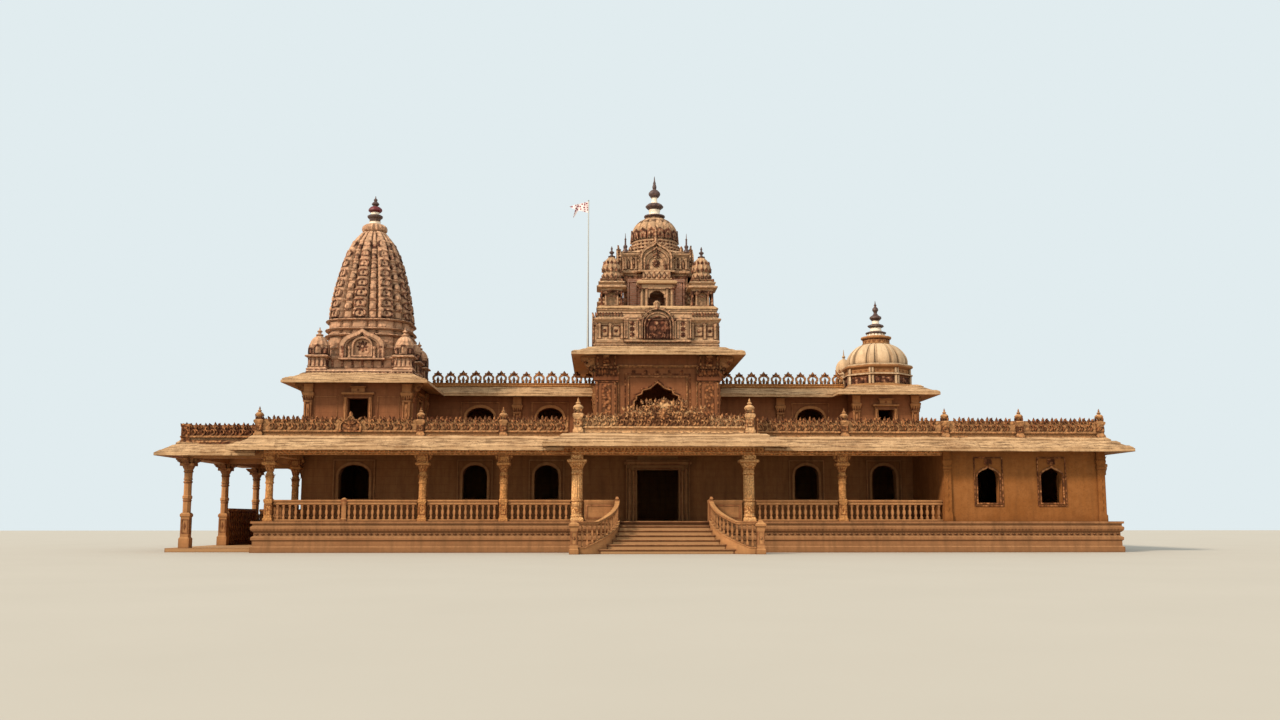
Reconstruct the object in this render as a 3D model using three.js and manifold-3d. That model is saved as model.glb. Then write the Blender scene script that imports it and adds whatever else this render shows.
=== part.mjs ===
// A low, wide sandstone temple: a moulded plinth with a flight of steps, a pillared verandah in front of
// a long hall, an open pavilion at the left end, a closed wing at the right end, and on the terrace an
// upper storey that carries a curved spire, a tiered gate tower and a ribbed dome.
// Millimetres, +X to the right, +Y to the back, +Z up. The origin is at ground level, on the entrance
// axis, below the line of the front columns.
import * as THREE from "three";
import { mergeVertices } from "three/addons/utils/BufferGeometryUtils.js";
import Module from "manifold-3d";

const wasm = await Module();
wasm.setup();

// Driving dimensions
const plinthTop = 1150;
const plinthLeft = -15250;
const plinthRight = 17350;
const plinthFront = -700;
const plinthBack = 13500;

const hallLeft = -14600;
const hallRight = 16900;
const hallFront = 4200;
const hallBack = 13000;
const wingLeft = 10670;
const wallThickness = 400;

const beamBottom = 3640;
const slabBottom = 3950;
const terraceTop = 4300;
const slabLeft = -15350;
const slabRight = 16950;
const slabFront = -300;
const slabBack = 13300;
const eaveReach = 800;

const porchHalf = 3450;
const porchFront = -900;
const porchTop = 4420;
const porchColumnX = 3260;
const verandahColumnXs = [-9070, -6030, 6840];
const cornerColumnX = -14790;

const stepCount = 6;
const stepTread = 320;
const stairTopHalf = 1750;

const upperWall = 350;
const upperWallTop = 6980;
const upperRoofTop = 7220;
const galleryFront = 9400;
const leftBlock = { x0: -14600, x1: -10300, y0: 4200, y1: galleryFront };
const centreBlock = { x0: -2600, x1: 2600, y0: 4200, y1: galleryFront };
const domeBlock = { x0: 9050, x1: 12000, y0: 8100, y1: galleryFront };
const gallery = { x0: -14600, x1: 12000, y0: galleryFront, y1: hallBack };
const centreWallTop = 8120;
const centreRoofTop = 8400;

const spireX = -12450;
const spireY = 6800;
const gateX = 0;
const gateY = 6800;
const domeX = 10525;
const domeY = 9600;

const pavilionLeft = -18450;
const pavilionRight = -15360;
const pavilionFront = 700;
const pavilionBack = 10600;
const pavilionColumnX = -18150;
const pavilionColumnYs = [1000, 5600, 10200];
const platformTop = 150;

// Materials
const stone = (name, colour, roughness = 0.9) => {
  const made = new THREE.MeshStandardMaterial({ color: colour, roughness, metalness: 0 });
  made.name = name;
  return made;
};
const carvedStone = stone("carved_sandstone", 0xb06a44);
const plasterStone = stone("wall_sandstone", 0xb5703f);
const roofStone = stone("eave_sandstone", 0xd8b083);
const domeStone = stone("dome_plaster", 0xc99a6b);
const finialRed = stone("finial_paint", 0x7d2f2c, 0.6);
const poleMetal = new THREE.MeshStandardMaterial({ color: 0xb9b7b0, roughness: 0.4, metalness: 0.8 });
const flagCloth = stone("flag_cloth", 0xd98268, 0.95);

// Solids and their joins
function solidOf(geometry) {
  const plain = geometry.index ? geometry.toNonIndexed() : geometry.clone();
  const bare = new THREE.BufferGeometry().setAttribute("position", plain.getAttribute("position"));
  const merged = mergeVertices(bare, 1e-3);
  const mesh = new wasm.Mesh({
    numProp: 3,
    vertProperties: merged.attributes.position.array,
    triVerts: new Uint32Array(merged.index.array),
  });
  return new wasm.Manifold(mesh);
}

function geometryOf(solid) {
  const mesh = solid.getMesh();
  const geometry = new THREE.BufferGeometry();
  geometry.setAttribute("position", new THREE.BufferAttribute(Float32Array.from(mesh.vertProperties), 3));
  geometry.setIndex(Array.from(mesh.triVerts));
  return geometry;
}

function join(parts) {
  const solids = parts.map(solidOf);
  return geometryOf(solids.reduce((whole, next) => whole.add(next)));
}

function cut(geometry, tools) {
  const solids = tools.map(solidOf);
  return geometryOf(solids.reduce((left, tool) => left.subtract(tool), solidOf(geometry)));
}

// Plain shapes
function block(x0, x1, y0, y1, z0, z1) {
  const made = new THREE.BoxGeometry(x1 - x0, y1 - y0, z1 - z0);
  return made.translate((x0 + x1) / 2, (y0 + y1) / 2, (z0 + z1) / 2);
}

function centredBlock(x, y, half, z0, z1, halfDepth = half) {
  return block(x - half, x + half, y - halfDepth, y + halfDepth, z0, z1);
}

// A turned piece about a vertical axis, from pairs of radius and height, bottom to top.
function turned(x, y, profile, sides = 12, turn = 0) {
  const points = profile.map(([radius, height]) => new THREE.Vector2(radius, height));
  const closed = [new THREE.Vector2(0, profile[0][1]), ...points, new THREE.Vector2(0, profile.at(-1)[1])];
  return new THREE.LatheGeometry(closed, sides, turn).rotateX(Math.PI / 2).scale(1, 1, 1).translate(x, y, 0);
}

// An outline in X and Z, extruded from y0 to y1.
function uprightPlate(outline, y0, y1) {
  const shape = new THREE.Shape(outline.map(([x, z]) => new THREE.Vector2(x, z)));
  const made = new THREE.ExtrudeGeometry(shape, { depth: y1 - y0, bevelEnabled: false });
  return made.rotateX(Math.PI / 2).translate(0, y1, 0);
}

// The same plate, turned to lie in Y and Z and extruded from x0 to x1.
function sidePlate(outline, x0, x1) {
  return uprightPlate(outline, 0, x1 - x0).rotateZ(Math.PI / 2).translate(x1, 0, 0);
}

function faceOut(positions, triangles) {
  let volume = 0;
  const at = (i) => new THREE.Vector3(...positions.slice(i * 3, i * 3 + 3));
  for (let i = 0; i < triangles.length; i += 3) {
    const [a, b, c] = [at(triangles[i]), at(triangles[i + 1]), at(triangles[i + 2])];
    volume += a.dot(b.cross(c));
  }
  if (volume < 0) triangles.reverse();
  const made = new THREE.BufferGeometry();
  made.setAttribute("position", new THREE.Float32BufferAttribute(positions, 3));
  made.setIndex(triangles);
  return made;
}

function mitres(outline, closed = true) {
  const count = outline.length;
  const normal = (i) => {
    const [ax, ay] = outline[(i + count) % count];
    const [bx, by] = outline[(i + 1 + count) % count];
    const length = Math.hypot(bx - ax, by - ay);
    return [(by - ay) / length, (ax - bx) / length];
  };
  return outline.map((_, i) => {
    const before = !closed && i === 0 ? normal(0) : normal(i - 1);
    const after = !closed && i === count - 1 ? normal(count - 2) : normal(i);
    const scale = 1 + before[0] * after[0] + before[1] * after[1];
    return [(before[0] + after[0]) / scale, (before[1] + after[1]) / scale];
  });
}

// A mass with a moulded face: the outline, run anticlockwise, at each pair of reach and height.
function moulded(outline, profile) {
  const out = mitres(outline);
  const count = outline.length;
  const positions = [];
  profile.forEach(([reach, height]) =>
    outline.forEach(([x, y], i) => positions.push(x + reach * out[i][0], y + reach * out[i][1], height)),
  );
  const triangles = [];
  for (let level = 0; level < profile.length - 1; level += 1) {
    for (let i = 0; i < count; i += 1) {
      const a = level * count + i;
      const b = level * count + ((i + 1) % count);
      triangles.push(a, b, b + count, a, b + count, a + count);
    }
  }
  const flat = outline.map(([x, y]) => new THREE.Vector2(x, y));
  const top = (profile.length - 1) * count;
  THREE.ShapeUtils.triangulateShape(flat, []).forEach(([a, b, c]) => {
    triangles.push(c, b, a, top + a, top + b, top + c);
  });
  return faceOut(positions, triangles);
}

// A closed section of reach and height, run along a path with its outside on the right-hand side.
function swept(path, section) {
  const out = mitres(path, false);
  const count = section.length;
  const positions = [];
  path.forEach(([x, y], i) =>
    section.forEach(([reach, height]) => positions.push(x + reach * out[i][0], y + reach * out[i][1], height)),
  );
  const triangles = [];
  for (let step = 0; step < path.length - 1; step += 1) {
    for (let i = 0; i < count; i += 1) {
      const a = step * count + i;
      const b = step * count + ((i + 1) % count);
      triangles.push(a, b, b + count, a, b + count, a + count);
    }
  }
  const flat = section.map(([reach, height]) => new THREE.Vector2(reach, height));
  const last = (path.length - 1) * count;
  THREE.ShapeUtils.triangulateShape(flat, []).forEach(([a, b, c]) => {
    triangles.push(c, b, a, last + a, last + b, last + c);
  });
  return faceOut(positions, triangles);
}

const rectangle = (x0, x1, y0, y1) => [
  [x0, y0],
  [x1, y0],
  [x1, y1],
  [x0, y1],
];

// The outline of an opening with an arched head, from sill to crown.
function archOutline(x, half, sill, spring, crown, steps = 6) {
  const points = [
    [x - half, sill],
    [x + half, sill],
  ];
  for (let i = 0; i <= steps; i += 1) {
    const angle = (Math.PI * i) / steps;
    points.push([x + half * Math.cos(angle), spring + (crown - spring) * Math.sin(angle)]);
  }
  return points;
}

const archThrough = (opening, y0, y1) =>
  uprightPlate(archOutline(opening.x, opening.half, opening.sill, opening.spring, opening.crown), y0 - 50, y1 + 50);

const temple = new THREE.Group();
function add(name, geometry, material) {
  const bare = geometry.index ? geometry : mergeVertices(geometry);
  bare.computeVertexNormals();
  const mesh = new THREE.Mesh(bare, material);
  mesh.name = name;
  temple.add(mesh);
}

// Plinth, platform and steps
const plinthProfile = [
  [0, 0],
  [0, 200],
  [-70, 240],
  [-70, 420],
  [-20, 470],
  [-20, 560],
  [-110, 620],
  [-110, 740],
  [-30, 800],
  [0, 860],
  [0, 940],
  [-60, 980],
  [-60, 1060],
  [0, 1070],
  [0, plinthTop],
];
add("plinth", moulded(rectangle(plinthLeft, plinthRight, plinthFront, plinthBack), plinthProfile), carvedStone);

function pavilionPlatform() {
  const floor = block(-18700, plinthLeft, 400, 10800, 0, platformTop);
  const lowWallTop = 1690;
  const backWall = block(pavilionColumnX + 250, plinthLeft - 150, 10050, 10350, platformTop - 50, lowWallTop);
  const sideWall = block(pavilionColumnX - 120, pavilionColumnX + 120, 5900, 9900, platformTop - 50, lowWallTop);
  return join([floor, backWall, sideWall]);
}
add("pavilion_platform", pavilionPlatform(), carvedStone);

// The flight flares out towards the ground: its edge is a quarter of an ellipse seen from above.
const flare = { x: -3300, y: -750, a: 1550, b: 2150 };
const flarePoint = (angle) => [flare.x + flare.a * Math.cos(angle), flare.y - flare.b * Math.sin(angle)];
const flareX = (y) => flare.x + flare.a * Math.sqrt(Math.max(0, 1 - ((y - flare.y) / flare.b) ** 2));
const balustradeWidth = 160;

const flareSteps = 8;
const flarePlan = Array.from({ length: flareSteps + 1 }, (_, i) => flarePoint(((Math.PI / 2) * i) / flareSteps));

// A plan outline in X and Y, extruded from z0 to z1.
function flatPlate(outline, z0, z1) {
  const shape = new THREE.Shape(outline.map(([x, y]) => new THREE.Vector2(x, y)));
  return new THREE.ExtrudeGeometry(shape, { depth: z1 - z0, bevelEnabled: false }).translate(0, 0, z0);
}

function stairFlight() {
  const rise = plinthTop / (stepCount + 1);
  const steps = [];
  for (let k = 1; k <= stepCount; k += 1) {
    const front = plinthFront - k * stepTread;
    steps.push(block(flare.x, -flare.x, front, plinthFront, 0, plinthTop - k * rise));
  }
  const out = mitres(flarePlan, false);
  const clear = balustradeWidth / 2 + 0.5;
  const inner = flarePlan.map(([x, y], i) => [x - clear * out[i][0], y - clear * out[i][1]]);
  const sides = inner.map(([x, y]) => [-x, y]).reverse();
  const top = [[inner[0][0], 0], ...inner, ...sides, [-inner[0][0], 0]];
  return geometryOf(solidOf(join(steps)).intersect(solidOf(flatPlate(top, 0, plinthTop))));
}
add("stair_flight", stairFlight(), plasterStone);

// A wall that follows points in plan, with heights given along it.
function curvedWall(points, width, bottoms, tops) {
  const out = mitres(points, false);
  const positions = [];
  points.forEach(([x, y], i) => {
    const side = [(out[i][0] * width) / 2, (out[i][1] * width) / 2];
    positions.push(x - side[0], y - side[1], bottoms[i], x + side[0], y + side[1], bottoms[i]);
    positions.push(x + side[0], y + side[1], tops[i], x - side[0], y - side[1], tops[i]);
  });
  const triangles = [0, 1, 2, 0, 2, 3];
  for (let i = 0; i < points.length - 1; i += 1) {
    for (let k = 0; k < 4; k += 1) {
      const a = i * 4 + k;
      const b = i * 4 + ((k + 1) % 4);
      triangles.push(b, a, a + 4, b, a + 4, b + 4);
    }
  }
  const last = (points.length - 1) * 4;
  triangles.push(last + 2, last + 1, last, last + 3, last + 2, last);
  return faceOut(positions, triangles);
}

const railTop = 1950;
function stairBalustrade(side) {
  const steps = 8;
  const angles = Array.from({ length: steps + 1 }, (_, i) => ((Math.PI / 2) * i) / steps);
  const plan = angles.map(flarePoint);
  const along = angles.map((_, i) => i / steps);
  const stringTop = along.map((t) => plinthTop + 90 - (plinthTop - 160) * Math.min(1, 1.15 * t ** 0.9));
  const railLow = along.map((t) => railTop - 90 - 820 * Math.min(1, 1.5 * t) ** 0.8);
  const railHigh = railLow.map((z) => z + 100);
  const parts = [
    curvedWall(plan, balustradeWidth, along.map(() => 0), stringTop),
    curvedWall(plan, balustradeWidth + 20, railLow, railHigh),
  ];
  const balusters = 13;
  for (let i = 0; i < balusters; i += 1) {
    const t = (i + 0.5) / balusters;
    const [x, y] = flarePoint((t * Math.PI) / 2);
    const at = t * steps;
    const low = Math.floor(at);
    const mix = (list) => list[low] + (list[low + 1] - list[low]) * (at - low);
    parts.push(centredBlock(x, y, 38, mix(stringTop) - 30, mix(railLow) + 20));
  }
  const [topX, topY] = flarePoint(0);
  const [footX, footY] = flarePoint(Math.PI / 2);
  parts.push(block(topX - 80, topX + 65, topY - 120, topY + 40, 0, railTop + 110));
  parts.push(moulded(rectangle(footX - 170, footX + 170, footY - 170, footY + 170), newelProfile));
  parts.push(block(topX - 70, topX + 70, topY, -120, plinthTop, railTop));
  parts.push(block(-2980, topX + 70, -150, -20, plinthTop, railTop));
  const whole = join(parts);
  return side < 0 ? whole : geometryOf(solidOf(whole).mirror([1, 0, 0]));
}
const newelProfile = [
  [0, 0],
  [0, 180],
  [-30, 220],
  [-30, 960],
  [20, 1010],
  [20, 1080],
  [-120, 1200],
];
add("stair_balustrade_left", stairBalustrade(-1), carvedStone);
add("stair_balustrade_right", stairBalustrade(1), carvedStone);

// Columns
const square = (x, y, half) => rectangle(x - half, x + half, y - half, y + half);

function verandahColumn(x, y, base = plinthTop) {
  const pedestal = moulded(square(x, y, 150), [
    [30, base],
    [30, base + 90],
    [0, base + 130],
    [0, 1900],
    [15, 1950],
    [-10, 1990],
  ]);
  const shaft = turned(x, y, [
    [150, 1980],
    [140, 2560],
    [165, 2590],
    [150, 2640],
    [155, 2940],
    [125, 2990],
    [180, 3080],
    [170, 3140],
    [250, 3260],
  ], 8, Math.PI / 8);
  const head = join([centredBlock(x, y, 265, 3250, 3350), centredBlock(x, y, 200, 3340, beamBottom)]);
  const arms = uprightPlate([
    [x - 200, 3350],
    [x + 200, 3350],
    [x + 330, beamBottom - 60],
    [x + 330, beamBottom],
    [x - 330, beamBottom],
    [x - 330, beamBottom - 60],
  ], y - 110, y + 110);
  return join([pedestal, shaft, head, arms]);
}

function porchColumn(x) {
  const shaft = turned(x, 0, [
    [215, plinthTop + 150],
    [205, 3000],
    [230, 3050],
    [200, 3100],
    [330, 3380],
  ], 12);
  const foot = moulded(square(x, 0, 250), [
    [0, plinthTop],
    [0, plinthTop + 130],
    [-40, plinthTop + 170],
  ]);
  const head = join([centredBlock(x, 0, 370, 3370, 3480), block(x - 230, x + 230, -480, 200, 3470, beamBottom)]);
  return join([foot, shaft, head]);
}

add("corner_column", verandahColumn(cornerColumnX, 0), carvedStone);
verandahColumnXs.forEach((x, i) => add(`verandah_column_${i + 1}`, verandahColumn(x, 0), carvedStone));
add("rear_column", verandahColumn(cornerColumnX, 3850), carvedStone);
add("porch_column_left", porchColumn(-porchColumnX), carvedStone);
add("porch_column_right", porchColumn(porchColumnX), carvedStone);

// Beams
function frontBeam() {
  const front = -200;
  const back = 200;
  const porchFace = -500;
  const main = block(cornerColumnX - 200, wingLeft, front, back, beamBottom, slabBottom);
  const porch = block(-porchHalf, porchHalf, porchFace, back, beamBottom, slabBottom);
  const side = block(cornerColumnX - 200, cornerColumnX + 200, front, hallFront, beamBottom, slabBottom);
  return join([main, porch, side]);
}
add("front_beam", frontBeam(), plasterStone);

function pavilionFrame() {
  const top = 3850;
  const low = 3540;
  const left = block(pavilionColumnX - 180, pavilionColumnX + 180, 820, 10380, low, top);
  const ends = [cornerColumnX - 200, hallLeft, hallLeft];
  const crossBeams = pavilionColumnYs.map((y, i) => block(pavilionColumnX, ends[i], y - 180, y + 180, low, top));
  const columns = pavilionColumnYs.map((y) =>
    join([
      moulded(square(pavilionColumnX, y, 200), [
        [0, platformTop],
        [0, 500],
        [-40, 560],
        [-40, 1300],
        [-10, 1340],
        [-10, 1420],
        [-60, 1480],
      ]),
      turned(pavilionColumnX, y, [
        [150, 1470],
        [150, 1980],
        [180, 2020],
        [180, 2100],
        [145, 2140],
        [140, 2700],
        [170, 2740],
        [150, 2800],
        [155, 3080],
        [240, 3260],
      ], 8, Math.PI / 8),
      centredBlock(pavilionColumnX, y, 260, 3250, 3350),
      centredBlock(pavilionColumnX, y, 200, 3340, low + 20),
    ]),
  );
  return join([left, ...crossBeams, ...columns]);
}
add("pavilion_frame", pavilionFrame(), carvedStone);

// Balustrades between the columns
function balustrade(x0, x1, posts = []) {
  const y0 = -75;
  const y1 = 75;
  const parts = [
    block(x0, x1, y0, y1, plinthTop, plinthTop + 70),
    block(x0, x1, y0 - 15, y1 + 15, railTop - 190, railTop),
  ];
  const stops = [x0 + 60, ...posts, x1 - 60];
  stops.forEach((x) => parts.push(block(x - 60, x + 60, y0, y1, plinthTop, railTop)));
  for (let bay = 0; bay < stops.length - 1; bay += 1) {
    const from = stops[bay] + 60;
    const clear = stops[bay + 1] - 60 - from;
    const count = Math.round(clear / 250) - 1;
    for (let i = 1; i <= count; i += 1) {
      const x = from + (clear * i) / (count + 1);
      parts.push(centredBlock(x, 0, 52, plinthTop + 60, railTop - 180, 45));
    }
  }
  return join(parts);
}
const columnClear = 185;
const porchClear = 255;
add("balustrade_1", balustrade(cornerColumnX + columnClear, verandahColumnXs[0] - columnClear, [-11980]), carvedStone);
add("balustrade_2", balustrade(verandahColumnXs[0] + columnClear, verandahColumnXs[1] - columnClear), carvedStone);
add("balustrade_3", balustrade(verandahColumnXs[1] + columnClear, -porchColumnX - porchClear), carvedStone);
add("balustrade_4", balustrade(porchColumnX + porchClear, verandahColumnXs[2] - columnClear), carvedStone);
add("balustrade_5", balustrade(verandahColumnXs[2] + columnClear, wingLeft - 10), carvedStone);
const endRail = balustrade(columnClear, 3850 - columnClear).rotateZ(Math.PI / 2).translate(cornerColumnX, 0, 0);
add("balustrade_end", endRail, carvedStone);

// Ground-floor walls
const hallWindows = [
  { x: -12500, half: 620 },
  { x: -7550, half: 500 },
  { x: -4600, half: 500 },
  { x: 6200, half: 500 },
  { x: 9440, half: 500 },
].map((w) => ({ ...w, sill: 2050, spring: 3050, crown: 3450 }));
const door = { half: 860, top: 3250 };

// The front wall stands in two lengths beside the doorway, with a lintel over it.
function hallFrontLength(x0, x1) {
  const wall = block(x0, x1, hallFront, hallFront + wallThickness, plinthTop, slabBottom);
  const windows = hallWindows.filter((w) => w.x > x0 && w.x < x1);
  return cut(wall, windows.map((w) => archThrough(w, hallFront, hallFront + wallThickness)));
}
add("hall_front_wall_left", hallFrontLength(hallLeft, -door.half), plasterStone);
add("hall_front_wall_right", hallFrontLength(door.half, wingLeft + wallThickness), plasterStone);
const lintel = block(-door.half, door.half, hallFront, hallFront + wallThickness, door.top, slabBottom);
add("door_lintel", lintel, plasterStone);

// The stone frame round the doorway, in front of the wall.
function doorFrame() {
  const y0 = hallFront - 140;
  const outer = 1320;
  const posts = [-1, 1].map((s) => {
    const inner = s * door.half;
    return block(Math.min(inner, s * outer), Math.max(inner, s * outer), y0, hallFront, plinthTop, 3480);
  });
  const head = block(-outer, outer, y0, hallFront, door.top, 3480);
  const hood = block(-outer - 80, outer + 80, y0 - 80, hallFront, 3470, 3600);
  return join([...posts, head, hood]);
}
add("door_frame", doorFrame(), carvedStone);

// The back has blind windows, as deep as the hand: no light comes through the front ones from behind.
const backWindows = [-12500, -7550, -2600, 2600, 7550, 12500].map((x) => ({
  x,
  half: 500,
  sill: 2050,
  spring: 3050,
  crown: 3450,
}));
const blindDepth = 120;
const backWall = block(hallLeft, hallRight, hallBack - wallThickness, hallBack, plinthTop, slabBottom);
const backNiches = backWindows.map((w) => archThrough(w, hallBack - blindDepth + 50, hallBack));
add("hall_back_wall", cut(backWall, backNiches), plasterStone);

const sideWallEnd = hallBack - wallThickness;
const leftWall = block(
  hallLeft,
  hallLeft + wallThickness,
  hallFront + wallThickness,
  sideWallEnd,
  plinthTop,
  slabBottom,
);
add("hall_left_wall", leftWall, plasterStone);

const wingWindows = [
  { x: 12410, half: 420 },
  { x: 14850, half: 420 },
].map((w) => ({ ...w, sill: 1840, spring: 2860, crown: 3200 }));
const rightWindowYs = [3200, 8000];

function hallRightWall() {
  const x0 = hallRight - wallThickness;
  const wall = block(x0, hallRight, -200 + wallThickness, sideWallEnd, plinthTop, slabBottom);
  const holes = rightWindowYs.map((y) =>
    sidePlate(archOutline(y, 420, 1840, 2860, 3200), x0 - 50, hallRight + 50),
  );
  return cut(wall, holes);
}
add("hall_right_wall", hallRightWall(), plasterStone);

function wingWalls() {
  const y0 = -200;
  const y1 = y0 + wallThickness;
  const front = block(wingLeft, hallRight, y0, y1, plinthTop, slabBottom);
  const side = block(wingLeft, wingLeft + wallThickness, y0, hallFront, plinthTop, slabBottom);
  const pilasters = [wingLeft + 150, hallRight - 150].map((x) => centredBlock(x, y0, 150, plinthTop, slabBottom, 60));
  return cut(join([front, side, ...pilasters]), wingWindows.map((w) => archThrough(w, y0 - 60, y1)));
}
add("wing_walls", wingWalls(), plasterStone);

// Terrace slab, roofs and eaves
add("terrace_slab", block(slabLeft, slabRight, slabFront, slabBack, slabBottom, terraceTop), plasterStone);

const eaveSection = (inner, reach, edgeLow, edgeHigh, innerLow, innerHigh) => [
  [inner, innerLow],
  [reach, edgeLow],
  [reach, edgeHigh],
  [inner, innerHigh],
];
const mainEave = eaveSection(0.3, eaveReach, 3760, 3880, 4080, terraceTop);
const porchEaveEnd = porchHalf + 1050;
add(
  "eave_front_left",
  swept(
    [
      [slabLeft, 600],
      [slabLeft, slabFront],
      [-porchEaveEnd, slabFront],
    ],
    mainEave,
  ),
  roofStone,
);
add(
  "eave_right_and_back",
  swept(
    [
      [porchEaveEnd, slabFront],
      [slabRight, slabFront],
      [slabRight, slabBack],
      [slabLeft, slabBack],
      [slabLeft, 11500],
    ],
    mainEave,
  ),
  roofStone,
);

function porchRoof() {
  const core = block(-porchHalf, porchHalf, porchFront, slabFront - 0.3, slabBottom, porchTop);
  const skirt = swept(
    [
      [-porchHalf, slabFront - 0.3],
      [-porchHalf, porchFront],
      [porchHalf, porchFront],
      [porchHalf, slabFront - 0.3],
    ],
    eaveSection(-20, 1050, 3870, 4000, 4150, 4400),
  );
  const lip = block(-porchHalf - 120, porchHalf + 120, porchFront - 150, slabFront - 0.3, 4340, porchTop);
  return join([core, skirt, lip]);
}
add("porch_roof", porchRoof(), roofStone);

function pavilionRoof() {
  const slab = block(pavilionLeft, pavilionRight, pavilionFront, pavilionBack, 3850, 4150);
  const section = eaveSection(-20, 700, 3610, 3720, 3930, 4140);
  const skirt = swept(
    [
      [pavilionRight, pavilionBack],
      [pavilionLeft, pavilionBack],
      [pavilionLeft, pavilionFront],
      [-16250, pavilionFront],
    ],
    section,
  );
  const parapetFoot = 4150;
  const parapetHead = 4700;
  const rail = (x0, x1, y0, y1) => block(x0, x1, y0, y1, parapetFoot - 20, parapetHead);
  const walls = [
    rail(pavilionLeft + 60, pavilionRight, pavilionFront + 60, pavilionFront + 210),
    rail(pavilionLeft + 60, pavilionLeft + 210, pavilionFront + 60, pavilionBack - 60),
    rail(pavilionLeft + 60, pavilionRight, pavilionBack - 210, pavilionBack - 60),
  ];
  const pier = rail(pavilionLeft + 30, pavilionLeft + 330, pavilionFront + 30, pavilionFront + 330);
  return join([slab, skirt, ...walls, pier.translate(0, 0, 120)]);
}
add("pavilion_roof", pavilionRoof(), roofStone);

// Parapets with a scalloped crest
function crestOutline(x0, x1, foot, low, high, wave) {
  const count = Math.max(1, Math.round((x1 - x0) / wave));
  const points = [
    [x0, foot],
    [x1, foot],
  ];
  const pitch = (x1 - x0) / count;
  for (let i = 0; i < count; i += 1) {
    const right = x1 - i * pitch;
    points.push([right, low], [right - pitch * 0.3, high], [right - pitch * 0.7, high]);
  }
  points.push([x0, low]);
  return points;
}

const parapetBack = -50;
const parapetFace = -200;
const parapetLow = 4880;
const parapetHigh = 5060;
const parapetFootSection = [
  [-160, terraceTop],
  [40, terraceTop],
  [40, terraceTop + 110],
  [10, terraceTop + 170],
  [-160, terraceTop + 170],
];

function pier(x, y, top = 5260) {
  return moulded(square(x, y, 140), [
    [30, terraceTop],
    [30, terraceTop + 120],
    [0, terraceTop + 160],
    [0, top - 160],
    [35, top - 120],
    [35, top - 60],
    [-60, top],
    [-30, top + 60],
    [-120, top + 200],
  ]);
}

function frontParapet(x0, x1, piers, pediments) {
  const wall = uprightPlate(crestOutline(x0, x1, terraceTop, parapetLow, parapetHigh, 620), parapetFace, parapetBack);
  const gables = pediments.map((x) =>
    uprightPlate(archOutline(x, 620, parapetLow - 200, parapetLow, 5300, 4), parapetFace + 10, parapetBack - 10),
  );
  const foot = swept(
    [
      [x0, parapetFace],
      [x1, parapetFace],
    ],
    parapetFootSection,
  );
  return join([wall, ...gables, foot, ...piers.map((x) => pier(x, -120))]);
}

const parapetLeftX = -15220;
const parapetRightX = 16820;
const sideParapet = (x, y0, y1) => block(x - 75, x + 75, y0, y1, terraceTop, parapetLow);
add(
  "parapet_front_left",
  join([
    frontParapet(parapetLeftX, -porchHalf - 160, [parapetLeftX, -12120, -9170, -6060], [-12700, -7600, -4700]),
    sideParapet(parapetLeftX, -100, hallFront),
  ]),
  carvedStone,
);
add(
  "parapet_front_right",
  join([
    frontParapet(porchHalf + 160, parapetRightX, [6930, 10810, 13690, parapetRightX], [5300, 8870, 12250, 15250]),
    sideParapet(parapetRightX, -100, hallFront),
  ]),
  carvedStone,
);
add(
  "parapet_back",
  join([
    sideParapet(parapetLeftX, hallFront, slabBack - 60),
    sideParapet(parapetRightX, hallFront, slabBack - 60),
    block(parapetLeftX, parapetRightX, slabBack - 210, slabBack - 60, terraceTop, parapetLow),
    ...[parapetLeftX, -8000, -2700, 2700, 8000, parapetRightX].map((x) => pier(x, slabBack - 115)),
  ]),
  carvedStone,
);

function porchParapet() {
  const y0 = porchFront + 20;
  const y1 = y0 + 150;
  const half = 3150;
  const low = 5020;
  const outline = [
    [-half, porchTop],
    [half, porchTop],
    [half, low],
    [1750, low],
    [1500, 5170],
    [1050, 5230],
    [700, 5420],
    [300, 5500],
    [0, 5620],
    [-300, 5500],
    [-700, 5420],
    [-1050, 5230],
    [-1500, 5170],
    [-1750, low],
    [-half, low],
  ];
  const foot = block(-half, half, y0 - 40, y1, porchTop, porchTop + 130);
  const posts = [-1, 1].map((s) =>
    moulded(square(s * 3220, y0 + 75, 170), [
      [20, porchTop],
      [20, porchTop + 140],
      [-10, porchTop + 180],
      [-10, 5300],
      [40, 5340],
      [40, 5410],
      [-70, 5480],
      [-30, 5560],
      [-140, 5760],
    ]),
  );
  return join([uprightPlate(outline, y0, y1), foot, ...posts]);
}
add("porch_parapet", porchParapet(), carvedStone);

// Upper storey walls
function wallRing(b, top, thickness = upperWall) {
  const outer = block(b.x0, b.x1, b.y0, b.y1, terraceTop, top);
  const inner = block(
    b.x0 + thickness,
    b.x1 - thickness,
    b.y0 + thickness,
    b.y1 - thickness,
    terraceTop - 50,
    top + 50,
  );
  return cut(outer, [inner]);
}

const leftWindow = { x0: -12850, x1: -12000, z0: 5200, z1: 6200 };
const domeWindow = { x0: 10180, x1: 10880, z0: 5350, z1: 6150 };
const blockDoorway = { half: 500, top: 6300 };
function throughY(x0, x1, y, z0, z1) {
  return block(x0, x1, y - 50, y + upperWall + 50, z0, z1);
}
const blockDoor = (x, y) => throughY(x - blockDoorway.half, x + blockDoorway.half, y, terraceTop - 60, blockDoorway.top);

// A raised frame round a square-headed window.
function windowFrame(w, y, border = 170) {
  const outer = block(w.x0 - border, w.x1 + border, y - 70, y, w.z0 - border, w.z1 + border);
  return cut(outer, [block(w.x0, w.x1, y - 120, y + 50, w.z0, w.z1)]);
}

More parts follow.
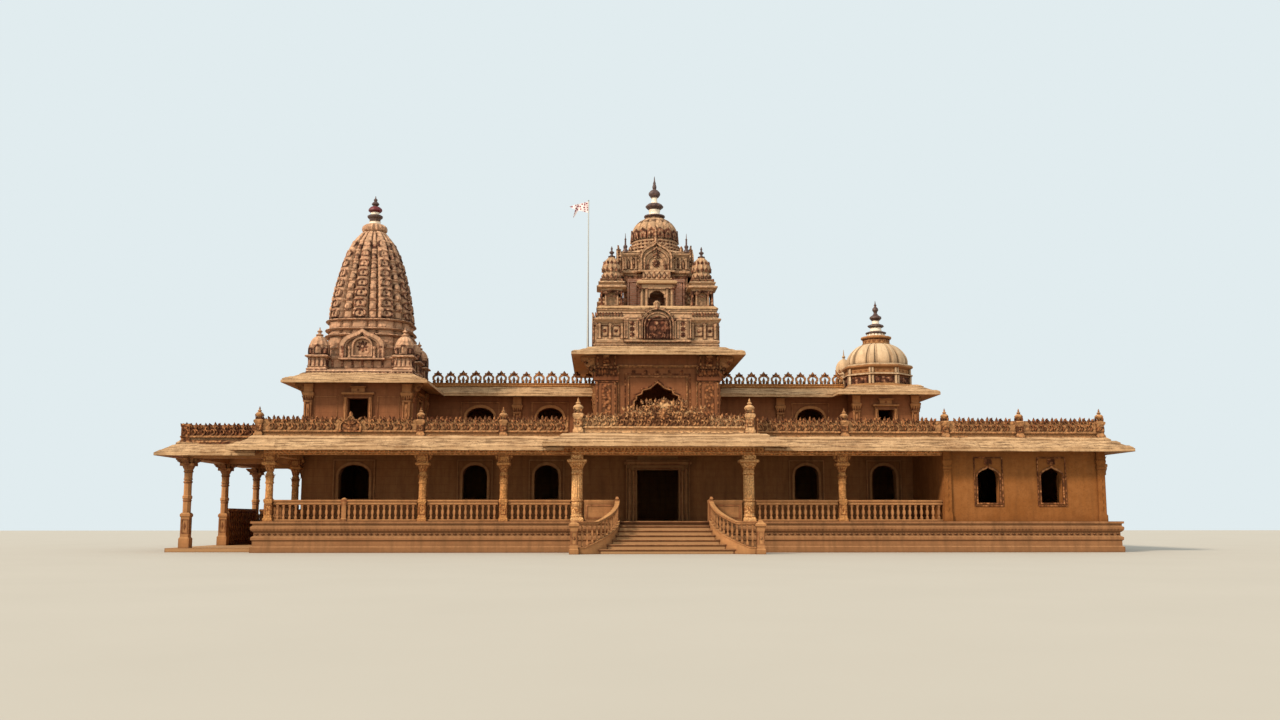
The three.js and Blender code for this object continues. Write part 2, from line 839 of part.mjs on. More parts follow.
function leftBlockWalls() {
  const ring = cut(wallRing(leftBlock, upperWallTop), [
    throughY(leftWindow.x0, leftWindow.x1, leftBlock.y0, leftWindow.z0, leftWindow.z1),
    blockDoor(spireX, leftBlock.y1 - upperWall),
    block(leftBlock.x1 - upperWall - 50, leftBlock.x1 + 50, 6300, 7300, terraceTop - 60, blockDoorway.top),
  ]);
  const pilasters = [leftBlock.x0 + 130, leftBlock.x1 - 130].map((x) =>
    centredBlock(x, leftBlock.y0, 150, terraceTop, upperWallTop - 60, 70),
  );
  return join([ring, windowFrame(leftWindow, leftBlock.y0), ...pilasters]);
}
add("left_block_walls", leftBlockWalls(), plasterStone);

function domeBlockWalls() {
  const flank = { ...domeBlock, y1: domeBlock.y1 };
  const sides = [
    block(flank.x0, flank.x1, flank.y0, flank.y0 + upperWall, terraceTop, upperWallTop),
    block(flank.x0, flank.x0 + upperWall, flank.y0, flank.y1, terraceTop, upperWallTop),
    block(flank.x1 - upperWall, flank.x1, flank.y0, flank.y1, terraceTop, upperWallTop),
  ];
  const hole = throughY(domeWindow.x0, domeWindow.x1, domeBlock.y0, domeWindow.z0, domeWindow.z1);
  const pilasters = [flank.x0 + 140, flank.x1 - 140].map((x) =>
    centredBlock(x, flank.y0, 140, terraceTop, upperWallTop - 60, 70),
  );
  return join([cut(join(sides), [hole]), windowFrame(domeWindow, flank.y0), ...pilasters]);
}
add("dome_block_walls", domeBlockWalls(), plasterStone);

const gateArch = { half: 960, sill: 4900 };
// The head of the gate window steps in through seven cusps.
function cuspedOutline() {
  const points = [
    [-gateArch.half, gateArch.sill],
    [gateArch.half, gateArch.sill],
    [gateArch.half, 6120],
    [860, 6180],
    [860, 6330],
    [640, 6420],
    [600, 6560],
    [300, 6640],
    [180, 6740],
    [0, 6890],
  ];
  const mirrored = points
    .slice(2, -1)
    .map(([x, z]) => [-x, z])
    .reverse();
  return [...points, ...mirrored];
}

function centreBlockWalls() {
  const b = centreBlock;
  const ring = cut(wallRing(b, centreWallTop), [
    uprightPlate(cuspedOutline(), b.y0 - 50, b.y0 + upperWall + 50),
    blockDoor(0, b.y1 - upperWall),
    block(b.x0 - 50, b.x0 + upperWall + 50, 6200, 7200, terraceTop - 60, blockDoorway.top),
    block(b.x1 - upperWall - 50, b.x1 + 50, 6200, 7200, terraceTop - 60, blockDoorway.top),
  ]);
  const pilasters = [b.x0 + 450, b.x1 - 450].map((x) =>
    join([
      centredBlock(x, b.y0, 450, terraceTop, 6980, 110),
      centredBlock(x, b.y0, 520, 6980, 7280, 180),
      centredBlock(x, b.y0, 430, 7280, centreWallTop - 80, 140),
    ]),
  );
  return join([ring, ...pilasters]);
}
add("centre_block_walls", centreBlockWalls(), plasterStone);

const galleryWindows = [
  { x: -7900, half: 640 },
  { x: -4700, half: 600 },
  { x: 7330, half: 630 },
].map((w) => ({ ...w, sill: 5150, spring: 5850, crown: 6310 }));
const galleryBackWindows = [-12450, -7900, -2600, 2600, 7330].map((x) => ({
  x,
  half: 600,
  sill: 5150,
  spring: 5850,
  crown: 6310,
}));

function galleryWalls() {
  const ring = cut(wallRing(gallery, upperWallTop), [
    ...galleryWindows.map((w) => archThrough(w, gallery.y0, gallery.y0 + upperWall)),
    ...galleryBackWindows.map((w) => archThrough(w, gallery.y1 - blindDepth + 50, gallery.y1)),
    blockDoor(spireX, gallery.y0),
    blockDoor(0, gallery.y0),
    blockDoor(domeX, gallery.y0),
  ]);
  const pilasters = [-6200, 5930].map((x) => centredBlock(x, gallery.y0, 160, terraceTop, upperWallTop - 60, 80));
  return join([ring, ...pilasters]);
}
add("gallery_walls", galleryWalls(), plasterStone);

// Upper roofs
const roofProfile = (wallTop, reach, edgeLow, edgeHigh, top) => [
  [0, wallTop],
  [reach, edgeLow],
  [reach, edgeHigh],
  [120, top],
];

function upperRoof() {
  const outline = [
    [leftBlock.x0, leftBlock.y0],
    [leftBlock.x1, leftBlock.y0],
    [leftBlock.x1, gallery.y0],
    [domeBlock.x0, gallery.y0],
    [domeBlock.x0, domeBlock.y0],
    [domeBlock.x1, domeBlock.y0],
    [domeBlock.x1, gallery.y1],
    [gallery.x0, gallery.y1],
  ];
  const roof = moulded(outline, roofProfile(upperWallTop, 830, 6770, 6870, upperRoofTop));
  const gate = block(centreBlock.x0 - 0.3, centreBlock.x1 + 0.3, 8000, centreBlock.y1 + 0.3, 6000, 9000);
  return cut(roof, [gate]);
}
add("upper_roof", upperRoof(), roofStone);

const poleX = -2950;
const poleY = 5900;
const poleFoot = 8440;
function centreRoof() {
  const b = centreBlock;
  const back = b.y1 + 1200;
  const roof = moulded(rectangle(b.x0, b.x1, b.y0, back), [
    [0, centreWallTop],
    [1000, 7960],
    [1000, 8060],
    [130, centreRoofTop],
  ]);
  const upstand = block(b.x0, b.x1, b.y1, back, upperRoofTop, centreWallTop + 50);
  return join([roof, upstand, centredBlock(poleX, poleY, 130, 8150, poleFoot)]);
}
add("centre_roof", centreRoof(), roofStone);

// A row of small leaf-shaped crests on a low band
function leafCrest(x0, x1) {
  const pitch = 520;
  const count = Math.round((x1 - x0) / pitch);
  const step = (x1 - x0) / count;
  const band = upperRoofTop + 170;
  const points = [
    [x0, upperRoofTop],
    [x1, upperRoofTop],
    [x1, band],
  ];
  for (let i = 0; i < count; i += 1) {
    const middle = x1 - (i + 0.5) * step;
    points.push([middle + 110, band], [middle + 190, band + 210], [middle, band + 430], [middle - 190, band + 210]);
    points.push([middle - 110, band]);
  }
  points.push([x0, band]);
  return uprightPlate(points, galleryFront - 60, galleryFront + 60);
}
add("crest_left", leafCrest(-10150, centreBlock.x0 - 10), carvedStone);
add("crest_right", leafCrest(centreBlock.x1 + 10, 8900), carvedStone);
const crestBack = block(gallery.x0, gallery.x1, hallBack - 60, hallBack + 60, upperRoofTop, upperRoofTop + 400);
add("crest_back", crestBack, carvedStone);

// Curved spire at the left
const shrineSpread = { x: 1790, front: 2150, back: 2150 };
function cornerShrine(x, y, half = 430) {
  const pedestal = moulded(square(x, y, half), [
    [20, 7400],
    [-40, 7500],
    [-40, 7940],
    [60, 7990],
    [60, 8050],
    [-30, 8080],
  ]);
  const dome = turned(x, y, [
    [half - 60, 8060],
    [half, 8380],
    [half - 30, 8560],
    [half * 0.72, 8740],
    [half * 0.3, 8860],
    [110, 8970],
    [60, 9060],
    [8, 9270],
  ], 8, Math.PI / 8);
  return join([pedestal, dome]);
}

// A pointed niche with a projecting frame.
function nicheOutline(x, half, foot, shoulder, peak) {
  return [
    [x - half, foot],
    [x + half, foot],
    [x + half, shoulder],
    [x + half * 0.72, shoulder + (peak - shoulder) * 0.45],
    [x + half * 0.3, shoulder + (peak - shoulder) * 0.75],
    [x, peak],
    [x - half * 0.3, shoulder + (peak - shoulder) * 0.75],
    [x - half * 0.72, shoulder + (peak - shoulder) * 0.45],
    [x - half, shoulder],
  ];
}

function spirePlatform() {
  const base = moulded(rectangle(-14680, -10220, 4320, 9280), [
    [0, upperRoofTop],
    [0, 7340],
    [-60, 7370],
    [-60, 7430],
  ]);
  const pedestal = moulded(rectangle(spireX - 1880, spireX + 1880, spireY - 1880, spireY + 1880), [
    [0, 7420],
    [0, 7560],
    [-50, 7600],
    [-50, 7900],
    [30, 7960],
    [30, 8020],
    [-60, 8060],
  ]);
  const shrines = [];
  [-1, 1].forEach((sx) =>
    [-2010, 0, 2010].forEach((dy) => shrines.push(cornerShrine(spireX + sx * shrineSpread.x, spireY + dy))),
  );
  const outerFrame = uprightPlate(nicheOutline(spireX, 950, 7900, 8350, 9250), spireY - 2130, spireY - 1780);
  const opening = uprightPlate(archOutline(spireX, 430, 8100, 8500, 8820, 4), spireY - 2300, spireY - 1930);
  const frontNiche = cut(outerFrame, [opening]);
  const backNiche = frontNiche.clone().translate(-spireX, -spireY, 0).rotateZ(Math.PI).translate(spireX, spireY, 0);
  return join([base, pedestal, ...shrines, frontNiche, backNiche]);
}
const platform = spirePlatform();

// The spire's plan is a rounded square with broad ribs: the radius at each angle for a half width of 1.
const spireSides = 32;
function spirePlan(angle) {
  const power = 5;
  const c = Math.abs(Math.cos(angle)) ** power;
  const s = Math.abs(Math.sin(angle)) ** power;
  return (c + s) ** (-1 / power);
}

// Levels of the spire: half width and height.
const spireLevels = [
  [1800, 8060],
  [1830, 8500],
  [1820, 9000],
  [1800, 9760],
  [1720, 10500],
  [1600, 11200],
  [1450, 11820],
  [1270, 12500],
  [1050, 13080],
  [770, 13520],
  [500, 13840],
];
function spire(grow, lift) {
  const positions = [];
  spireLevels.forEach(([half, z]) => {
    for (let i = 0; i < spireSides; i += 1) {
      const angle = ((i + 0.5) / spireSides) * 2 * Math.PI;
      const rib = i % 2 ? 0.95 : 1;
      const r = half * rib * spirePlan(angle) * 0.97 + grow;
      positions.push(spireX + r * Math.cos(angle), spireY + r * Math.sin(angle), z + lift);
    }
  });
  const triangles = [];
  const last = spireLevels.length - 1;
  for (let level = 0; level < last; level += 1) {
    for (let i = 0; i < spireSides; i += 1) {
      const a = level * spireSides + i;
      const b = level * spireSides + ((i + 1) % spireSides);
      triangles.push(a, b, b + spireSides, a, b + spireSides, a + spireSides);
    }
  }
  for (let i = 1; i < spireSides - 1; i += 1) {
    const top = last * spireSides;
    triangles.push(0, i + 1, i, top, top + i, top + i + 1);
  }
  return faceOut(positions, triangles);
}
add("spire_platform", cut(platform, [spire(0.6, 0)]), carvedStone);
add("spire", spire(0, 0.3), carvedStone);

const spireTop = spireLevels.at(-1)[1] + 0.3;
add(
  "spire_finial",
  turned(spireX, spireY, [
    [430, spireTop],
    [520, 13920],
    [560, 14080],
    [480, 14240],
    [260, 14320],
    [200, 14440],
    [330, 14520],
    [330, 14600],
    [220, 14700],
    [170, 14760],
    [310, 14830],
    [310, 14930],
    [200, 15020],
    [90, 15080],
    [170, 15150],
    [120, 15240],
    [60, 15290],
    [85, 15350],
    [10, 15530],
  ], 10),
  finialRed,
);

// Gate tower over the entrance
const squareTier = (half, profile) => moulded(square(gateX, gateY, half), profile);

// Front and back outlines of a niche as one pair of plates on a tier.
function facePairs(outline, depth, tuck, face) {
  const front = uprightPlate(outline, gateY - face - depth, gateY - face + tuck);
  const back = front.clone().translate(0, -gateY, 0).rotateZ(Math.PI).translate(0, gateY, 0);
  return [front, back];
}

function gateTierOne() {
  const body = squareTier(2500, [
    [120, centreRoofTop],
    [120, 8520],
    [60, 8560],
    [120, 8620],
    [120, 8700],
    [0, 8760],
    [0, 9420],
    [170, 9540],
    [190, 9620],
    [60, 9680],
    [0, 9960],
    [60, 9990],
    [60, 10080],
  ]);
  const bay = block(-1400, 1400, gateY - 2690, gateY + 2690, 8640, 9640);
  const niches = facePairs(nicheOutline(0, 680, 8700, 9450, 10180), 270, 50, 2500);
  const holes = facePairs(archOutline(0, 430, 8800, 9350, 9750, 4), 400, -100, 2500);
  return cut(join([body, bay, ...niches]), holes);
}
add("gate_tier_1", gateTierOne(), carvedStone);

function cornerPavilion(x, y) {
  const foot = 10080;
  const body = moulded(square(x, y, 500), [
    [40, foot],
    [40, foot + 80],
    [0, foot + 110],
    [0, 10880],
    [130, 10970],
    [130, 11050],
    [20, 11110],
    [60, 11200],
    [-60, 11260],
    [-20, 11340],
    [-120, 11400],
  ]);
  const doorX = block(x - 620, x + 620, y - 190, y + 190, 10230, 10750);
  const doorY = block(x - 190, x + 190, y - 620, y + 620, 10230, 10750);
  const core = centredBlock(x, y, 330, 10200, 10800);
  const dome = turned(x, y, [
    [400, 11380],
    [420, 11620],
    [370, 11700],
    [410, 11960],
    [320, 12200],
    [140, 12380],
    [120, 12560],
    [40, 12660],
    [6, 12880],
  ], 8, Math.PI / 8);
  return join([cut(body, [doorX, doorY]), core, dome]);
}

function gateTierTwo() {
  const foot = 10080;
  const core = squareTier(1340, [
    [100, foot],
    [100, foot + 60],
    [0, foot + 90],
    [0, 11800],
  ]);
  const pavilions = [];
  [-1, 1].forEach((sx) => [-1, 1].forEach((sy) => pavilions.push(cornerPavilion(sx * 1930, gateY + sy * 1930))));
  const deck = squareTier(2440, [
    [0, foot],
    [0, foot + 60],
  ]);
  const porch = block(-720, 720, gateY - 2250, gateY + 2250, foot, 11200);
  const hood = block(-860, 860, gateY - 2380, gateY + 2380, 11180, 11330);
  const gables = facePairs(nicheOutline(0, 640, 11330, 11700, 11790), 500, 200, 1340);
  const doors = facePairs([[-340, 10230], [340, 10230], [340, 10950], [-340, 10950]], 1100, -450, 1340);
  return join([deck, core, ...pavilions, cut(join([porch, hood]), doors), ...gables]);
}
add("gate_tier_2", gateTierTwo(), carvedStone);

function gateTierThree() {
  const foot = 11800;
  const body = squareTier(1380, [
    [0, foot],
    [100, foot + 60],
    [100, foot + 120],
    [0, foot + 170],
    [0, 12520],
    [110, 12620],
    [110, 12740],
    [-60, 12800],
  ]);
  const rings = turned(gateX, gateY, [
    [1290, 12780],
    [1330, 12900],
    [1190, 12960],
    [1230, 13080],
    [1080, 13140],
    [1120, 13260],
    [1000, 13320],
    [1020, 13440],
  ], 16);
  const spikes = [];
  [-1, 1].forEach((sx) =>
    [-1, 1].forEach((sy) =>
      spikes.push(
        turned(sx * 1330, gateY + sy * 1330, [
          [120, 12730],
          [130, 12860],
          [60, 12940],
          [90, 13020],
          [10, 13600],
        ], 6),
      ),
    ),
  );
  const gables = facePairs(nicheOutline(0, 760, foot, 12300, 13150), 330, 300, 1380);
  return join([body, rings, ...spikes, ...gables]);
}
add("gate_tier_3", gateTierThree(), carvedStone);

// A turned body whose sides swell and pinch as ribs.
function ribbedDome(x, y, profile, ribs, depth) {
  const sides = ribs * 2;
  const positions = [];
  profile.forEach(([radius, z]) => {
    for (let i = 0; i < sides; i += 1) {
      const angle = ((i + 0.5) / sides) * 2 * Math.PI;
      const r = radius * (i % 2 ? 1 - depth : 1);
      positions.push(x + r * Math.cos(angle), y + r * Math.sin(angle), z);
    }
  });
  const last = profile.length - 1;
  const triangles = [];
  for (let level = 0; level < last; level += 1) {
    for (let i = 0; i < sides; i += 1) {
      const a = level * sides + i;
      const b = level * sides + ((i + 1) % sides);
      triangles.push(a, b, b + sides, a, b + sides, a + sides);
    }
  }
  for (let i = 1; i < sides - 1; i += 1) {
    triangles.push(0, i + 1, i, last * sides, last * sides + i, last * sides + i + 1);
  }
  return faceOut(positions, triangles);
}

add(
  "gate_dome",
  ribbedDome(gateX, gateY, [
    [980, 13440],
    [1020, 13600],
    [1040, 13760],
    [1000, 13980],
    [880, 14220],
    [680, 14420],
    [440, 14550],
  ], 12, 0.05),
  carvedStone,
);
add(
  "gate_finial",
  turned(gateX, gateY, [
    [430, 14550],
    [400, 14600],
    [470, 14650],
    [470, 14720],
    [230, 14790],
    [210, 14950],
    [280, 15020],
    [400, 15120],
    [400, 15180],
    [240, 15300],
    [120, 15360],
    [100, 15520],
    [180, 15590],
    [265, 15720],
    [255, 15790],
    [150, 15900],
    [75, 15960],
    [90, 16100],
    [10, 16550],
  ], 10),
  carvedStone,
);

// Ribbed dome at the right
const octagonTurn = Math.PI / 8;
const flatToCorner = 1 / Math.cos(Math.PI / 8);
function domeDrum() {
  const at = (half, z) => [half * flatToCorner, z];
  const drum = turned(domeX, domeY, [
    at(1500, upperRoofTop),
    at(1500, 7330),
    at(1440, 7370),
    at(1440, 7740),
    at(1500, 7790),
    at(1500, 7840),
    at(1430, 7880),
    at(1430, 8080),
    at(1540, 8150),
    at(1540, 8220),
    at(1440, 8270),
  ], 8, octagonTurn);
  const base = block(domeX - 1560, domeX + 1560, domeY - 1580, domeY + 2200, upperRoofTop, 7290);
  const kiosks = [-1, 1].map((s) =>
    turned(domeX + s * 1180, domeY + 1780, [
      [410, upperRoofTop],
      [410, 7400],
      [360, 7440],
      [360, 8080],
      [420, 8140],
      [370, 8200],
      [400, 8330],
      [340, 8640],
      [170, 8840],
      [50, 8920],
      [80, 9000],
      [8, 9360],
    ], 8, octagonTurn),
  );
  return join([base, drum, ...kiosks]);
}
add("dome_drum", domeDrum(), carvedStone);
add(
  "dome",
  ribbedDome(domeX, domeY, [
    [1400, 8270],
    [1430, 8420],
    [1410, 8600],
    [1310, 8830],
    [1120, 9060],
    [880, 9240],
    [640, 9340],
  ], 12, 0.04),
  domeStone,
);
add(
  "dome_finial",
  turned(domeX, domeY, [
    [630, 9340],
    [660, 9380],
    [640, 9560],
    [720, 9620],
    [720, 9690],
    [430, 9740],
    [400, 9820],
    [480, 9860],
    [480, 9920],
    [250, 9980],
    [260, 10140],
    [390, 10180],
    [390, 10240],
    [180, 10320],
    [150, 10440],
    [280, 10580],
    [280, 10660],
    [130, 10760],
    [80, 10860],
    [140, 10980],
    [130, 11080],
    [60, 11160],
    [8, 11430],
  ], 10),
  domeStone,
);

// Flagpole with a pennant
const poleTop = 15200;
add(
  "flagpole",
  turned(poleX, poleY, [
    [110, poleFoot],
    [110, poleFoot + 30],
    [50, poleFoot + 40],
    [32, 10500],
    [24, poleTop - 60],
    [40, poleTop - 40],
    [10, poleTop],
  ], 8),
  poleMetal,
);
const flagEdge = poleX - 25.3;
add(
  "flag",
  uprightPlate([
    [flagEdge, 14620],
    [flagEdge, 15120],
    [flagEdge - 820, 14900],
    [flagEdge - 560, 14760],
    [flagEdge - 640, 14380],
    [flagEdge - 420, 14700],
  ], poleY - 6, poleY + 6),
  flagCloth,
);

export default temple;
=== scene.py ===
# A red sandstone temple with a carved verandah, a curved spire, a tiered gate tower and a ribbed dome.
# Metres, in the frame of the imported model: +X right, +Y back, +Z up, ground at zero.
import math
import random
from functools import partial

import bmesh
import bpy
from mathutils import Matrix, Vector


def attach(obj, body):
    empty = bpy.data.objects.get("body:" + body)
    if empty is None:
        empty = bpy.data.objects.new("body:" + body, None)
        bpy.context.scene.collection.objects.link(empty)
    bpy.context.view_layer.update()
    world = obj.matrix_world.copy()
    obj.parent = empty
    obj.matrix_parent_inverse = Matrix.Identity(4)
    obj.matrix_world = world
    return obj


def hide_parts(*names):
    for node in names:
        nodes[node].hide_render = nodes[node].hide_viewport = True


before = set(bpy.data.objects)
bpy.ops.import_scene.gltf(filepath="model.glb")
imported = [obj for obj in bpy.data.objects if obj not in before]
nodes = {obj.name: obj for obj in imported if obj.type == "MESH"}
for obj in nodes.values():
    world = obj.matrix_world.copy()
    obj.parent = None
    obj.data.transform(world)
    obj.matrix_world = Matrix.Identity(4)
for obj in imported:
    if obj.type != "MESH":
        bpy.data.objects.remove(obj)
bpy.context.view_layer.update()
scene = bpy.context.scene
rightAngle = math.pi / 2

# The photograph's place and angle: in front of the steps, a little left of the entrance axis
camera = {
    "place": (-2.4, -45.7, 1.2), "turn": math.atan(40 / 1200), "tilt": math.atan(160 / 1200), "lens": 33.75,
    "sensor": 36, "farthest": 600,
}

# A warm key from the left and front, a weak broad fill that reaches under the eaves, and a pale even surround
light = {
    "keyFrom": (-1, -0.75, 0.85), "keyStrength": 3.8, "keySoftness": 8.0, "keyColour": "#fff0dc",
    "fillFrom": (-0.1, -1, 0.12), "fillStrength": 0.6, "fillSoftness": 90.0, "fillColour": "#fff4e4",
    "surround": "#e1ecef", "surroundStrength": 1.0, "floorSize": 190, "floorColours": ("#b9b0a2", "#b3aa9c"),
}


def linear(hexColour):
    channels = [int(hexColour[i : i + 2], 16) / 255 for i in (1, 3, 5)]
    return tuple(c / 12.92 if c <= 0.04045 else ((c + 0.055) / 1.055) ** 2.4 for c in channels) + (1.0,)


# Fills a node's inputs, by name or in order, with values, sockets or the first outputs of other nodes
def fill(tree, node, inputs):
    for key, value in inputs.items() if isinstance(inputs, dict) else enumerate(inputs):
        if isinstance(value, bpy.types.Node):
            value = value.outputs[0]
        if isinstance(value, bpy.types.NodeSocket):
            tree.links.new(value, node.inputs[key])
        else:
            node.inputs[key].default_value = value


def addNode(tree, kind, inputs=(), **settings):
    node = tree.nodes.new(kind)
    for key, value in settings.items():
        setattr(node, key, value)
    fill(tree, node, inputs)
    return node


def addObject(name, data):
    thing = bpy.data.objects.new(name, data)
    scene.collection.objects.link(thing)
    return thing


def makeCamera():
    data = bpy.data.cameras.new("photoCamera")
    data.lens = camera["lens"]
    data.sensor_width = camera["sensor"]
    data.clip_end = camera["farthest"]
    turn, tilt = camera["turn"], camera["tilt"]
    ahead = Vector((math.sin(turn) * math.cos(tilt), math.cos(turn) * math.cos(tilt), math.sin(tilt)))
    holder = addObject("photoCamera", data)
    holder.location = camera["place"]
    holder.rotation_euler = ahead.to_track_quat("-Z", "Y").to_euler()
    scene.camera = holder


def makeLight():
    for name in ("key", "fill"):
        sun = bpy.data.lights.new(name + "Light", "SUN")
        sun.energy = light[name + "Strength"]
        sun.angle = math.radians(light[name + "Softness"])
        sun.color = linear(light[name + "Colour"])[:3]
        holder = addObject(name + "Light", sun)
        holder.rotation_euler = (-Vector(light[name + "From"])).to_track_quat("-Z", "Y").to_euler()
        holder.location = (0, 0, 30)
    world = bpy.data.worlds.new("paleSurround")
    world.use_nodes = True
    back = world.node_tree.nodes["Background"]
    fill(world.node_tree, back, {"Color": linear(light["surround"]), "Strength": light["surroundStrength"]})
    scene.world = world
    # Plain colour, with no film curve, so that stone keeps the colour it has in daylight
    scene.view_settings.view_transform = "Standard"


makeCamera()
makeLight()
print("camera and light")


# Materials: each begins with the place on the piece and ends by filling its shader
def newMaterial(name):
    material = bpy.data.materials.new(name)
    material.use_nodes = True
    add = partial(addNode, material.node_tree)
    return material, add, add("ShaderNodeTexCoord").outputs["Object"]


def closeMaterial(material, inputs):
    fill(material.node_tree, material.node_tree.nodes["Principled BSDF"], inputs)
    return material


# Weathered red sandstone, chiselled and rough: broad warm patches, rain streaks and specks, pale dust on
# every ledge with a painted highlight on its top, painted shade on undersides, painted shade over grime in
# every hollow, and arrises pale with wear and a painted highlight. carving is the width in mm of a cut leaf,
# whose cuts get painted shade, cutDepth its depth in mm, crown how pale the tops of the leaves are painted as
# a highlight, wear how pale the arrises get, joint the size in mm of a block, and bands above 1 lays the
# streaks along an eave. The real grain of 1 mm is drawn at 25 mm or more, which is as fine as shows. A finish
# that says nothing
# else has this:
commonStone = {
    "carving": 0, "cutDepth": 24, "grain": 25, "streak": 0.4, "speck": 0.4, "hollowShade": 0.9, "hollowShadeReach": 0.3,
    "crown": 0.0, "wear": 0.35, "arrisWearAndHighlight": 0.05, "ledgeDustAndHighlight": 0.65, "joint": None, "bands": 0.14,
}
stoneFinishes = {
    "carvedSandstone": {
        "base": "#844a2b", "pale": "#ab6f43", "stainAndShade": "#35180b", "dustAndHighlight": "#cf9a66", "undersideShade": "#6b3a20",
        "carving": 130, "crown": 0.45, "hollowShade": 0.95, "hollowShadeReach": 0.2, "wear": 0.45, "ledgeDustAndHighlight": 0.85,
    },
    # A paler copy of the carved sandstone, with more painted highlight on leaf tops, ledges and arrises, for
    # the porch's vine pile: painted light
    "vineSandstonePaintedLight": {
        "base": "#9a5e38", "pale": "#c48c5a", "stainAndShade": "#3c1d0e", "dustAndHighlight": "#e6b580", "undersideShade": "#7a4526",
        "carving": 130, "crown": 0.5, "hollowShade": 0.9, "hollowShadeReach": 0.16, "wear": 0.55, "ledgeDustAndHighlight": 0.9,
    },
    "columnSandstone": {
        "base": "#b06c38", "pale": "#c98e55", "stainAndShade": "#66371a", "dustAndHighlight": "#d39c5e", "undersideShade": "#8f5429",
        "carving": 60, "cutDepth": 12, "speck": 0.3, "hollowShade": 0.8,
    },
    # A brighter, more orange copy of the sandstone for the front beam and its trim: painted bounce light
    # under the eaves
    "beamSandstonePaintedBounce": {
        "base": "#dd8645", "pale": "#eea666", "stainAndShade": "#75411e", "dustAndHighlight": "#eebd7e", "undersideShade": "#b5692f",
        "carving": 80, "cutDepth": 12, "speck": 0.3, "hollowShade": 0.75,
    },
    # A brighter copy of the column sandstone for the porch columns: painted sunlight on the parts that their
    # eave shades
    "porchSandstonePaintedSunlit": {
        "base": "#e59d5a", "pale": "#f8c889", "stainAndShade": "#7f4925", "dustAndHighlight": "#f4c688", "undersideShade": "#b56d35",
        "carving": 60, "cutDepth": 12, "speck": 0.35, "hollowShade": 0.85,
    },
    "mouldedSandstone": {
        "base": "#865231", "pale": "#a67249", "stainAndShade": "#43230f", "dustAndHighlight": "#c4915d", "undersideShade": "#6b3f24",
        "streak": 0.55, "joint": (900, 300),
    },
    # Darker than the moulded sandstone, with heavier streaks and specks: partly splashed dirt, partly the
    # painted shadow of a railing in front of the plinth that is not built
    "plinthStone": {
        "base": "#704427", "pale": "#8c5d3a", "stainAndShade": "#3a1f0f", "dustAndHighlight": "#ad7e54", "undersideShade": "#5c331c",
        "streak": 0.7, "speck": 0.55, "ledgeDustAndHighlight": 0.9, "joint": (900, 300),
    },
    "wingRender": {
        "base": "#7b481c", "pale": "#8b572b", "stainAndShade": "#543012", "dustAndHighlight": "#9a6638", "undersideShade": "#6a3a1b",
        "grain": 60, "speck": 0.5, "hollowShade": 0.5, "wear": 0.15,
    },
    "verandahWall": {
        "base": "#8c5a33", "pale": "#9a683f", "stainAndShade": "#4b2a14", "dustAndHighlight": "#96643b", "undersideShade": "#633619",
        "grain": 40, "speck": 0.2, "hollowShade": 0.5, "wear": 0.2, "joint": (800, 330),
    },
    "upperWall": {
        "base": "#76452a", "pale": "#865435", "stainAndShade": "#452313", "dustAndHighlight": "#9b6b45", "undersideShade": "#5b2c18",
        "grain": 40, "speck": 0.2, "hollowShade": 0.55, "wear": 0.2, "joint": (700, 330),
    },
    "spireStone": {
        "base": "#85503a", "pale": "#ad7b5e", "stainAndShade": "#2c140c", "dustAndHighlight": "#e2b28b", "undersideShade": "#603424",
        "carving": 170, "crown": 0.75, "speck": 0.5, "hollowShade": 0.97, "hollowShadeReach": 0.2, "ledgeDustAndHighlight": 0.95,
        "wear": 0.5,
    },
    "gateTowerStone": {
        "base": "#77422c", "pale": "#9f6c4e", "stainAndShade": "#2a120a", "dustAndHighlight": "#dab086", "undersideShade": "#5f3122",
        "carving": 160, "crown": 0.75, "streak": 0.3, "speck": 0.5, "hollowShade": 0.97, "hollowShadeReach": 0.2,
        "ledgeDustAndHighlight": 0.95, "wear": 0.5,
    },
    "eaveSlab": {
        "base": "#8f6a47", "pale": "#cfa97e", "stainAndShade": "#3c230f", "dustAndHighlight": "#c8a076", "undersideShade": "#84452a",
        "grain": 50, "streak": 0.9, "speck": 0.9, "hollowShade": 0.9, "hollowShadeReach": 0.15, "wear": 0.6,
        "ledgeDustAndHighlight": 0.35, "joint": (1250, 6000), "bands": 14.0,
    },
    "terraceStone": {
        "base": "#8f6a47", "pale": "#ab8862", "stainAndShade": "#54391f", "dustAndHighlight": "#b8946c", "undersideShade": "#6a4023",
        "grain": 40, "streak": 0.6, "speck": 0.6, "hollowShade": 0.6, "joint": (900, 600),
    },
    "domePlaster": {
        "base": "#ac8864", "pale": "#ccac88", "stainAndShade": "#4a2e19", "dustAndHighlight": "#d6b893", "undersideShade": "#7f552f",
        "streak": 0.55, "hollowShade": 1.0, "hollowShadeReach": 0.2, "wear": 0.3,
    },
    "stepStone": {
        "base": "#6f4428", "pale": "#8a5c3a", "stainAndShade": "#402414", "dustAndHighlight": "#bd9265", "undersideShade": "#63402a",
        "grain": 30, "hollowShade": 0.8, "ledgeDustAndHighlight": 0.95, "wear": 0.6, "joint": (1100, 4000),
    },
}


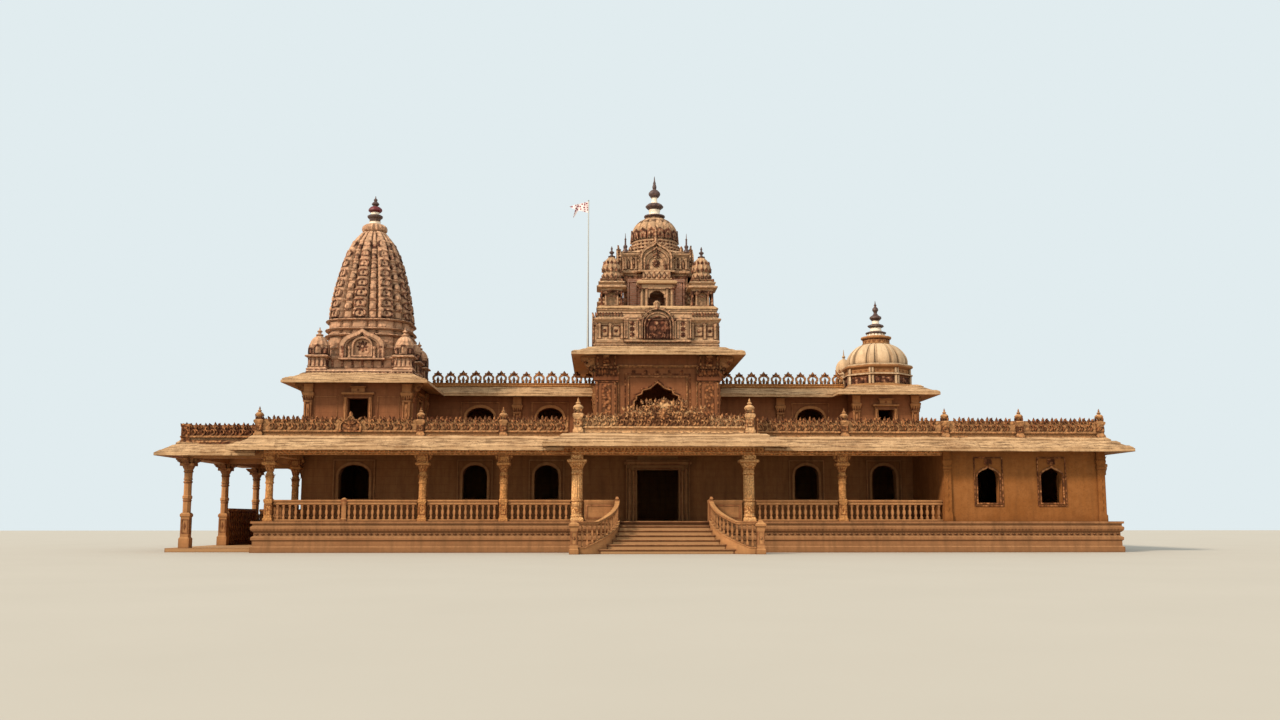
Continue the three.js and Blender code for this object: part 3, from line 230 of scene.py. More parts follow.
def sandstone(name, finish):
    finish = {**commonStone, **finish}
    material, add, place = newMaterial(name)
    at = add("ShaderNodeSeparateXYZ", [place])
    way = add("ShaderNodeSeparateXYZ", [add("ShaderNodeNewGeometry").outputs["Normal"]])
    # Streaks and joints run along X on the front and along Y on the sides, and lie flat on a level top
    weights = [add("ShaderNodeMath", [way.outputs[axis]], operation="ABSOLUTE") for axis in "XY"]
    side = add("ShaderNodeMath", weights, operation="GREATER_THAN")
    level = add("ShaderNodeMath", [way.outputs["Z"], 0.97], operation="GREATER_THAN")
    along = add("ShaderNodeMix", {"Factor": side, "A": at.outputs["X"], "B": at.outputs["Y"]})
    up = add("ShaderNodeMix", {"Factor": level, "A": at.outputs["Z"], "B": at.outputs["Y"]})
    drop = add("ShaderNodeMath", [up, finish["bands"]], operation="MULTIPLY")
    run = add("ShaderNodeCombineXYZ", [along, drop])
    scale = 1.6 if finish["bands"] > 1 else 4.5
    streak = add("ShaderNodeTexNoise", {"Vector": run, "Scale": scale, "Detail": 6.0})
    cloud = add("ShaderNodeTexNoise", {"Vector": place, "Scale": 0.7, "Detail": 5.0})
    blotch = add("ShaderNodeTexNoise", {"Vector": place, "Scale": 5.0, "Detail": 4.0})
    both = add("ShaderNodeMath", [blotch, 0.8, cloud], operation="MULTIPLY_ADD")
    speck = add("ShaderNodeTexNoise", {"Vector": place, "Scale": 16.0, "Detail": 3.0, "Roughness": 0.7})
    # Occlusion outside the stone: painted shade in hollows and recesses
    hollowShade = add("ShaderNodeAmbientOcclusion", {"Distance": finish["hollowShadeReach"]}, samples=4)
    # Occlusion inside the stone: pale arrises, partly wear and partly painted highlight
    arrisWearAndHighlight = add("ShaderNodeAmbientOcclusion", {"Distance": finish["arrisWearAndHighlight"]}, samples=4, inside=True)
    fineness = 1000 / finish["grain"]
    height = add("ShaderNodeTexNoise", {"Vector": place, "Scale": fineness, "Detail": 4.0, "Roughness": 0.65})
    # Each layer is a colour, what it lies by, the range in which it comes up, and how much of it there is
    layers = [
        ("pale", both, 0.7, 1.1, 1.0),  # broad patches
        ("dustAndHighlight", way.outputs["Z"], 0.4, 0.9, finish["ledgeDustAndHighlight"]),  # ledges paler: dust and a painted highlight on their tops
        ("undersideShade", way.outputs["Z"], -0.35, -0.75, 1.0),  # undersides darker: painted shade
        ("stainAndShade", streak, 0.46, 0.7, finish["streak"]),  # rain, in streaks a hand wide
        ("stainAndShade", speck, 0.52, 0.72, finish["speck"]),  # lichen and soot
    ]
    if finish["carving"]:
        # Cut leafwork: bent cells as wide as a carved leaf, with painted shade between the leaves and a
        # painted highlight on their tops
        wide = finish["carving"] / 1000
        warp = add("ShaderNodeTexNoise", {"Vector": place, "Scale": 0.7 / wide, "Detail": 2.0})
        warped = [warp.outputs["Color"], [wide] * 3, place]
        bent = add("ShaderNodeVectorMath", warped, operation="MULTIPLY_ADD")
        cells = {"Vector": bent, "Scale": 1 / wide, "Smoothness": 0.4}
        leaf = add("ShaderNodeTexVoronoi", cells, feature="SMOOTH_F1")
        gap = add("ShaderNodeMapRange", {"Value": leaf, "From Min": 0.3, "From Max": 0.65})
        layers.append(("dustAndHighlight", leaf, 0.26, 0.06, finish["crown"]))  # painted highlight on the tops of the leaves
        # Painted shade in the cuts between the leaves
        layers.append(("stainAndShade", gap, 0.0, 1.0, 0.85))
        height = add("ShaderNodeMath", [gap, -finish["cutDepth"] / 6, height], operation="MULTIPLY_ADD")
    if finish["joint"]:
        flat = add("ShaderNodeCombineXYZ", [along, up])
        wide, high = finish["joint"]
        sizes = {"Scale": 1.0, "Brick Width": wide / 1000, "Row Height": high / 1000}
        mortar = {"Mortar Size": 0.008, "Mortar Smooth": 0.3}
        blocks = add("ShaderNodeTexBrick", {"Vector": flat, **sizes, **mortar})
        layers.append(("stainAndShade", blocks.outputs["Fac"], 0.0, 1.0, 0.45))
    # Painted shade darkens every hollow where little light reaches, over some grime, and arrises are paler
    # with wear and a painted highlight
    layers.append(("stainAndShade", hollowShade.outputs["AO"], 0.9, 0.42, finish["hollowShade"]))
    layers.append(("dustAndHighlight", arrisWearAndHighlight.outputs["AO"], 0.35, 0.9, finish["wear"]))
    colour = linear(finish["base"])
    for key, value, low, high, amount in layers:
        share = {"Value": value, "From Min": low, "From Max": high, "To Max": amount}
        mixed = {"Factor": add("ShaderNodeMapRange", share), "A": colour, "B": linear(finish[key])}
        colour = add("ShaderNodeMix", mixed, data_type="RGBA").outputs["Result"]
    bump = add("ShaderNodeBump", {"Height": height, "Distance": 0.006})
    rough = {"Roughness": 0.92, "Specular IOR Level": 0.2}
    return closeMaterial(material, {"Base Color": colour, "Normal": bump, **rough})


# Oil paint brushed on stone: a hard coat with a low gloss, chipped in places
def paintedStone(name, coat, bare):
    material, add, place = newMaterial(name)
    wear = add("ShaderNodeTexNoise", {"Vector": place, "Scale": 14.0, "Detail": 5.0})
    chip = add("ShaderNodeMapRange", {"Value": wear, "From Min": 0.52, "From Max": 0.66})
    colour = add("ShaderNodeMix", {"Factor": chip, "A": linear(coat), "B": linear(bare)}, data_type="RGBA")
    bump = add("ShaderNodeBump", {"Height": wear, "Distance": 0.004})
    coated = {"Base Color": colour.outputs["Result"], "Normal": bump, "Roughness": 0.55}
    return closeMaterial(material, coated)


# Small red bricks laid in lime, 240 by 75 mm with 10 mm joints: a fine regular net of paler lines
def brickwork():
    material, add, place = newMaterial("limeBrickwork")
    at = add("ShaderNodeSeparateXYZ", [place])
    along = add("ShaderNodeMath", [at.outputs["X"], at.outputs["Y"]], operation="ADD")
    flat = add("ShaderNodeCombineXYZ", [along, at.outputs["Z"]])
    colours = {"Color1": linear("#d49678"), "Color2": linear("#b87b5f"), "Mortar": linear("#cfae92")}
    sizes = {"Scale": 1.0, "Mortar Size": 0.009, "Brick Width": 0.25, "Row Height": 0.085}
    brick = add("ShaderNodeTexBrick", {"Vector": flat, **colours, **sizes})
    bump = add("ShaderNodeBump", {"Height": brick.outputs["Fac"], "Distance": 0.008}, invert=True)
    return closeMaterial(material, {"Base Color": brick, "Normal": bump, "Roughness": 0.9})


# Galvanised steel tube, dulled by weather: a flat grey with faint zinc spangle 30 mm across
def galvanisedSteel():
    material, add, place = newMaterial("galvanisedSteel")
    spangle = add("ShaderNodeTexVoronoi", {"Vector": place, "Scale": 1000 / 30})
    rough = add("ShaderNodeMapRange", {"Value": spangle, "To Min": 0.4, "To Max": 0.6})
    return closeMaterial(material, {"Roughness": rough, "Base Color": linear("#a9a8a2"), "Metallic": 0.7})


# Thin plain-woven cotton with a faded print of small flowers 90 mm apart: matt, with a soft edge light
def printedCotton():
    material, add, place = newMaterial("printedCotton")
    flower = add("ShaderNodeTexVoronoi", {"Vector": place, "Scale": 1000 / 90})
    mark = add("ShaderNodeMapRange", {"Value": flower, "From Min": 0.4, "From Max": 0.5})
    printed = {"Factor": mark, "A": linear("#8a3f4c"), "B": linear("#ecd9d4")}
    colour = add("ShaderNodeMix", printed, data_type="RGBA").outputs["Result"]
    weave = add("ShaderNodeTexNoise", {"Vector": place, "Scale": 300.0})
    bump = add("ShaderNodeBump", {"Height": weave, "Distance": 0.001})
    soft = {"Roughness": 0.85, "Sheen Weight": 0.2}
    return closeMaterial(material, {"Base Color": colour, "Normal": bump, **soft})


# Smooth matt card for the staged floor
def floorCard():
    material, add, place = newMaterial("floorCard")
    faint = add("ShaderNodeTexNoise", {"Vector": place, "Scale": 0.3, "Detail": 3.0})
    first, second = light["floorColours"]
    mixed = {"Factor": faint, "A": linear(first), "B": linear(second)}
    colour = add("ShaderNodeMix", mixed, data_type="RGBA")
    return closeMaterial(material, {"Base Color": colour.outputs["Result"], "Roughness": 0.9})


finishes = {name: sandstone(name, finish) for name, finish in stoneFinishes.items()}
finishes["redFinialPaint"] = paintedStone("redFinialPaint", "#66141a", "#43231c")
finishes["darkFinialStone"] = paintedStone("darkFinialStone", "#46302a", "#70503f")
finishes["limeWashedStone"] = paintedStone("limeWashedStone", "#ecdcc4", "#c4a07c")
finishes["limeBrickwork"] = brickwork()
finishes["galvanisedSteel"] = galvanisedSteel()
finishes["printedCotton"] = printedCotton()


def makeFloor():
    half = light["floorSize"] / 2
    mesh = bpy.data.meshes.new("stageFloor")
    corners = [(-half, -half, 0), (half, -half, 0), (half, half, 0), (-half, half, 0)]
    mesh.from_pydata(corners, [], [(0, 1, 2, 3)])
    mesh.materials.append(floorCard())
    floor = addObject("stageFloor", mesh)


makeFloor()
print("materials and floor")


def moved(x, y, z=0.0):
    return Matrix.Translation((x, y, z))


def spun(angle, axis="Z"):
    return Matrix.Rotation(angle, 4, axis)


mirrored = Matrix.Scale(-1, 4, (1, 0, 0))


def oblong(x0, x1, z0, z1):
    return [(x0, z0), (x1, z0), (x1, z1), (x0, z1)]


# A shape is a list of corners and faces that grows as parts are added, and is made one mesh at the end
class Shape:
    def __init__(self):
        self.verts = []
        self.faces = []
        self.slots = []

    def add(self, verts, faces, slot=0):
        start = len(self.verts)
        self.verts += [tuple(v) for v in verts]
        self.faces += [[start + i for i in face] for face in faces]
        self.slots += [slot] * len(faces)

    def merge(self, other, matrix=Matrix(), slot=None):
        self.add([matrix @ Vector(v) for v in other.verts], other.faces, slot)
        if slot is None:
            self.slots[-len(other.faces) :] = other.slots

    # Another shape scaled, leaned sideways and set in its place
    def put(self, other, x=0, y=0, z=0, lean=0, size=1, slot=None):
        self.merge(other, moved(x, y, z) @ spun(lean, "Y") @ Matrix.Scale(size, 4), slot)

    # The same part all round a centre
    def around(self, other, x=0, y=0, count=4):
        for i in range(count):
            self.merge(other, moved(x, y) @ spun(2 * math.pi * i / count))

    # Rings of corners, bottom to top, joined and closed at both ends
    def rings(self, rings, slot=0):
        count = len(rings[0])
        faces = [tuple(reversed(range(count)))]
        for level in range(len(rings) - 1):
            a = level * count
            b = a + count
            faces += [(a + i, a + (i + 1) % count, b + (i + 1) % count, b + i) for i in range(count)]
        last = (len(rings) - 1) * count
        faces.append(tuple(range(last, last + count)))
        self.add([corner for ring in rings for corner in ring], faces, slot)

    # An oblong mass with a moulded face: pairs of reach and height
    def moulded(self, x0, x1, y0, y1, profile, slot=0):
        corners = ((x0, y0, -1, -1), (x1, y0, 1, -1), (x1, y1, 1, 1), (x0, y1, -1, 1))
        self.rings([[(x + sx * r, y + sy * r, z) for x, y, sx, sy in corners] for r, z in profile], slot)

    def block(self, x0, x1, y0, y1, z0, z1, slot=0):
        self.moulded(x0, x1, y0, y1, ((0, z0), (0, z1)), slot)

    # A square post: pairs of half width and height
    def post(self, profile, x=0, y=0, slot=0):
        self.moulded(x, x, y, y, profile, slot)

    # A turned piece: pairs of radius and height, fluted if asked
    def turned(self, profile, sides=16, flutes=0, depth=0.0, turn=0.0, x=0, y=0, slot=0):
        around = [turn + 2 * math.pi * i / sides for i in range(sides)]
        swell = [1 - depth * (0.5 - 0.5 * math.cos(a * flutes)) if flutes else 1 for a in around]
        plan = [(s * math.cos(a), s * math.sin(a)) for a, s in zip(around, swell)]
        self.rings([[(x + r * px, y + r * py, z) for px, py in plan] for r, z in profile], slot)

    # A stack of turned parts: slot, sides, flutes and their depth, then pairs of radius and height
    def stack(self, parts, x=0, y=0):
        for slot, sides, flutes, depth, *profile in parts:
            self.turned(profile, sides, flutes, depth, x=x, y=y, slot=slot)

    # An outline in X and Z as a plate from y0 at the front to y1
    def plate(self, outline, y0, y1):
        self.rings([[(x, y, z) for x, z in outline] for y in (y0, y1)])

    # The band between an inner and an outer outline, both with the same number of points
    def frame(self, inner, outer, y0, y1, slot=0):
        count = len(inner)
        corners = [(x, y, z) for y in (y0, y1) for outline in (inner, outer) for x, z in outline]
        faces = []
        for i in range(count):
            j = (i + 1) % count
            for a, b in ((0, 1), (3, 2), (1, 3), (2, 0)):
                faces.append((i + a * count, j + a * count, j + b * count, i + b * count))
        self.add(corners, faces, slot)

    # A raised border round a rectangle
    def border(self, x0, x1, z0, z1, wide, y0, y1, slot=0):
        self.frame(oblong(x0, x1, z0, z1), oblong(x0 - wide, x1 + wide, z0 - wide, z1 + wide), y0, y1, slot)

    # A strip of stone along points in X and Z, from y0 to y1, thinner towards its end if asked
    def strip(self, points, width, y0, y1, taper=1.0):
        last = len(points) - 1
        rings = []
        for i, (x, z) in enumerate(points):
            ax, az = points[max(0, i - 1)]
            bx, bz = points[min(last, i + 1)]
            length = math.hypot(bx - ax, bz - az) or 1
            half = width / 2 * (1 + (taper - 1) * i / last)
            nx, nz = -(bz - az) / length * half, (bx - ax) / length * half
            (a, b), (c, d) = (x + nx, z + nz), (x - nx, z - nz)
            rings.append([(a, y0, b), (c, y0, d), (c, y1, d), (a, y1, b)])
        self.rings(rings)

    # A section swept along a path in plan: pairs of reach to the right of the path and height. wave shifts it
    # in both at each point of the path.
    def sweep(self, path, section, wave):
        rings = []
        for i, (x, y) in enumerate(path):
            sides = []
            for a, b in ((i - 1, i), (i, i + 1)):
                if a >= 0 and b < len(path):
                    (ax, ay), (bx, by) = path[a], path[b]
                    length = math.hypot(bx - ax, by - ay)
                    sides.append(((by - ay) / length, -(bx - ax) / length))
            (ux, uy), (vx, vy) = sides[0], sides[-1]
            share = 1 + ux * vx + uy * vy
            mx, my = (ux + vx) / share, (uy + vy) / share
            out, lift = wave[i]
            rings.append([(x + mx * (reach + out), y + my * (reach + out), z + lift) for reach, z in section])
        self.rings(rings)


def soften(mesh, angle):
    mesh.polygons.foreach_set("use_smooth", [True] * len(mesh.polygons))
    mesh.set_sharp_from_angle(angle=math.radians(angle))


# Makes a shape's mesh, with outward faces and its round parts smooth
def meshOf(shape, name, finishNames=(), smooth=35):
    mesh = bpy.data.meshes.new(name)
    mesh.from_pydata(shape.verts, [], shape.faces)
    for finishName in finishNames:
        mesh.materials.append(finishes[finishName])
    mesh.polygons.foreach_set("material_index", shape.slots)
    work = bmesh.new()
    work.from_mesh(mesh)
    bmesh.ops.recalc_face_normals(work, faces=work.faces)
    work.to_mesh(mesh)
    work.free()
    soften(mesh, smooth)
    return mesh


def addPiece(name, mesh, slot="carved_sandstone", replaced=()):
    piece = addObject(name, mesh)
    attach(piece, "root")
    if replaced:
        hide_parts(*replaced)
    return piece


def finishShape(shape, name, *finishNames, slot="carved_sandstone", replaced=()):
    addPiece(name, meshOf(shape, name, finishNames), slot, replaced)


# Geometry Nodes: a tree opens with its named inputs, and ends by making its copies real and giving them stone
def newTree(name, inputs):
    tree = bpy.data.node_groups.new(name, "GeometryNodeTree")
    tree.interface.new_socket("Geometry", in_out="INPUT", socket_type="NodeSocketGeometry")
    for label, kind in inputs:
        tree.interface.new_socket(label, in_out="INPUT", socket_type="NodeSocket" + kind)
    tree.interface.new_socket("Geometry", in_out="OUTPUT", socket_type="NodeSocketGeometry")
    return tree, partial(addNode, tree), addNode(tree, "NodeGroupInput").outputs


def closeTree(add, geometry, material):
    real = add("GeometryNodeRealizeInstances", {"Geometry": geometry})
    dressed = add("GeometryNodeSetMaterial", {"Geometry": real, "Material": material})
    add("NodeGroupOutput", {"Geometry": dressed})


# Sets a motif on every point of a mesh, by that point's own turn and size, each a little worn
def spotsTree():
    inputs = (("Motif", "Object"), ("Wear", "Float"), ("Seed", "Int"), ("Material", "Material"))
    tree, add, given = newTree("motifOnSpots", inputs)
    motif = add("GeometryNodeObjectInfo", {"Object": given["Motif"]})
    turn = add("GeometryNodeInputNamedAttribute", {"Name": "turn"}, data_type="FLOAT_VECTOR")
    size = add("GeometryNodeInputNamedAttribute", {"Name": "size"}, data_type="FLOAT_VECTOR")
    least = add("ShaderNodeMath", [1.0, given["Wear"]], operation="SUBTRACT")
    wear = {"Min": least, "Max": 1.0, "Seed": given["Seed"]}
    worn = add("FunctionNodeRandomValue", wear, data_type="FLOAT")
    scaled = add("ShaderNodeVectorMath", {0: size, "Scale": worn.outputs["Value"]}, operation="SCALE")
    placed = {
        "Points": given["Geometry"], "Instance": motif.outputs["Geometry"], "Rotation": turn, "Scale": scaled,
    }
    closeTree(add, add("GeometryNodeInstanceOnPoints", placed), given["Material"])
    return tree


# A ribbed body of revolution: the outline gives its half width up its height, ribShape the relief across a
# rib and courseShape the relief up a course, each as points from 0 to 1
def ribbedTree(name, outline, ribShape, courseShape):
    inputs = (
        ("Centre", "Vector"), ("Height", "Float"), ("Reach", "Float"), ("Ribs", "Int"), ("Courses", "Int"),
        ("Steps In Rib", "Int"), ("Steps In Course", "Int"), ("Squareness", "Float"), ("Rib Depth", "Float"),
        ("Course Depth", "Float"), ("Material", "Material"),
    )
    tree, add, given = newTree(name, inputs)
    around = add("ShaderNodeMath", [given["Ribs"], given["Steps In Rib"]], operation="MULTIPLY")
    up = add("ShaderNodeMath", [given["Courses"], given["Steps In Course"]], operation="MULTIPLY")
    sizes = {"Vertices": around, "Side Segments": up, "Radius": 1.0, "Depth": 1.0}
    drum = add("GeometryNodeMeshCylinder", sizes, fill_type="NGON")
    at = add("ShaderNodeSeparateXYZ", [add("GeometryNodeInputPosition")])
    rise = add("ShaderNodeMath", [at.outputs["Z"], 0.5], operation="ADD")
    angle = add("ShaderNodeMath", [at.outputs["Y"], at.outputs["X"]], operation="ARCTAN2")
    turns = add("ShaderNodeMath", [angle, given["Ribs"]], operation="MULTIPLY")
    ribAt = add("ShaderNodeMath", [turns, 2 * math.pi], operation="DIVIDE")
    ribPart = add("ShaderNodeMath", [ribAt], operation="FRACT")
    courseAt = add("ShaderNodeMath", [rise, given["Courses"]], operation="MULTIPLY")
    coursePart = add("ShaderNodeMath", [courseAt], operation="FRACT")
    relief = []
    for points, along in ((outline, rise), (ribShape, ribPart), (courseShape, coursePart)):
        curve = add("ShaderNodeFloatCurve", {"Value": along})
        line = curve.mapping.curves[0]
        while len(line.points) < len(points):
            line.points.new(0.5, 0.5)
        for point, (x, y) in zip(line.points, points):
            point.location = (x, y)
            point.handle_type = "AUTO" if points is outline else "VECTOR"
        curve.mapping.update()
        relief.append(curve)
    # Squareness 2 is round and 5 nearly square with rounded corners
    sums = []
    for axis in "XY":
        size = add("ShaderNodeMath", [at.outputs[axis]], operation="ABSOLUTE")
        sums.append(add("ShaderNodeMath", [size, given["Squareness"]], operation="POWER"))
    total = add("ShaderNodeMath", sums, operation="ADD")
    root = add("ShaderNodeMath", [-1.0, given["Squareness"]], operation="DIVIDE")
    square = add("ShaderNodeMath", [total, root], operation="POWER")
    width = add("ShaderNodeMath", [relief[0], given["Reach"]], operation="MULTIPLY")
    plan = add("ShaderNodeMath", [width, square], operation="MULTIPLY")
    groove = add("ShaderNodeMath", [relief[1], 1.0], operation="SUBTRACT")
    ribbed = add("ShaderNodeMath", [groove, given["Rib Depth"], 1.0], operation="MULTIPLY_ADD")
    coursed = add("ShaderNodeMath", [relief[2], given["Course Depth"], ribbed], operation="MULTIPLY_ADD")
    reach = add("ShaderNodeMath", [plan, coursed], operation="MULTIPLY")
    grown = ((at.outputs["X"], reach), (at.outputs["Y"], reach), (rise, given["Height"]))
    axes = [add("ShaderNodeMath", pair, operation="MULTIPLY") for pair in grown]
    shaped = add("ShaderNodeCombineXYZ", axes)
    place = add("ShaderNodeVectorMath", [shaped, given["Centre"]], operation="ADD")
    closeTree(add, add("GeometryNodeSetPosition", {"Geometry": drum, "Position": place}), given["Material"])
    return tree


# Runs a tree on a mesh of points or on nothing, and returns the plain mesh that it makes
def grow(name, tree, values, host=None):
    holder = addObject(name, host or bpy.data.meshes.new(name + "Host"))
    modifier = holder.modifiers.new("Grow", "NODES")
    modifier.node_group = tree
    for item in tree.interface.items_tree:
        if item.in_out == "INPUT" and item.name in values:
            modifier[item.identifier] = values[item.name]
    graph = bpy.context.evaluated_depsgraph_get()
    grown = bpy.data.meshes.new_from_object(holder.evaluated_get(graph), depsgraph=graph)
    holder.modifiers.remove(modifier)
    bpy.data.objects.remove(holder)
    grown.name = name
    soften(grown, 40)
    return grown


onSpots = spotsTree()


# Makes one piece of a shape copied to many spots, each a place with a turn and a size
def scatterPiece(name, shape, spots, finishName, wear=0.0, seed=7):
    motif = addObject(name + "Motif", meshOf(shape, name + "Motif", [finishName]))
    host = bpy.data.meshes.new(name + "Spots")
    host.from_pydata([spot[0] for spot in spots], [], [])
    for label, values in (("turn", [spot[1] for spot in spots]), ("size", [spot[2] for spot in spots])):
        layer = host.attributes.new(label, "FLOAT_VECTOR", "POINT")
        layer.data.foreach_set("vector", [part for value in values for part in value])
    values = {"Motif": motif, "Wear": wear, "Seed": seed, "Material": finishes[finishName]}
    mesh = grow(name, onSpots, values, host)
    bpy.data.objects.remove(motif)
    addPiece(name, mesh)


# A dome with ribs: pairs of height and radius, the relief across a rib, and how many ribs of how many steps
def ribbedDome(name, treeName, finishName, replaced, x, y, outline, ribShape, ribs, steps, depth):
    foot = outline[0][0]
    rise = outline[-1][0] - foot
    widest = max(r for z, r in outline)
    shares = [((z - foot) / rise, r / widest) for z, r in outline]
    tree = ribbedTree(treeName, shares, ribShape, ((0, 0), (1, 0)))
    values = {
        "Centre": (x, y, foot), "Height": rise, "Reach": widest, "Ribs": ribs, "Courses": 1,
        "Steps In Rib": steps, "Steps In Course": 18, "Squareness": 2.0, "Rib Depth": depth,
        "Course Depth": 0.0, "Material": finishes[finishName],
    }
    addPiece(name, grow(name, tree, values), "dome_plaster", (replaced,))


def spot(x, y, z, turn=0.0, size=(1, 1, 1), tilt=0.0):
    return (x, y, z), (tilt, 0, turn), size


# Spots along a straight line, with the turn given in quarters of a circle
def rowSpots(x0, y0, x1, y1, z, pitch, quarter=0, size=(1, 1, 1)):
    count = max(1, round(math.hypot(x1 - x0, y1 - y0) / pitch))
    shares = [(i + 0.5) / count for i in range(count)]
    return [spot(x0 + (x1 - x0) * s, y0 + (y1 - y0) * s, z, quarter * rightAngle, size) for s in shares]


# Spots along the four edges of an oblong, with each end drawn in
def edgeSpots(x0, x1, y0, y1, z, pitch, drawn=0.0):
    a, b, c, d = x0 + drawn, x1 - drawn, y0 + drawn, y1 - drawn
    edges = ((a, y0, b, y0), (x1, c, x1, d), (b, y1, a, y1), (x0, d, x0, c))
    return [place for quarter, edge in enumerate(edges) for place in rowSpots(*edge, z, pitch, quarter)]


def ringSpots(x, y, z, radius, count, size=(1, 1, 1), phase=0.0, tilt=0.0):
    angles = [phase + 2 * math.pi * i / count for i in range(count)]
    places = [(x + radius * math.cos(a), y + radius * math.sin(a), z) for a in angles]
    return [spot(*place, a + rightAngle, size, tilt) for place, a in zip(places, angles)]


# Outlines in X and Z
def archOutline(x, half, sill, spring, crown, steps=10):
    angles = [math.pi * i / steps for i in range(steps + 1)]
    head = [(x + half * math.cos(a), spring + (crown - spring) * math.sin(a)) for a in angles]
    return [(x - half, sill), (x + half, sill)] + head


# An ogee head: a round horseshoe that turns up to a point at its top
def ogeeOutline(x, half, foot, shoulder, peak, steps=10):
    points = [(x - half, foot), (x + half, foot)]
    sweep = math.radians(70)
    for i in range(steps + 1):
        t = i / steps
        angle = min(1, t / 0.7) * sweep
        reach = half * math.cos(angle) * (1 + 0.1 * math.sin(2 * angle))
        height = 0.76 * math.sin(angle) / math.sin(sweep)
        if t > 0.7:
            tip = (t - 0.7) / 0.3
            reach *= max(0, 1 - tip) ** 1.6
            height = 0.76 + 0.24 * tip
        points.append((x + reach, shoulder + (peak - shoulder) * height))
    return points + [(2 * x - px, pz) for px, pz in reversed(points[2:-1])]


# A whole outline from its right half, foot to peak
def mirroredOutline(right):
    (x, z), *rest = right
    return [(-x, z), (x, z)] + rest + [(-a, b) for a, b in reversed(rest[:-1])]


def shrunk(outline, middle, wide, high):
    return [(x * wide, middle + (z - middle) * high) for x, z in outline]


# A spiral scroll of stone in X and Z
def spiral(x, z, start, end, angle0, angle1, steps=12):
    points = []
    for i in range(steps + 1):
        angle = angle0 + (angle1 - angle0) * i / steps
        radius = start + (end - start) * i / steps
        points.append((x + radius * math.cos(angle), z + radius * math.sin(angle)))
    return points


# A leaf that stands up from the origin, facing -Y, and curls forward at its tip
def leafShape(width, height, depth, curl, steps=5):
    rings = []
    for i in range(steps + 1):
        t = i / steps
        half = width / 2 * (math.sin(math.pi * min(1.0, 0.22 + 0.78 * t)) * 0.95 + 0.05)
        out, thick, z = -curl * t * t, depth * (1 - 0.6 * t), height * t
        edge = out + thick * 0.4
        rings.append([(-half, edge, z), (0, out - thick, z), (half, edge, z), (0, out + thick, z)])
    shape = Shape()
    shape.rings(rings)
    return shape


# Leaves that lean outwards up both slopes of a gable, at pairs of X and Z
def gableLeaves(shape, leaf, y, lean, places):
    for way in (-1, 1):
        for x, z in places:
            shape.put(leafShape(*leaf), way * x, y, z, way * lean)


# A cut lozenge that stands on its point, facing -Y
def lozengeShape(half, height, depth):
    middle = height / 2
    corners = [(-half, 0, middle), (0, 0, 0), (half, 0, middle), (0, 0, height), (0, -depth, middle)]
    shape = Shape()
    shape.add(corners, [(0, 1, 4), (1, 2, 4), (2, 3, 4), (3, 0, 4), (3, 2, 1, 0)])
    return shape


# Rosette of petals on a disc, facing -Y, for panels and niches
def rosetteShape(radius, petals=8):
    shape = Shape()
    for i in range(petals):
        turn = spun(2 * math.pi * i / petals, "Y") @ moved(0, 0, radius * 0.22)
        shape.merge(leafShape(radius * 0.5, radius * 0.75, radius * 0.1, 0, 3), turn)
    bud = Shape()
    bud.turned(((radius * 0.3, 0), (radius * 0.26, radius * 0.14), (radius * 0.1, radius * 0.22)), 8)
    shape.merge(bud, spun(rightAngle, "X"))
    return shape


# Vine crest 0.42 m wide: a low and a high scroll with leaves that spring between them
def scrollShape(steps=5):
    shape = Shape()
    for x, z, radius, way in ((-0.1, 0.14, 0.13, 1), (0.1, 0.27, 0.12, -1)):
        vine = spiral(x, z, radius, 0.03, -rightAngle, -rightAngle + way * 5.6, steps)
        shape.strip(vine, 0.055, -0.05, 0.03, 0.7)
    leaves = (
        (-0.12, 0.28, 0.2, -0.5), (0.02, 0.3, 0.2, 0.0), (0.13, 0.34, 0.15, 0.6), (0.07, 0.0, 0.17, 0.5),
    )
    for x, z, high, lean in leaves:
        shape.put(leafShape(0.13, high, 0.04, 0.03, 2), x, -0.01, z, lean)
    return shape


# An S-curved bracket that carries an eave, built in X and Z with its wall at x 0
def bracketShape(reach, drop, wide):
    shape = Shape()
    curve = (
        (0, 1), (0.16, 1), (0.2, 0.8), (0.42, 0.66), (0.45, 0.5), (0.72, 0.38), (0.75, 0.22), (1, 0.16),
        (1, 0), (0, 0),
    )
    shape.plate([(reach * x, -drop * z) for x, z in curve], -wide / 2, wide / 2)
    half = wide / 2 + 0.02
    for x, z, radius, thick in ((0.3, 0.5, 0.2, 0.04), (0.68, 0.22, 0.15, 0.035)):
        scroll = spiral(reach * x, -drop * z, reach * radius, 0.02, math.pi, math.pi * 3.2, 10)
        shape.strip(scroll, thick, -half, half)
    return shape


print("tools for shapes")

# Solids that keep their shape and only get their finish
nodeFinishes = {
    "mouldedSandstone": ("door_lintel", "door_frame", "pavilion_frame"),
    "plinthStone": ("plinth",),
    "terraceStone": ("terrace_slab",),
    "stepStone": ("stair_flight", "pavilion_platform"),
    "verandahWall": ("hall_front_wall_left", "hall_front_wall_right", "hall_back_wall", "hall_left_wall"),
    "beamSandstonePaintedBounce": ("front_beam",),
    "wingRender": ("hall_right_wall", "wing_walls"),
    "upperWall": ("left_block_walls", "dome_block_walls", "centre_block_walls", "gallery_walls"),
    "eaveSlab": (
        "eave_front_left", "eave_right_and_back", "porch_roof", "pavilion_roof", "upper_roof", "centre_roof",
    ),
    "galvanisedSteel": ("flagpole",),
}
for finishName, nodeNames in nodeFinishes.items():
    for nodeName in nodeNames:
        for holder in nodes[nodeName].material_slots:
            holder.material = finishes[finishName]

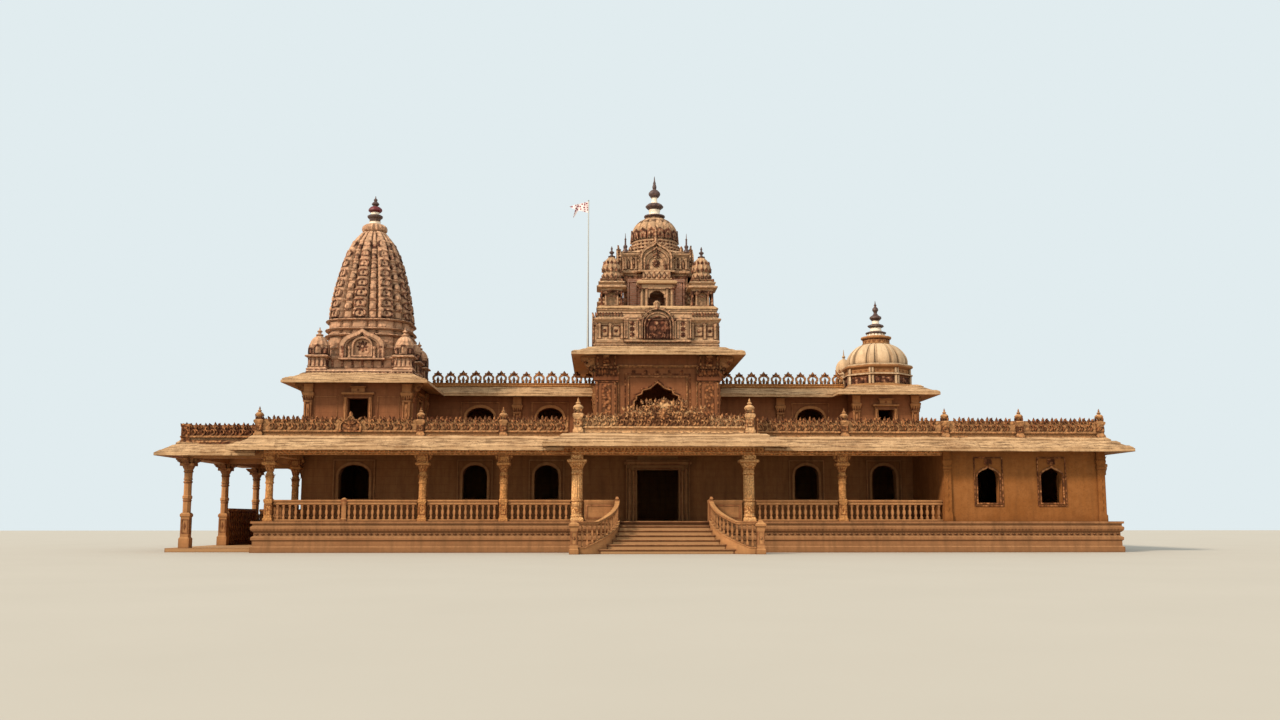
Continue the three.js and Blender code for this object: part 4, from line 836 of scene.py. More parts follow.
# Eaves are laid in overlapping courses of thin slabs, each a little uneven. A path is in plan, with its
# reach, the height of its lowest edge and its slope, and a course is its inset from the edge and its
# thickness. The main eave runs on behind the porch roof, and the pavilion's eave under the main one: a return
# is from and to in X, from the edge to the wall in Y, the height under its edge and its slope.
eaves = {
    "paths": (
        (((-15.35, 0.6), (-15.35, -0.3), (-3.72, -0.3)), 0.8, 3.88, 0.525),
        (((3.72, -0.3), (16.95, -0.3), (16.95, 13.3), (-15.35, 13.3), (-15.35, 11.5)), 0.8, 3.88, 0.525),
        (((-3.45, -0.3), (-3.45, -0.9), (3.45, -0.9), (3.45, -0.3)), 1.05, 4.0, 0.4),
        (((-15.36, 10.6), (-18.45, 10.6), (-18.45, 0.7), (-15.4, 0.7)), 0.7, 3.72, 0.6),
        (((-2.6, 10.6), (-2.6, 4.2), (2.6, 4.2), (2.6, 10.6)), 1.0, 8.06, 0.34),
        (
            ((2.6, 9.4), (9.05, 9.4), (9.05, 8.1), (12, 8.1), (12, 13), (-14.6, 13), (-14.6, 4.2),
             (-10.3, 4.2), (-10.3, 9.4), (-2.6, 9.4)), 0.83, 6.87, 0.42,
        ),
    ),
    "returns": (
        (-4.55, -3.75, -1.09, -0.3, 3.765, 0.525), (3.75, 4.55, -1.09, -0.3, 3.765, 0.525),
        (-16.3, -15.38, 0.01, 0.7, 3.605, 0.6),
    ),
    "courses": ((0.0, 0.06), (0.17, 0.04), (0.36, 0.045), (0.58, 0.09)),
    "slab": 0.62, "uneven": 0.024, "seed": 17,
}


def slabPath(path):
    points = []
    for (ax, ay), (bx, by) in zip(path, path[1:]):
        count = max(1, round(math.hypot(bx - ax, by - ay) / eaves["slab"]))
        points += [(ax + (bx - ax) * i / count, ay + (by - ay) * i / count) for i in range(count)]
    return points + [path[-1]]


def makeEaveSlabs():
    shape = Shape()
    chance = random.Random(eaves["seed"])
    uneven = eaves["uneven"]
    for path, reach, height, slope in eaves["paths"]:
        points = slabPath(path)
        for inset, thick in eaves["courses"]:
            edge, z = reach - inset - 0.004, height + slope * inset
            back, top = edge - 0.12, z + thick
            low = z - 0.02
            section = ((back, low), (edge, low), (edge, z + thick * 0.7), (back, top + 0.12 * slope))
            wave = [(chance.uniform(-uneven * 2, 0.0), chance.uniform(-uneven, uneven)) for _ in points]
            shape.sweep(points, section, wave)
    for x0, x1, y0, y1, low, slope in eaves["returns"]:
        top = low + 0.11
        section = ((y0, low), (y0, top), (y1, top + slope * (y1 - y0)), (y1, low + 0.19))
        shape.rings([[(x, y, z) for y, z in section] for x in (x0, x1)])
    finishShape(shape, "eaveSlabs", "eaveSlab")


makeEaveSlabs()

# Plinth: a band of cut lozenges in its sunk course, and a row of lotus petals below the floor slab. A row is
# its name, inset, height and pitch, and then half width, height and depth of a lozenge. The stair's width
# stays clear.
plinth = {
    "x0": -15.25, "x1": 17.35, "y0": -0.7, "y1": 13.5, "top": 1.15, "clear": 1.7,
    "rows": (
        ("plinthBosses", 0.11, 0.625, 0.22, (0.1, 0.11, 0.06)),
        ("plinthPetals", 0.03, 0.815, 0.13, (0.055, 0.07, 0.022)),
    ),
}


def makePlinthFrieze():
    for name, inset, z, pitch, lozenge in plinth["rows"]:
        x0, x1 = plinth["x0"] + inset, plinth["x1"] - inset
        y0, y1 = plinth["y0"] + inset, plinth["y1"] - inset
        spots = edgeSpots(x0, x1, y0, y1, z, pitch)
        clear = [s for s in spots if abs(s[0][0]) >= plinth["clear"] or s[0][1] >= 0]
        scatterPiece(name, lozengeShape(*lozenge), clear, "plinthStone", 0.06)


makePlinthFrieze()
print("plinth")

# Balusters: square blocks at foot and head with a swelling part between, as pairs of half width and height
balusterProfile = (
    (0.048, 0), (0.048, 0.09), (0.03, 0.11), (0.026, 0.15), (0.05, 0.24), (0.044, 0.32), (0.024, 0.4),
    (0.036, 0.43), (0.03, 0.46), (0.048, 0.48), (0.048, 0.54),
)
balustrade = {
    "foot": 1.22, "pitch": 0.224, "half": 0.075, "endX": -14.79, "postX": -11.98,
    "front": (
        (-14.605, -12.02), (-11.94, -9.255), (-8.885, -6.215), (-5.845, -3.515), (3.515, 6.655),
        (7.025, 10.67),
    ),
    "base": ((-0.01, 1.15), (0.015, 1.16), (0.015, 1.2), (-0.01, 1.22)),
    "rail": (
        (-0.02, 1.76), (0, 1.78), (0, 1.82), (-0.02, 1.84), (-0.01, 1.87), (0.022, 1.89), (0.03, 1.92),
        (0.02, 1.95),
    ),
    "post": (
        (0.11, 1.15), (0.11, 1.24), (0.085, 1.27), (0.085, 1.76), (0.105, 1.8), (0.105, 1.97), (0.02, 2.03),
    ),
    "nodes": (
        "balustrade_1", "balustrade_2", "balustrade_3", "balustrade_4", "balustrade_5", "balustrade_end",
    ),
}


def makeBalustrades():
    rails = Shape()
    spots = []
    foot, half, pitch = balustrade["foot"], balustrade["half"], balustrade["pitch"]
    for x0, x1 in balustrade["front"]:
        rails.moulded(x0, x1, -half, half, balustrade["base"])
        rails.moulded(x0, x1, -half, half, balustrade["rail"])
        spots += rowSpots(x0 + 0.04, 0, x1 - 0.04, 0, foot, pitch)
    rails.post(balustrade["post"], balustrade["postX"])
    x = balustrade["endX"]
    for profile in (balustrade["base"], balustrade["rail"]):
        rails.moulded(x - half, x + half, 0.185, 3.665, profile)
    spots += rowSpots(x, 0.225, x, 3.625, foot, pitch)
    finishShape(rails, "verandahRails", "mouldedSandstone", replaced=balustrade["nodes"])
    baluster = Shape()
    baluster.post(balusterProfile)
    scatterPiece("verandahBalusters", baluster, spots, "mouldedSandstone")


makeBalustrades()

# Stair balustrades leave the porch posts and swing out, on a quarter of an ellipse with half widths a and b,
# to a newel at the foot of the flight. The return wall runs from the top post to the wall of the plinth.
stair = {
    "x": -3.3, "y": -0.75, "a": 1.55, "b": 2.15, "half": 0.08, "balusters": 13, "steps": 26,
    "rail": (
        (-0.06, 0), (0.06, 0), (0.075, 0.03), (0.06, 0.055), (0.095, 0.075), (0.085, 0.105), (-0.085, 0.105),
        (-0.095, 0.075), (-0.06, 0.055), (-0.075, 0.03),
    ),
    "topPost": (
        (0.01, 0), (0.01, 1.3), (0, 1.34), (0, 1.78), (0.02, 1.82), (0.02, 1.88), (-0.02, 1.92), (0.01, 1.98),
        (-0.03, 2.06),
    ),
    "newel": (
        (0.17, 0), (0.17, 0.16), (0.14, 0.2), (0.14, 0.3), (0.125, 0.33), (0.125, 0.8), (0.14, 0.83),
        (0.14, 0.93), (0.19, 0.99), (0.19, 1.06), (0.12, 1.1), (0.1, 1.14), (0.05, 1.2),
    ),
    "return": ((0, 1.15), (0, 1.84), (0.02, 1.87), (0.02, 1.93), (0, 1.95)),
}


def flarePoint(t):
    angle = t * rightAngle
    return stair["x"] + stair["a"] * math.cos(angle), stair["y"] - stair["b"] * math.sin(angle)


# Tops of the string and undersides of the rail
def flareHeights(t):
    return plinth["top"] + 0.09 - 0.99 * min(1, 1.15 * t**0.9), 1.86 - 0.82 * min(1, 1.5 * t) ** 0.8


# A wall that follows the flare, whose section at each point is pairs of reach and height
def flareWall(shape, sectionAt):
    rings = []
    for i in range(stair["steps"] + 1):
        t = i / stair["steps"]
        x, y = flarePoint(t)
        angle = t * rightAngle
        out = Vector((math.cos(angle) / stair["a"], -math.sin(angle) / stair["b"])).normalized()
        rings.append([(x + out[0] * reach, y + out[1] * reach, z) for reach, z in sectionAt(t)])
    shape.rings(rings)


def stringSection(t):
    half, lip, top = stair["half"], stair["half"] + 0.02, flareHeights(t)[0]
    right = [(half, 0), (half, top - 0.06), (lip, top - 0.04), (lip, top)]
    return [(-half, 0)] + right + [(-lip, top), (-half, top - 0.06)]


def railSection(t):
    return [(reach, flareHeights(t)[1] + z) for reach, z in stair["rail"]]


def stairSide():
    shape = Shape()
    flareWall(shape, stringSection)
    flareWall(shape, railSection)
    for i in range(stair["balusters"]):
        t = (i + 0.5) / stair["balusters"]
        string, rail = flareHeights(t)
        grown = (rail - string + 0.03) / balusterProfile[-1][1]
        shape.post([(h * 0.85, string - 0.01 + z * grown) for h, z in balusterProfile], *flarePoint(t))
    topX, topY = flarePoint(0)
    shape.moulded(topX - 0.07, topX + 0.055, topY - 0.11, topY + 0.03, stair["topPost"])
    footX, footY = flarePoint(1)
    shape.post(stair["newel"], footX, footY)
    panel = Shape()
    panel.border(-0.07, 0.07, 0.36, 0.77, 0.03, -0.14, -0.12)
    panel.turned(((0.02, 0.5), (0.05, 0.56), (0.02, 0.62)), 8, y=-0.12)
    shape.around(panel, footX, footY)
    shape.moulded(topX - 0.07, topX + 0.07, topY, -0.12, stair["return"])
    shape.moulded(-2.98, topX + 0.07, -0.15, -0.02, stair["return"])
    shape.border(-2.86, -1.86, 1.3, 1.72, 0.06, -0.17, -0.14)
    return shape


def makeStairSides():
    left = stairSide()
    right = Shape()
    right.merge(left, mirrored)
    finishShape(left, "stairBalustradeLeft", "mouldedSandstone", replaced=("stair_balustrade_left",))
    finishShape(right, "stairBalustradeRight", "mouldedSandstone", replaced=("stair_balustrade_right",))


makeStairSides()

# A worn round nosing on every step and on the edge of the floor above them
steps = {
    "count": 6, "tread": 0.32, "front": -0.7,
    "edge": ((0, -0.06), (0.022, -0.05), (0.032, -0.025), (0.024, 0), (0.006, 0.008)),
}


def makeNosings():
    shape = Shape()
    rise = plinth["top"] / (steps["count"] + 1)
    for k in range(steps["count"] + 1):
        y = steps["front"] - k * steps["tread"]
        top = plinth["top"] - k * rise
        half = -flarePoint(math.asin(max(0, stair["y"] - y) / stair["b"]) / rightAngle)[0] - 0.03
        shape.moulded(-half, half, y, y + 0.03, [(reach, top + z) for reach, z in steps["edge"]])
    finishShape(shape, "stepNosings", "stepStone")


makeNosings()
print("balustrades")

# Verandah columns: square foot, eight-sided shaft with rings, leaf capital, block and bracket arms
verandahColumn = {
    "places": {
        "corner_column": (-14.79, 0), "verandah_column_1": (-9.07, 0), "verandah_column_2": (-6.03, 0),
        "verandah_column_3": (6.84, 0), "rear_column": (-14.79, 3.85),
    },
    "foot": (
        (0.18, 1.15), (0.18, 1.23), (0.165, 1.26), (0.15, 1.28), (0.15, 1.32), (0.138, 1.34), (0.138, 1.82),
        (0.15, 1.84), (0.165, 1.9), (0.165, 1.95), (0.13, 1.99),
    ),
    "shaft": (
        (0.15, 1.98), (0.155, 2.0), (0.145, 2.03), (0.142, 2.3), (0.15, 2.32), (0.142, 2.34), (0.138, 2.54),
        (0.165, 2.57), (0.168, 2.6), (0.148, 2.63), (0.148, 2.68), (0.16, 2.7), (0.148, 2.72), (0.15, 2.92),
        (0.125, 2.96), (0.118, 3.0), (0.14, 3.04), (0.165, 3.1), (0.17, 3.14), (0.2, 3.2), (0.24, 3.26),
    ),
    "block": ((0.235, 3.24), (0.26, 3.27), (0.265, 3.33), (0.24, 3.35), (0.2, 3.37), (0.2, 3.64)),
    "arm": ((0.18, 3.37), (0.24, 3.4), (0.25, 3.46), (0.3, 3.5), (0.33, 3.57), (0.33, 3.64), (0.18, 3.64)),
}
# A turned part of a porch column is its finish, sides, flutes and their depth, then its radii and heights
porchColumn = {
    "places": {"porch_column_left": (-3.26, 0), "porch_column_right": (3.26, 0)},
    "foot": ((0.25, 1.15), (0.25, 1.24), (0.235, 1.27), (0.21, 1.29), (0.21, 1.32)),
    "shaft": (
        (0, 32, 16, 0.06, (0.2, 1.3), (0.235, 1.33), (0.235, 1.37), (0.2, 1.4), (0.215, 1.44), (0.215, 1.9)),
        (0, 32, 0, 0, (0.2, 1.88), (0.235, 1.91), (0.235, 1.96), (0.2, 1.99)),
        (0, 48, 16, 0.1, (0.212, 1.96), (0.208, 2.5), (0.204, 2.95)),
        (0, 32, 16, 0.05, (0.2, 2.9), (0.228, 2.94), (0.228, 2.99), (0.2, 3.02), (0.2, 3.06), (0.232, 3.09),
         (0.2, 3.12), (0.22, 3.16), (0.3, 3.3), (0.335, 3.38)),
    ),
    "block": ((0.34, 3.36), (0.37, 3.39), (0.37, 3.45), (0.34, 3.48)),
}


def columnShape():
    shape = Shape()
    shape.post(verandahColumn["foot"])
    panel = Shape()
    panel.border(-0.08, 0.08, 1.42, 1.74, 0.03, -0.152, -0.136)
    panel.put(lozengeShape(0.055, 0.2, 0.02), 0, -0.138, 1.48)
    panel.frame(oblong(-0.13, 0.13, 3.42, 3.58), oblong(-0.17, 0.17, 3.39, 3.61), -0.212, -0.198)
    shape.around(panel)
    shape.turned(verandahColumn["shaft"], 24, 8, 0.07, math.pi / 8)
    shape.post(verandahColumn["block"])
    arm = Shape()
    arm.plate(verandahColumn["arm"], -0.11, 0.11)
    arm.strip(spiral(0.25, 3.53, 0.06, 0.01, rightAngle, rightAngle + 4.5), 0.025, -0.125, 0.125)
    shape.merge(arm)
    shape.merge(arm, mirrored)
    return shape


def porchColumnShape():
    shape = Shape()
    shape.post(porchColumn["foot"])
    shape.stack(porchColumn["shaft"])
    shape.post(porchColumn["block"])
    shape.moulded(-0.23, 0.23, -0.48, 0.2, ((0, 3.47), (0, 3.6), (0, 3.64)))
    shape.frame(oblong(-0.15, 0.15, 3.5, 3.6), oblong(-0.2, 0.2, 3.48, 3.63), -0.495, -0.475)
    return shape


# Each ring of leaves is its height, radius, count, size of a leaf and turn
def makeColumns(name, leavesName, kind, columnMade, finishName, rings):
    whole = Shape()
    leaves = []
    for x, y in kind["places"].values():
        whole.put(columnMade, x, y)
        for z, radius, count, size, phase in rings:
            leaves += ringSpots(x, y, z, radius, count, size, phase)
    finishShape(whole, name, finishName, replaced=tuple(kind["places"]))
    scatterPiece(leavesName, leafShape(0.075, 0.25, 0.022, 0.1), leaves, finishName, 0.05)


makeColumns(
    "verandahColumns", "columnLeaves", verandahColumn, columnShape(), "columnSandstone",
    ((3.0, 0.125, 12, (1, 1, 1), 0), (2.75, 0.148, 16, (0.62, 0.6, 0.6), math.pi / 16)),
)
# The porch columns take the brighter copy of the sandstone: painted light
makeColumns(
    "porchColumns", "porchColumnLeaves", porchColumn, porchColumnShape(), "porchSandstonePaintedSunlit",
    ((3.12, 0.2, 16, (1.15, 1, 1), 0), (1.45, 0.212, 20, (0.85, 0.4, 1.5), 0)),
)


# Hanging lotus buds and a rope moulding along the beam over the columns
def makeBeamTrim():
    trim = Shape()
    for x0, x1, y in ((-14.99, -3.45, -0.2), (3.45, 10.67, -0.2), (-3.45, 3.45, -0.5)):
        trim.block(x0, x1, y - 0.03, y + 0.005, 3.74, 3.78)
        trim.block(x0, x1, y - 0.018, y + 0.005, 3.66, 3.68)
    finishShape(trim, "beamMouldings", "beamSandstonePaintedBounce")
    spots = []
    for x0, x1, y in ((-14.99, -3.5, -0.205), (3.5, 10.67, -0.205), (-3.43, 3.43, -0.505)):
        spots += rowSpots(x0, y, x1, y, 3.79, 0.14)
    scatterPiece("beamPetals", lozengeShape(0.06, 0.1, 0.02), spots, "beamSandstonePaintedBounce")


makeBeamTrim()
print("columns")

# Terrace parapet: moulded foot, pierced scroll and leaf crest, ogee pediments and square piers with urns
parapet = {
    "pitch": 0.36, "foot": 4.3, "pavilionFoot": 4.14, "band": 0.27, "pierTop": 5.46, "gable": 5.16,
    # Start in X and Y, quarter turn, length, piers, gables, and whether it stands on the pavilion
    "runs": (
        (-15.22, -0.2, 0, 11.61, (0, 6.05, 9.16), (3.42,), False),
        (3.61, -0.2, 0, 13.21, (3.32, 7.2, 10.08, 13.21), (), False),
        (16.895, -0.1, 1, 13.34, (4.4, 9.0, 13.3), (), False),
        (16.82, 13.24, 2, 32.04, (8.8, 14.1, 19.5, 24.8), (), False),
        (-15.295, 13.24, 3, 13.34, (0.0, 4.4, 9.0), (), False),
        (-18.41, 0.74, 0, 3.03, (), (), True),
        (-18.41, 10.56, 3, 9.82, (), (), True),
        (-15.36, 10.56, 2, 3.05, (), (), True),
    ),
    "fillets": (
        (-0.13, -0.07), (-0.13, 0.01), (-0.08, 0.04), (-0.06, 0.05), (-0.06, 0.08), (0.03, 0.1), (0.03, 0.17),
        (-0.05, 0.19), (-0.05, 0.24), (0, 0.27),
    ),
    "endPosts": (0.88, 10.42),
    "endPost": (
        (0.19, 0), (0.19, 0.06), (0.165, 0.08), (0.165, 0.6), (0.18, 0.62), (0.18, 0.68), (0.14, 0.72),
    ),
    # Pairs of radius and height of an urn one metre in size
    "urn": (
        (0.55, 0), (0.6, 0.12), (0.25, 0.22), (0.3, 0.3), (0.62, 0.55), (0.7, 0.8), (0.5, 1.05), (0.2, 1.2),
        (0.34, 1.32), (0.3, 1.45), (0.12, 1.55), (0.16, 1.7), (0.03, 2.1),
    ),
    # Right half of a pediment, foot to peak, in shares: upright side, hollow shoulder, three-lobed head
    "pediment": (
        (1, 0), (1, 0.4), (0.94, 0.48), (0.8, 0.54), (0.7, 0.64), (0.56, 0.7), (0.34, 0.73), (0.3, 0.8),
        (0.2, 0.86), (0.12, 0.94), (0, 1),
    ),
    "nodes": ("parapet_front_left", "parapet_front_right", "parapet_back"),
}


# A square pier with sunk panels and an urn, its top at the given height
def pierShape(half, foot, top):
    shape = Shape()
    head = top - half * 3.4
    sunk, lip = half - 0.012, half + 0.035
    profile = (
        (half + 0.03, foot), (half + 0.03, foot + 0.1), (half, foot + 0.15), (sunk, foot + 0.17),
        (sunk, head - 0.2), (half, head - 0.18), (lip, head - 0.12), (lip, head - 0.06),
        (half - 0.02, head - 0.02), (half - 0.03, head),
    )
    shape.post(profile)
    panel = Shape()
    low, tall = foot + 0.24, head - foot - 0.48
    inside, outside = half * 0.5, half * 0.78
    inner = oblong(-inside, inside, low + 0.03, low + tall - 0.03)
    outer = oblong(-outside, outside, low, low + tall)
    panel.frame(inner, outer, -half - 0.012, -half + 0.014)
    panel.put(lozengeShape(inside * 0.8, tall * 0.7, 0.03), 0, -half + 0.012, low + tall * 0.15)
    panel.put(leafShape(half * 0.7, half * 1.3, 0.03, 0.04, 3), half * 0.7, -half * 0.7, head - 0.03)
    shape.around(panel)
    size = half * 1.66
    shape.turned([(r * size, head - 0.02 + h * size) for r, h in parapet["urn"]], 12)
    return shape


# A run of parapet along X, its outer face on Y zero: two fillets, a sunk band and the backing of the vine
def parapetRun(length, foot, deep):
    run = Shape()
    crest = foot + parapet["band"]
    section = [(a, foot + h) for a, h in parapet["fillets"]] + [(deep, crest), (deep, foot)]
    run.rings([[(x, a, h) for a, h in section] for x in (0, length)])
    run.block(0, length, 0.0, deep - 0.01, crest - 0.01, crest + 0.4)
    return run


# A small pediment in the run, with a raised rim, a rosette in its field and leaves
def parapetGable(foot, top):
    gable = Shape()
    outer = mirroredOutline([(0.42 * x, foot + (top - foot) * height) for x, height in parapet["pediment"]])
    inner = [(x * 0.82, foot + 0.05 + (height - foot) * 0.8) for x, height in outer]
    gable.plate(outer, 0.0, 0.12)
    gable.frame(inner, outer, -0.05, 0.01)
    gable.put(rosetteShape(0.15), 0, -0.01, foot + 0.3)
    gable.put(leafShape(0.15, 0.2, 0.05, 0.02, 3), 0, 0.04, top - 0.08)
    for x, z, wide in ((0.16, 0.02, 0.13), (0.12, 0.3, 0.12), (0.3, 0.44, 0.13)):
        gableLeaves(gable, (wide, 0.2, 0.04, 0.02, 3), -0.01, 0.9, [(x, foot + z)])
    return gable


def makeTerraceParapet():
    walls = Shape()
    scrolls = []
    for x, y, quarter, length, piers, gables, low in parapet["runs"]:
        foot = parapet["pavilionFoot" if low else "foot"]
        run = parapetRun(length, foot, 0.19 if low else 0.15)
        for at in gables:
            run.put(parapetGable(foot + 0.19, parapet["gable"]), at, -0.03)
        for at in piers:
            run.put(pierShape(0.14, foot, parapet["pierTop"]), at, 0.045)
        turned = moved(x, y) @ spun(quarter * rightAngle)
        walls.merge(run, turned)
        for i in range(int(length / parapet["pitch"])):
            at = parapet["pitch"] * (i + 0.5)
            if all(abs(at - p) > 0.22 for p in piers) and all(abs(at - p) > 0.5 for p in gables):
                place = turned @ Vector((at, 0.0, foot + parapet["band"] + 0.01))
                scrolls.append(spot(*place, quarter * rightAngle, (1, 1, 1.02 if low else 1.12)))
    for y in parapet["endPosts"]:
        walls.post([(half, parapet["pavilionFoot"] + z) for half, z in parapet["endPost"]], -18.25, y)
    finishShape(walls, "terraceParapet", "carvedSandstone", replaced=parapet["nodes"])
    scatterPiece("parapetScrolls", scrollShape(), scrolls, "carvedSandstone", 0.08, 3)


makeTerraceParapet()

# Parapet of the porch: vines that pile up in steps to a knob in the middle, and a pier at each end. hump is
# the outline of the pile, as pairs of X and height above the crest, and a row is its rise, reach and pitch
porch = {
    "face": -0.88, "foot": 4.42, "half": 3.15, "pier": (0.17, 3.22, 5.76), "seed": 5,
    "hump": (
        (1.72, 0.0), (1.72, 0.38), (1.5, 0.46), (1.3, 0.48), (1.15, 0.58), (0.9, 0.62), (0.72, 0.74),
        (0.5, 0.78), (0.34, 0.92), (0.12, 0.98),
    ),
    "rows": ((0.01, 3.02, 0.34), (0.3, 1.55, 0.36), (0.54, 0.85, 0.34)),
}


def makePorchParapet():
    face, foot, half = porch["face"], porch["foot"], porch["half"]
    top = foot + parapet["band"]
    shape = Shape()
    shape.put(parapetRun(half * 2, foot, 0.15), -half, face)
    right = [(x, top + z) for x, z in porch["hump"]]
    shape.plate([(-x, z) for x, z in right] + right[::-1], face - 0.01, face + 0.14)
    shape.put(rosetteShape(0.26, 12), 0, face - 0.05, top + 0.46)
    shape.put(rosetteShape(0.14), 0, face - 0.08, top + 0.46)
    for lean, high in ((-0.9, 0.195), (-0.45, 0.225), (0, 0.255), (0.45, 0.225), (0.9, 0.195)):
        shape.put(leafShape(0.15, high, 0.06, 0.03, 3), 0, face + 0.04, top + 0.86, lean)
    wide, reach, high = porch["pier"]
    for side in (-1, 1):
        shape.put(pierShape(wide, foot, high), side * reach, face + 0.045)
    finishShape(shape, "porchParapet", "vineSandstonePaintedLight", replaced=("porch_parapet",))
    spots = []
    for rise, reach, pitch in porch["rows"]:
        spots += rowSpots(-reach, face, reach, face, top + rise, pitch, 0, (1, 1, 1.08))
    spots = [s for s in spots if abs(s[0][0]) > 0.3 or s[0][2] < top + 0.2]
    scatterPiece("porchScrolls", scrollShape(), spots, "vineSandstonePaintedLight", 0.12, porch["seed"])


makePorchParapet()

# Crests of the upper roof: a low moulded band with open leaf merlons on it
crest = {
    "y": 9.4, "runs": ((-10.15, -2.61), (2.61, 8.9)), "pitch": 0.58, "backPitch": 0.5,
    "band": (
        (0, 7.22), (0, 7.27), (0.03, 7.29), (0.03, 7.33), (-0.01, 7.35), (-0.01, 7.39), (0.02, 7.41),
        (0.02, 7.45),
    ),
    "backBand": ((0, 7.22), (0, 7.28), (0.02, 7.3), (0.02, 7.34), (0, 7.36)),
}


# A merlon: a thick hoop with a stem in it and a three-lobed knob on top, its foot a pair of leaves
def merlonShape():
    shape = Shape()
    angles = [math.radians(-60 + i * 37.5) for i in range(9)]
    shape.strip([(0.19 * math.cos(a), 0.2 + 0.15 * math.sin(a)) for a in angles], 0.085, -0.04, 0.04)
    shape.put(leafShape(0.13, 0.3, 0.045, 0.0, 2))
    shape.put(leafShape(0.15, 0.19, 0.045, 0.0, 2), 0, 0, 0.33)
    gableLeaves(shape, (0.12, 0.15, 0.045, 0.0, 2), 0, 1.0, [(0.03, 0.33)])
    gableLeaves(shape, (0.14, 0.14, 0.045, 0.0, 2), 0, 0.9, [(0.1, 0.0)])
    return shape


def makeCrests():
    bands = Shape()
    spots = []
    y = crest["y"]
    for x0, x1 in crest["runs"]:
        bands.moulded(x0, x1, y - 0.06, y + 0.06, crest["band"])
        spots += rowSpots(x0, y, x1, y, 7.44, crest["pitch"], 0, (1.2, 1.2, 1.17))
    finishShape(bands, "crestBands", "columnSandstone", replaced=("crest_left", "crest_right"))
    scatterPiece("crestMerlons", merlonShape(), spots, "carvedSandstone", 0.1, 11)
    back = Shape()
    back.moulded(-14.6, 12.0, 12.94, 13.06, crest["backBand"])
    finishShape(back, "backCrestBand", "carvedSandstone", replaced=("crest_back",))
    spots = rowSpots(12.0, 13.0, -14.6, 13.0, 7.35, crest["backPitch"], 2, (0.9, 1, 0.62))
    scatterPiece("backMerlons", merlonShape(), spots, "carvedSandstone", 0.1, 13)


makeCrests()
print("parapets and crests")

# Gate block: nested frames round the cusped arch, strip-carved corner pilasters, leaf capitals and brackets
gateBlock = {
    "half": 2.6, "front": 4.2, "pilaster": 2.15,
    # Right half of the cusped arch from foot to peak
    "cusps": (
        (0.96, 4.9), (0.96, 6.12), (0.86, 6.18), (0.86, 6.33), (0.64, 6.42), (0.6, 6.56), (0.3, 6.64),
        (0.18, 6.74), (0, 6.89),
    ),
    # Half width, foot, head and border of each frame round it, and how far it stands out
    "frames": ((1.2, 4.5, 7.12, 0.05, 0.05), (1.34, 4.4, 7.24, 0.04, 0.025), (1.62, 4.36, 7.52, 0.05, 0.05)),
    "rosettes": (-1.0, -0.5, 0, 0.5, 1.0),
    "capital": (
        (0.0, 6.88), (0.03, 6.9), (0.03, 6.95), (0.01, 6.97), (0.05, 7.0), (0.09, 7.3), (0.06, 7.32),
        (0.02, 7.34), (0.02, 7.42), (0.08, 7.48), (0.08, 7.56), (0.0, 7.6),
    ),
    # Height, reach and size of each row of leaves on a capital
    "leafRows": ((6.99, 0.14, (1, 1, 1)), (7.16, 0.2, (1.1, 1.1, 1.1)), (7.42, 0.15, (0.8, 0.8, 0.8))),
}


# A pilaster face: carved middle strip with a colonnette at each edge
def pilasterFace(shape, x, half, face, z0, z1):
    shape.block(x - half * 0.42, x + half * 0.42, face - 0.03, face + 0.01, z0 + 0.1, z1 - 0.1)
    edge = (
        (0.05, z0), (0.05, z0 + 0.1), (0.034, z0 + 0.14), (0.034, z1 - 0.14), (0.055, z1 - 0.08), (0.055, z1),
    )
    for side in (-1, 1):
        shape.turned(edge, 8, x=x + side * half * 0.82, y=face - 0.005)
    count = max(2, round((z1 - z0 - 0.4) / 0.34))
    step = (z1 - z0 - 0.4) / count
    for i in range(count):
        shape.put(lozengeShape(half * 0.3, step * 0.86, 0.045), x, face - 0.03, z0 + 0.22 + step * i)


def makeGateBlock():
    shape = Shape()
    face, arch = gateBlock["front"], mirroredOutline(gateBlock["cusps"])
    grown = shrunk(arch, 5.9, 1.075, 1.07)
    shape.frame(arch, grown, face - 0.055, face + 0.05)
    shape.frame(grown, shrunk(arch, 5.9, 1.16, 1.15), face - 0.025, face + 0.01)
    for half, foot, head, wide, out in gateBlock["frames"]:
        shape.border(-half, half, foot, head, wide, face - out, face + 0.01)
    shape.moulded(-1.7, 1.7, face - 0.06, face + 0.01, ((0, 7.56), (0.02, 7.58), (0.02, 7.62), (0, 7.64)))
    for x in gateBlock["rosettes"]:
        shape.put(rosetteShape(0.1), x, face - 0.01, 7.36)
    spots = []
    for side in (-1, 1):
        x = side * gateBlock["pilaster"]
        pilasterFace(shape, x, 0.45, face - 0.11, 4.3, 6.92)
        shape.moulded(x - 0.45, x + 0.45, face - 0.11, face + 0.1, gateBlock["capital"])
        pilasterFace(shape, x, 0.43, face - 0.14, 7.6, 8.0)
        # Corner brackets under the eave, one to the side and one to the front
        wall = moved(side * gateBlock["half"], face + 0.16, 7.98)
        shape.merge(bracketShape(0.62, 0.95, 0.2), wall if side > 0 else wall @ mirrored)
        shape.merge(bracketShape(0.5, 0.42, 0.26), moved(x, face - 0.14, 7.98) @ spun(-rightAngle))
        for z, out, size in gateBlock["leafRows"]:
            y, sideX = face - out, side * (gateBlock["half"] + out - 0.1)
            spots += rowSpots(x - 0.47, y, x + 0.47, y, z, 0.125, 0, size)
            spots += rowSpots(sideX, y + 0.05, sideX, y + 0.3, z, 0.125, side, size)
    finishShape(shape, "gateBlockTrim", "carvedSandstone")
    scatterPiece("gateBlockLeaves", leafShape(0.13, 0.27, 0.03, 0.1), spots, "carvedSandstone", 0.1)


makeGateBlock()

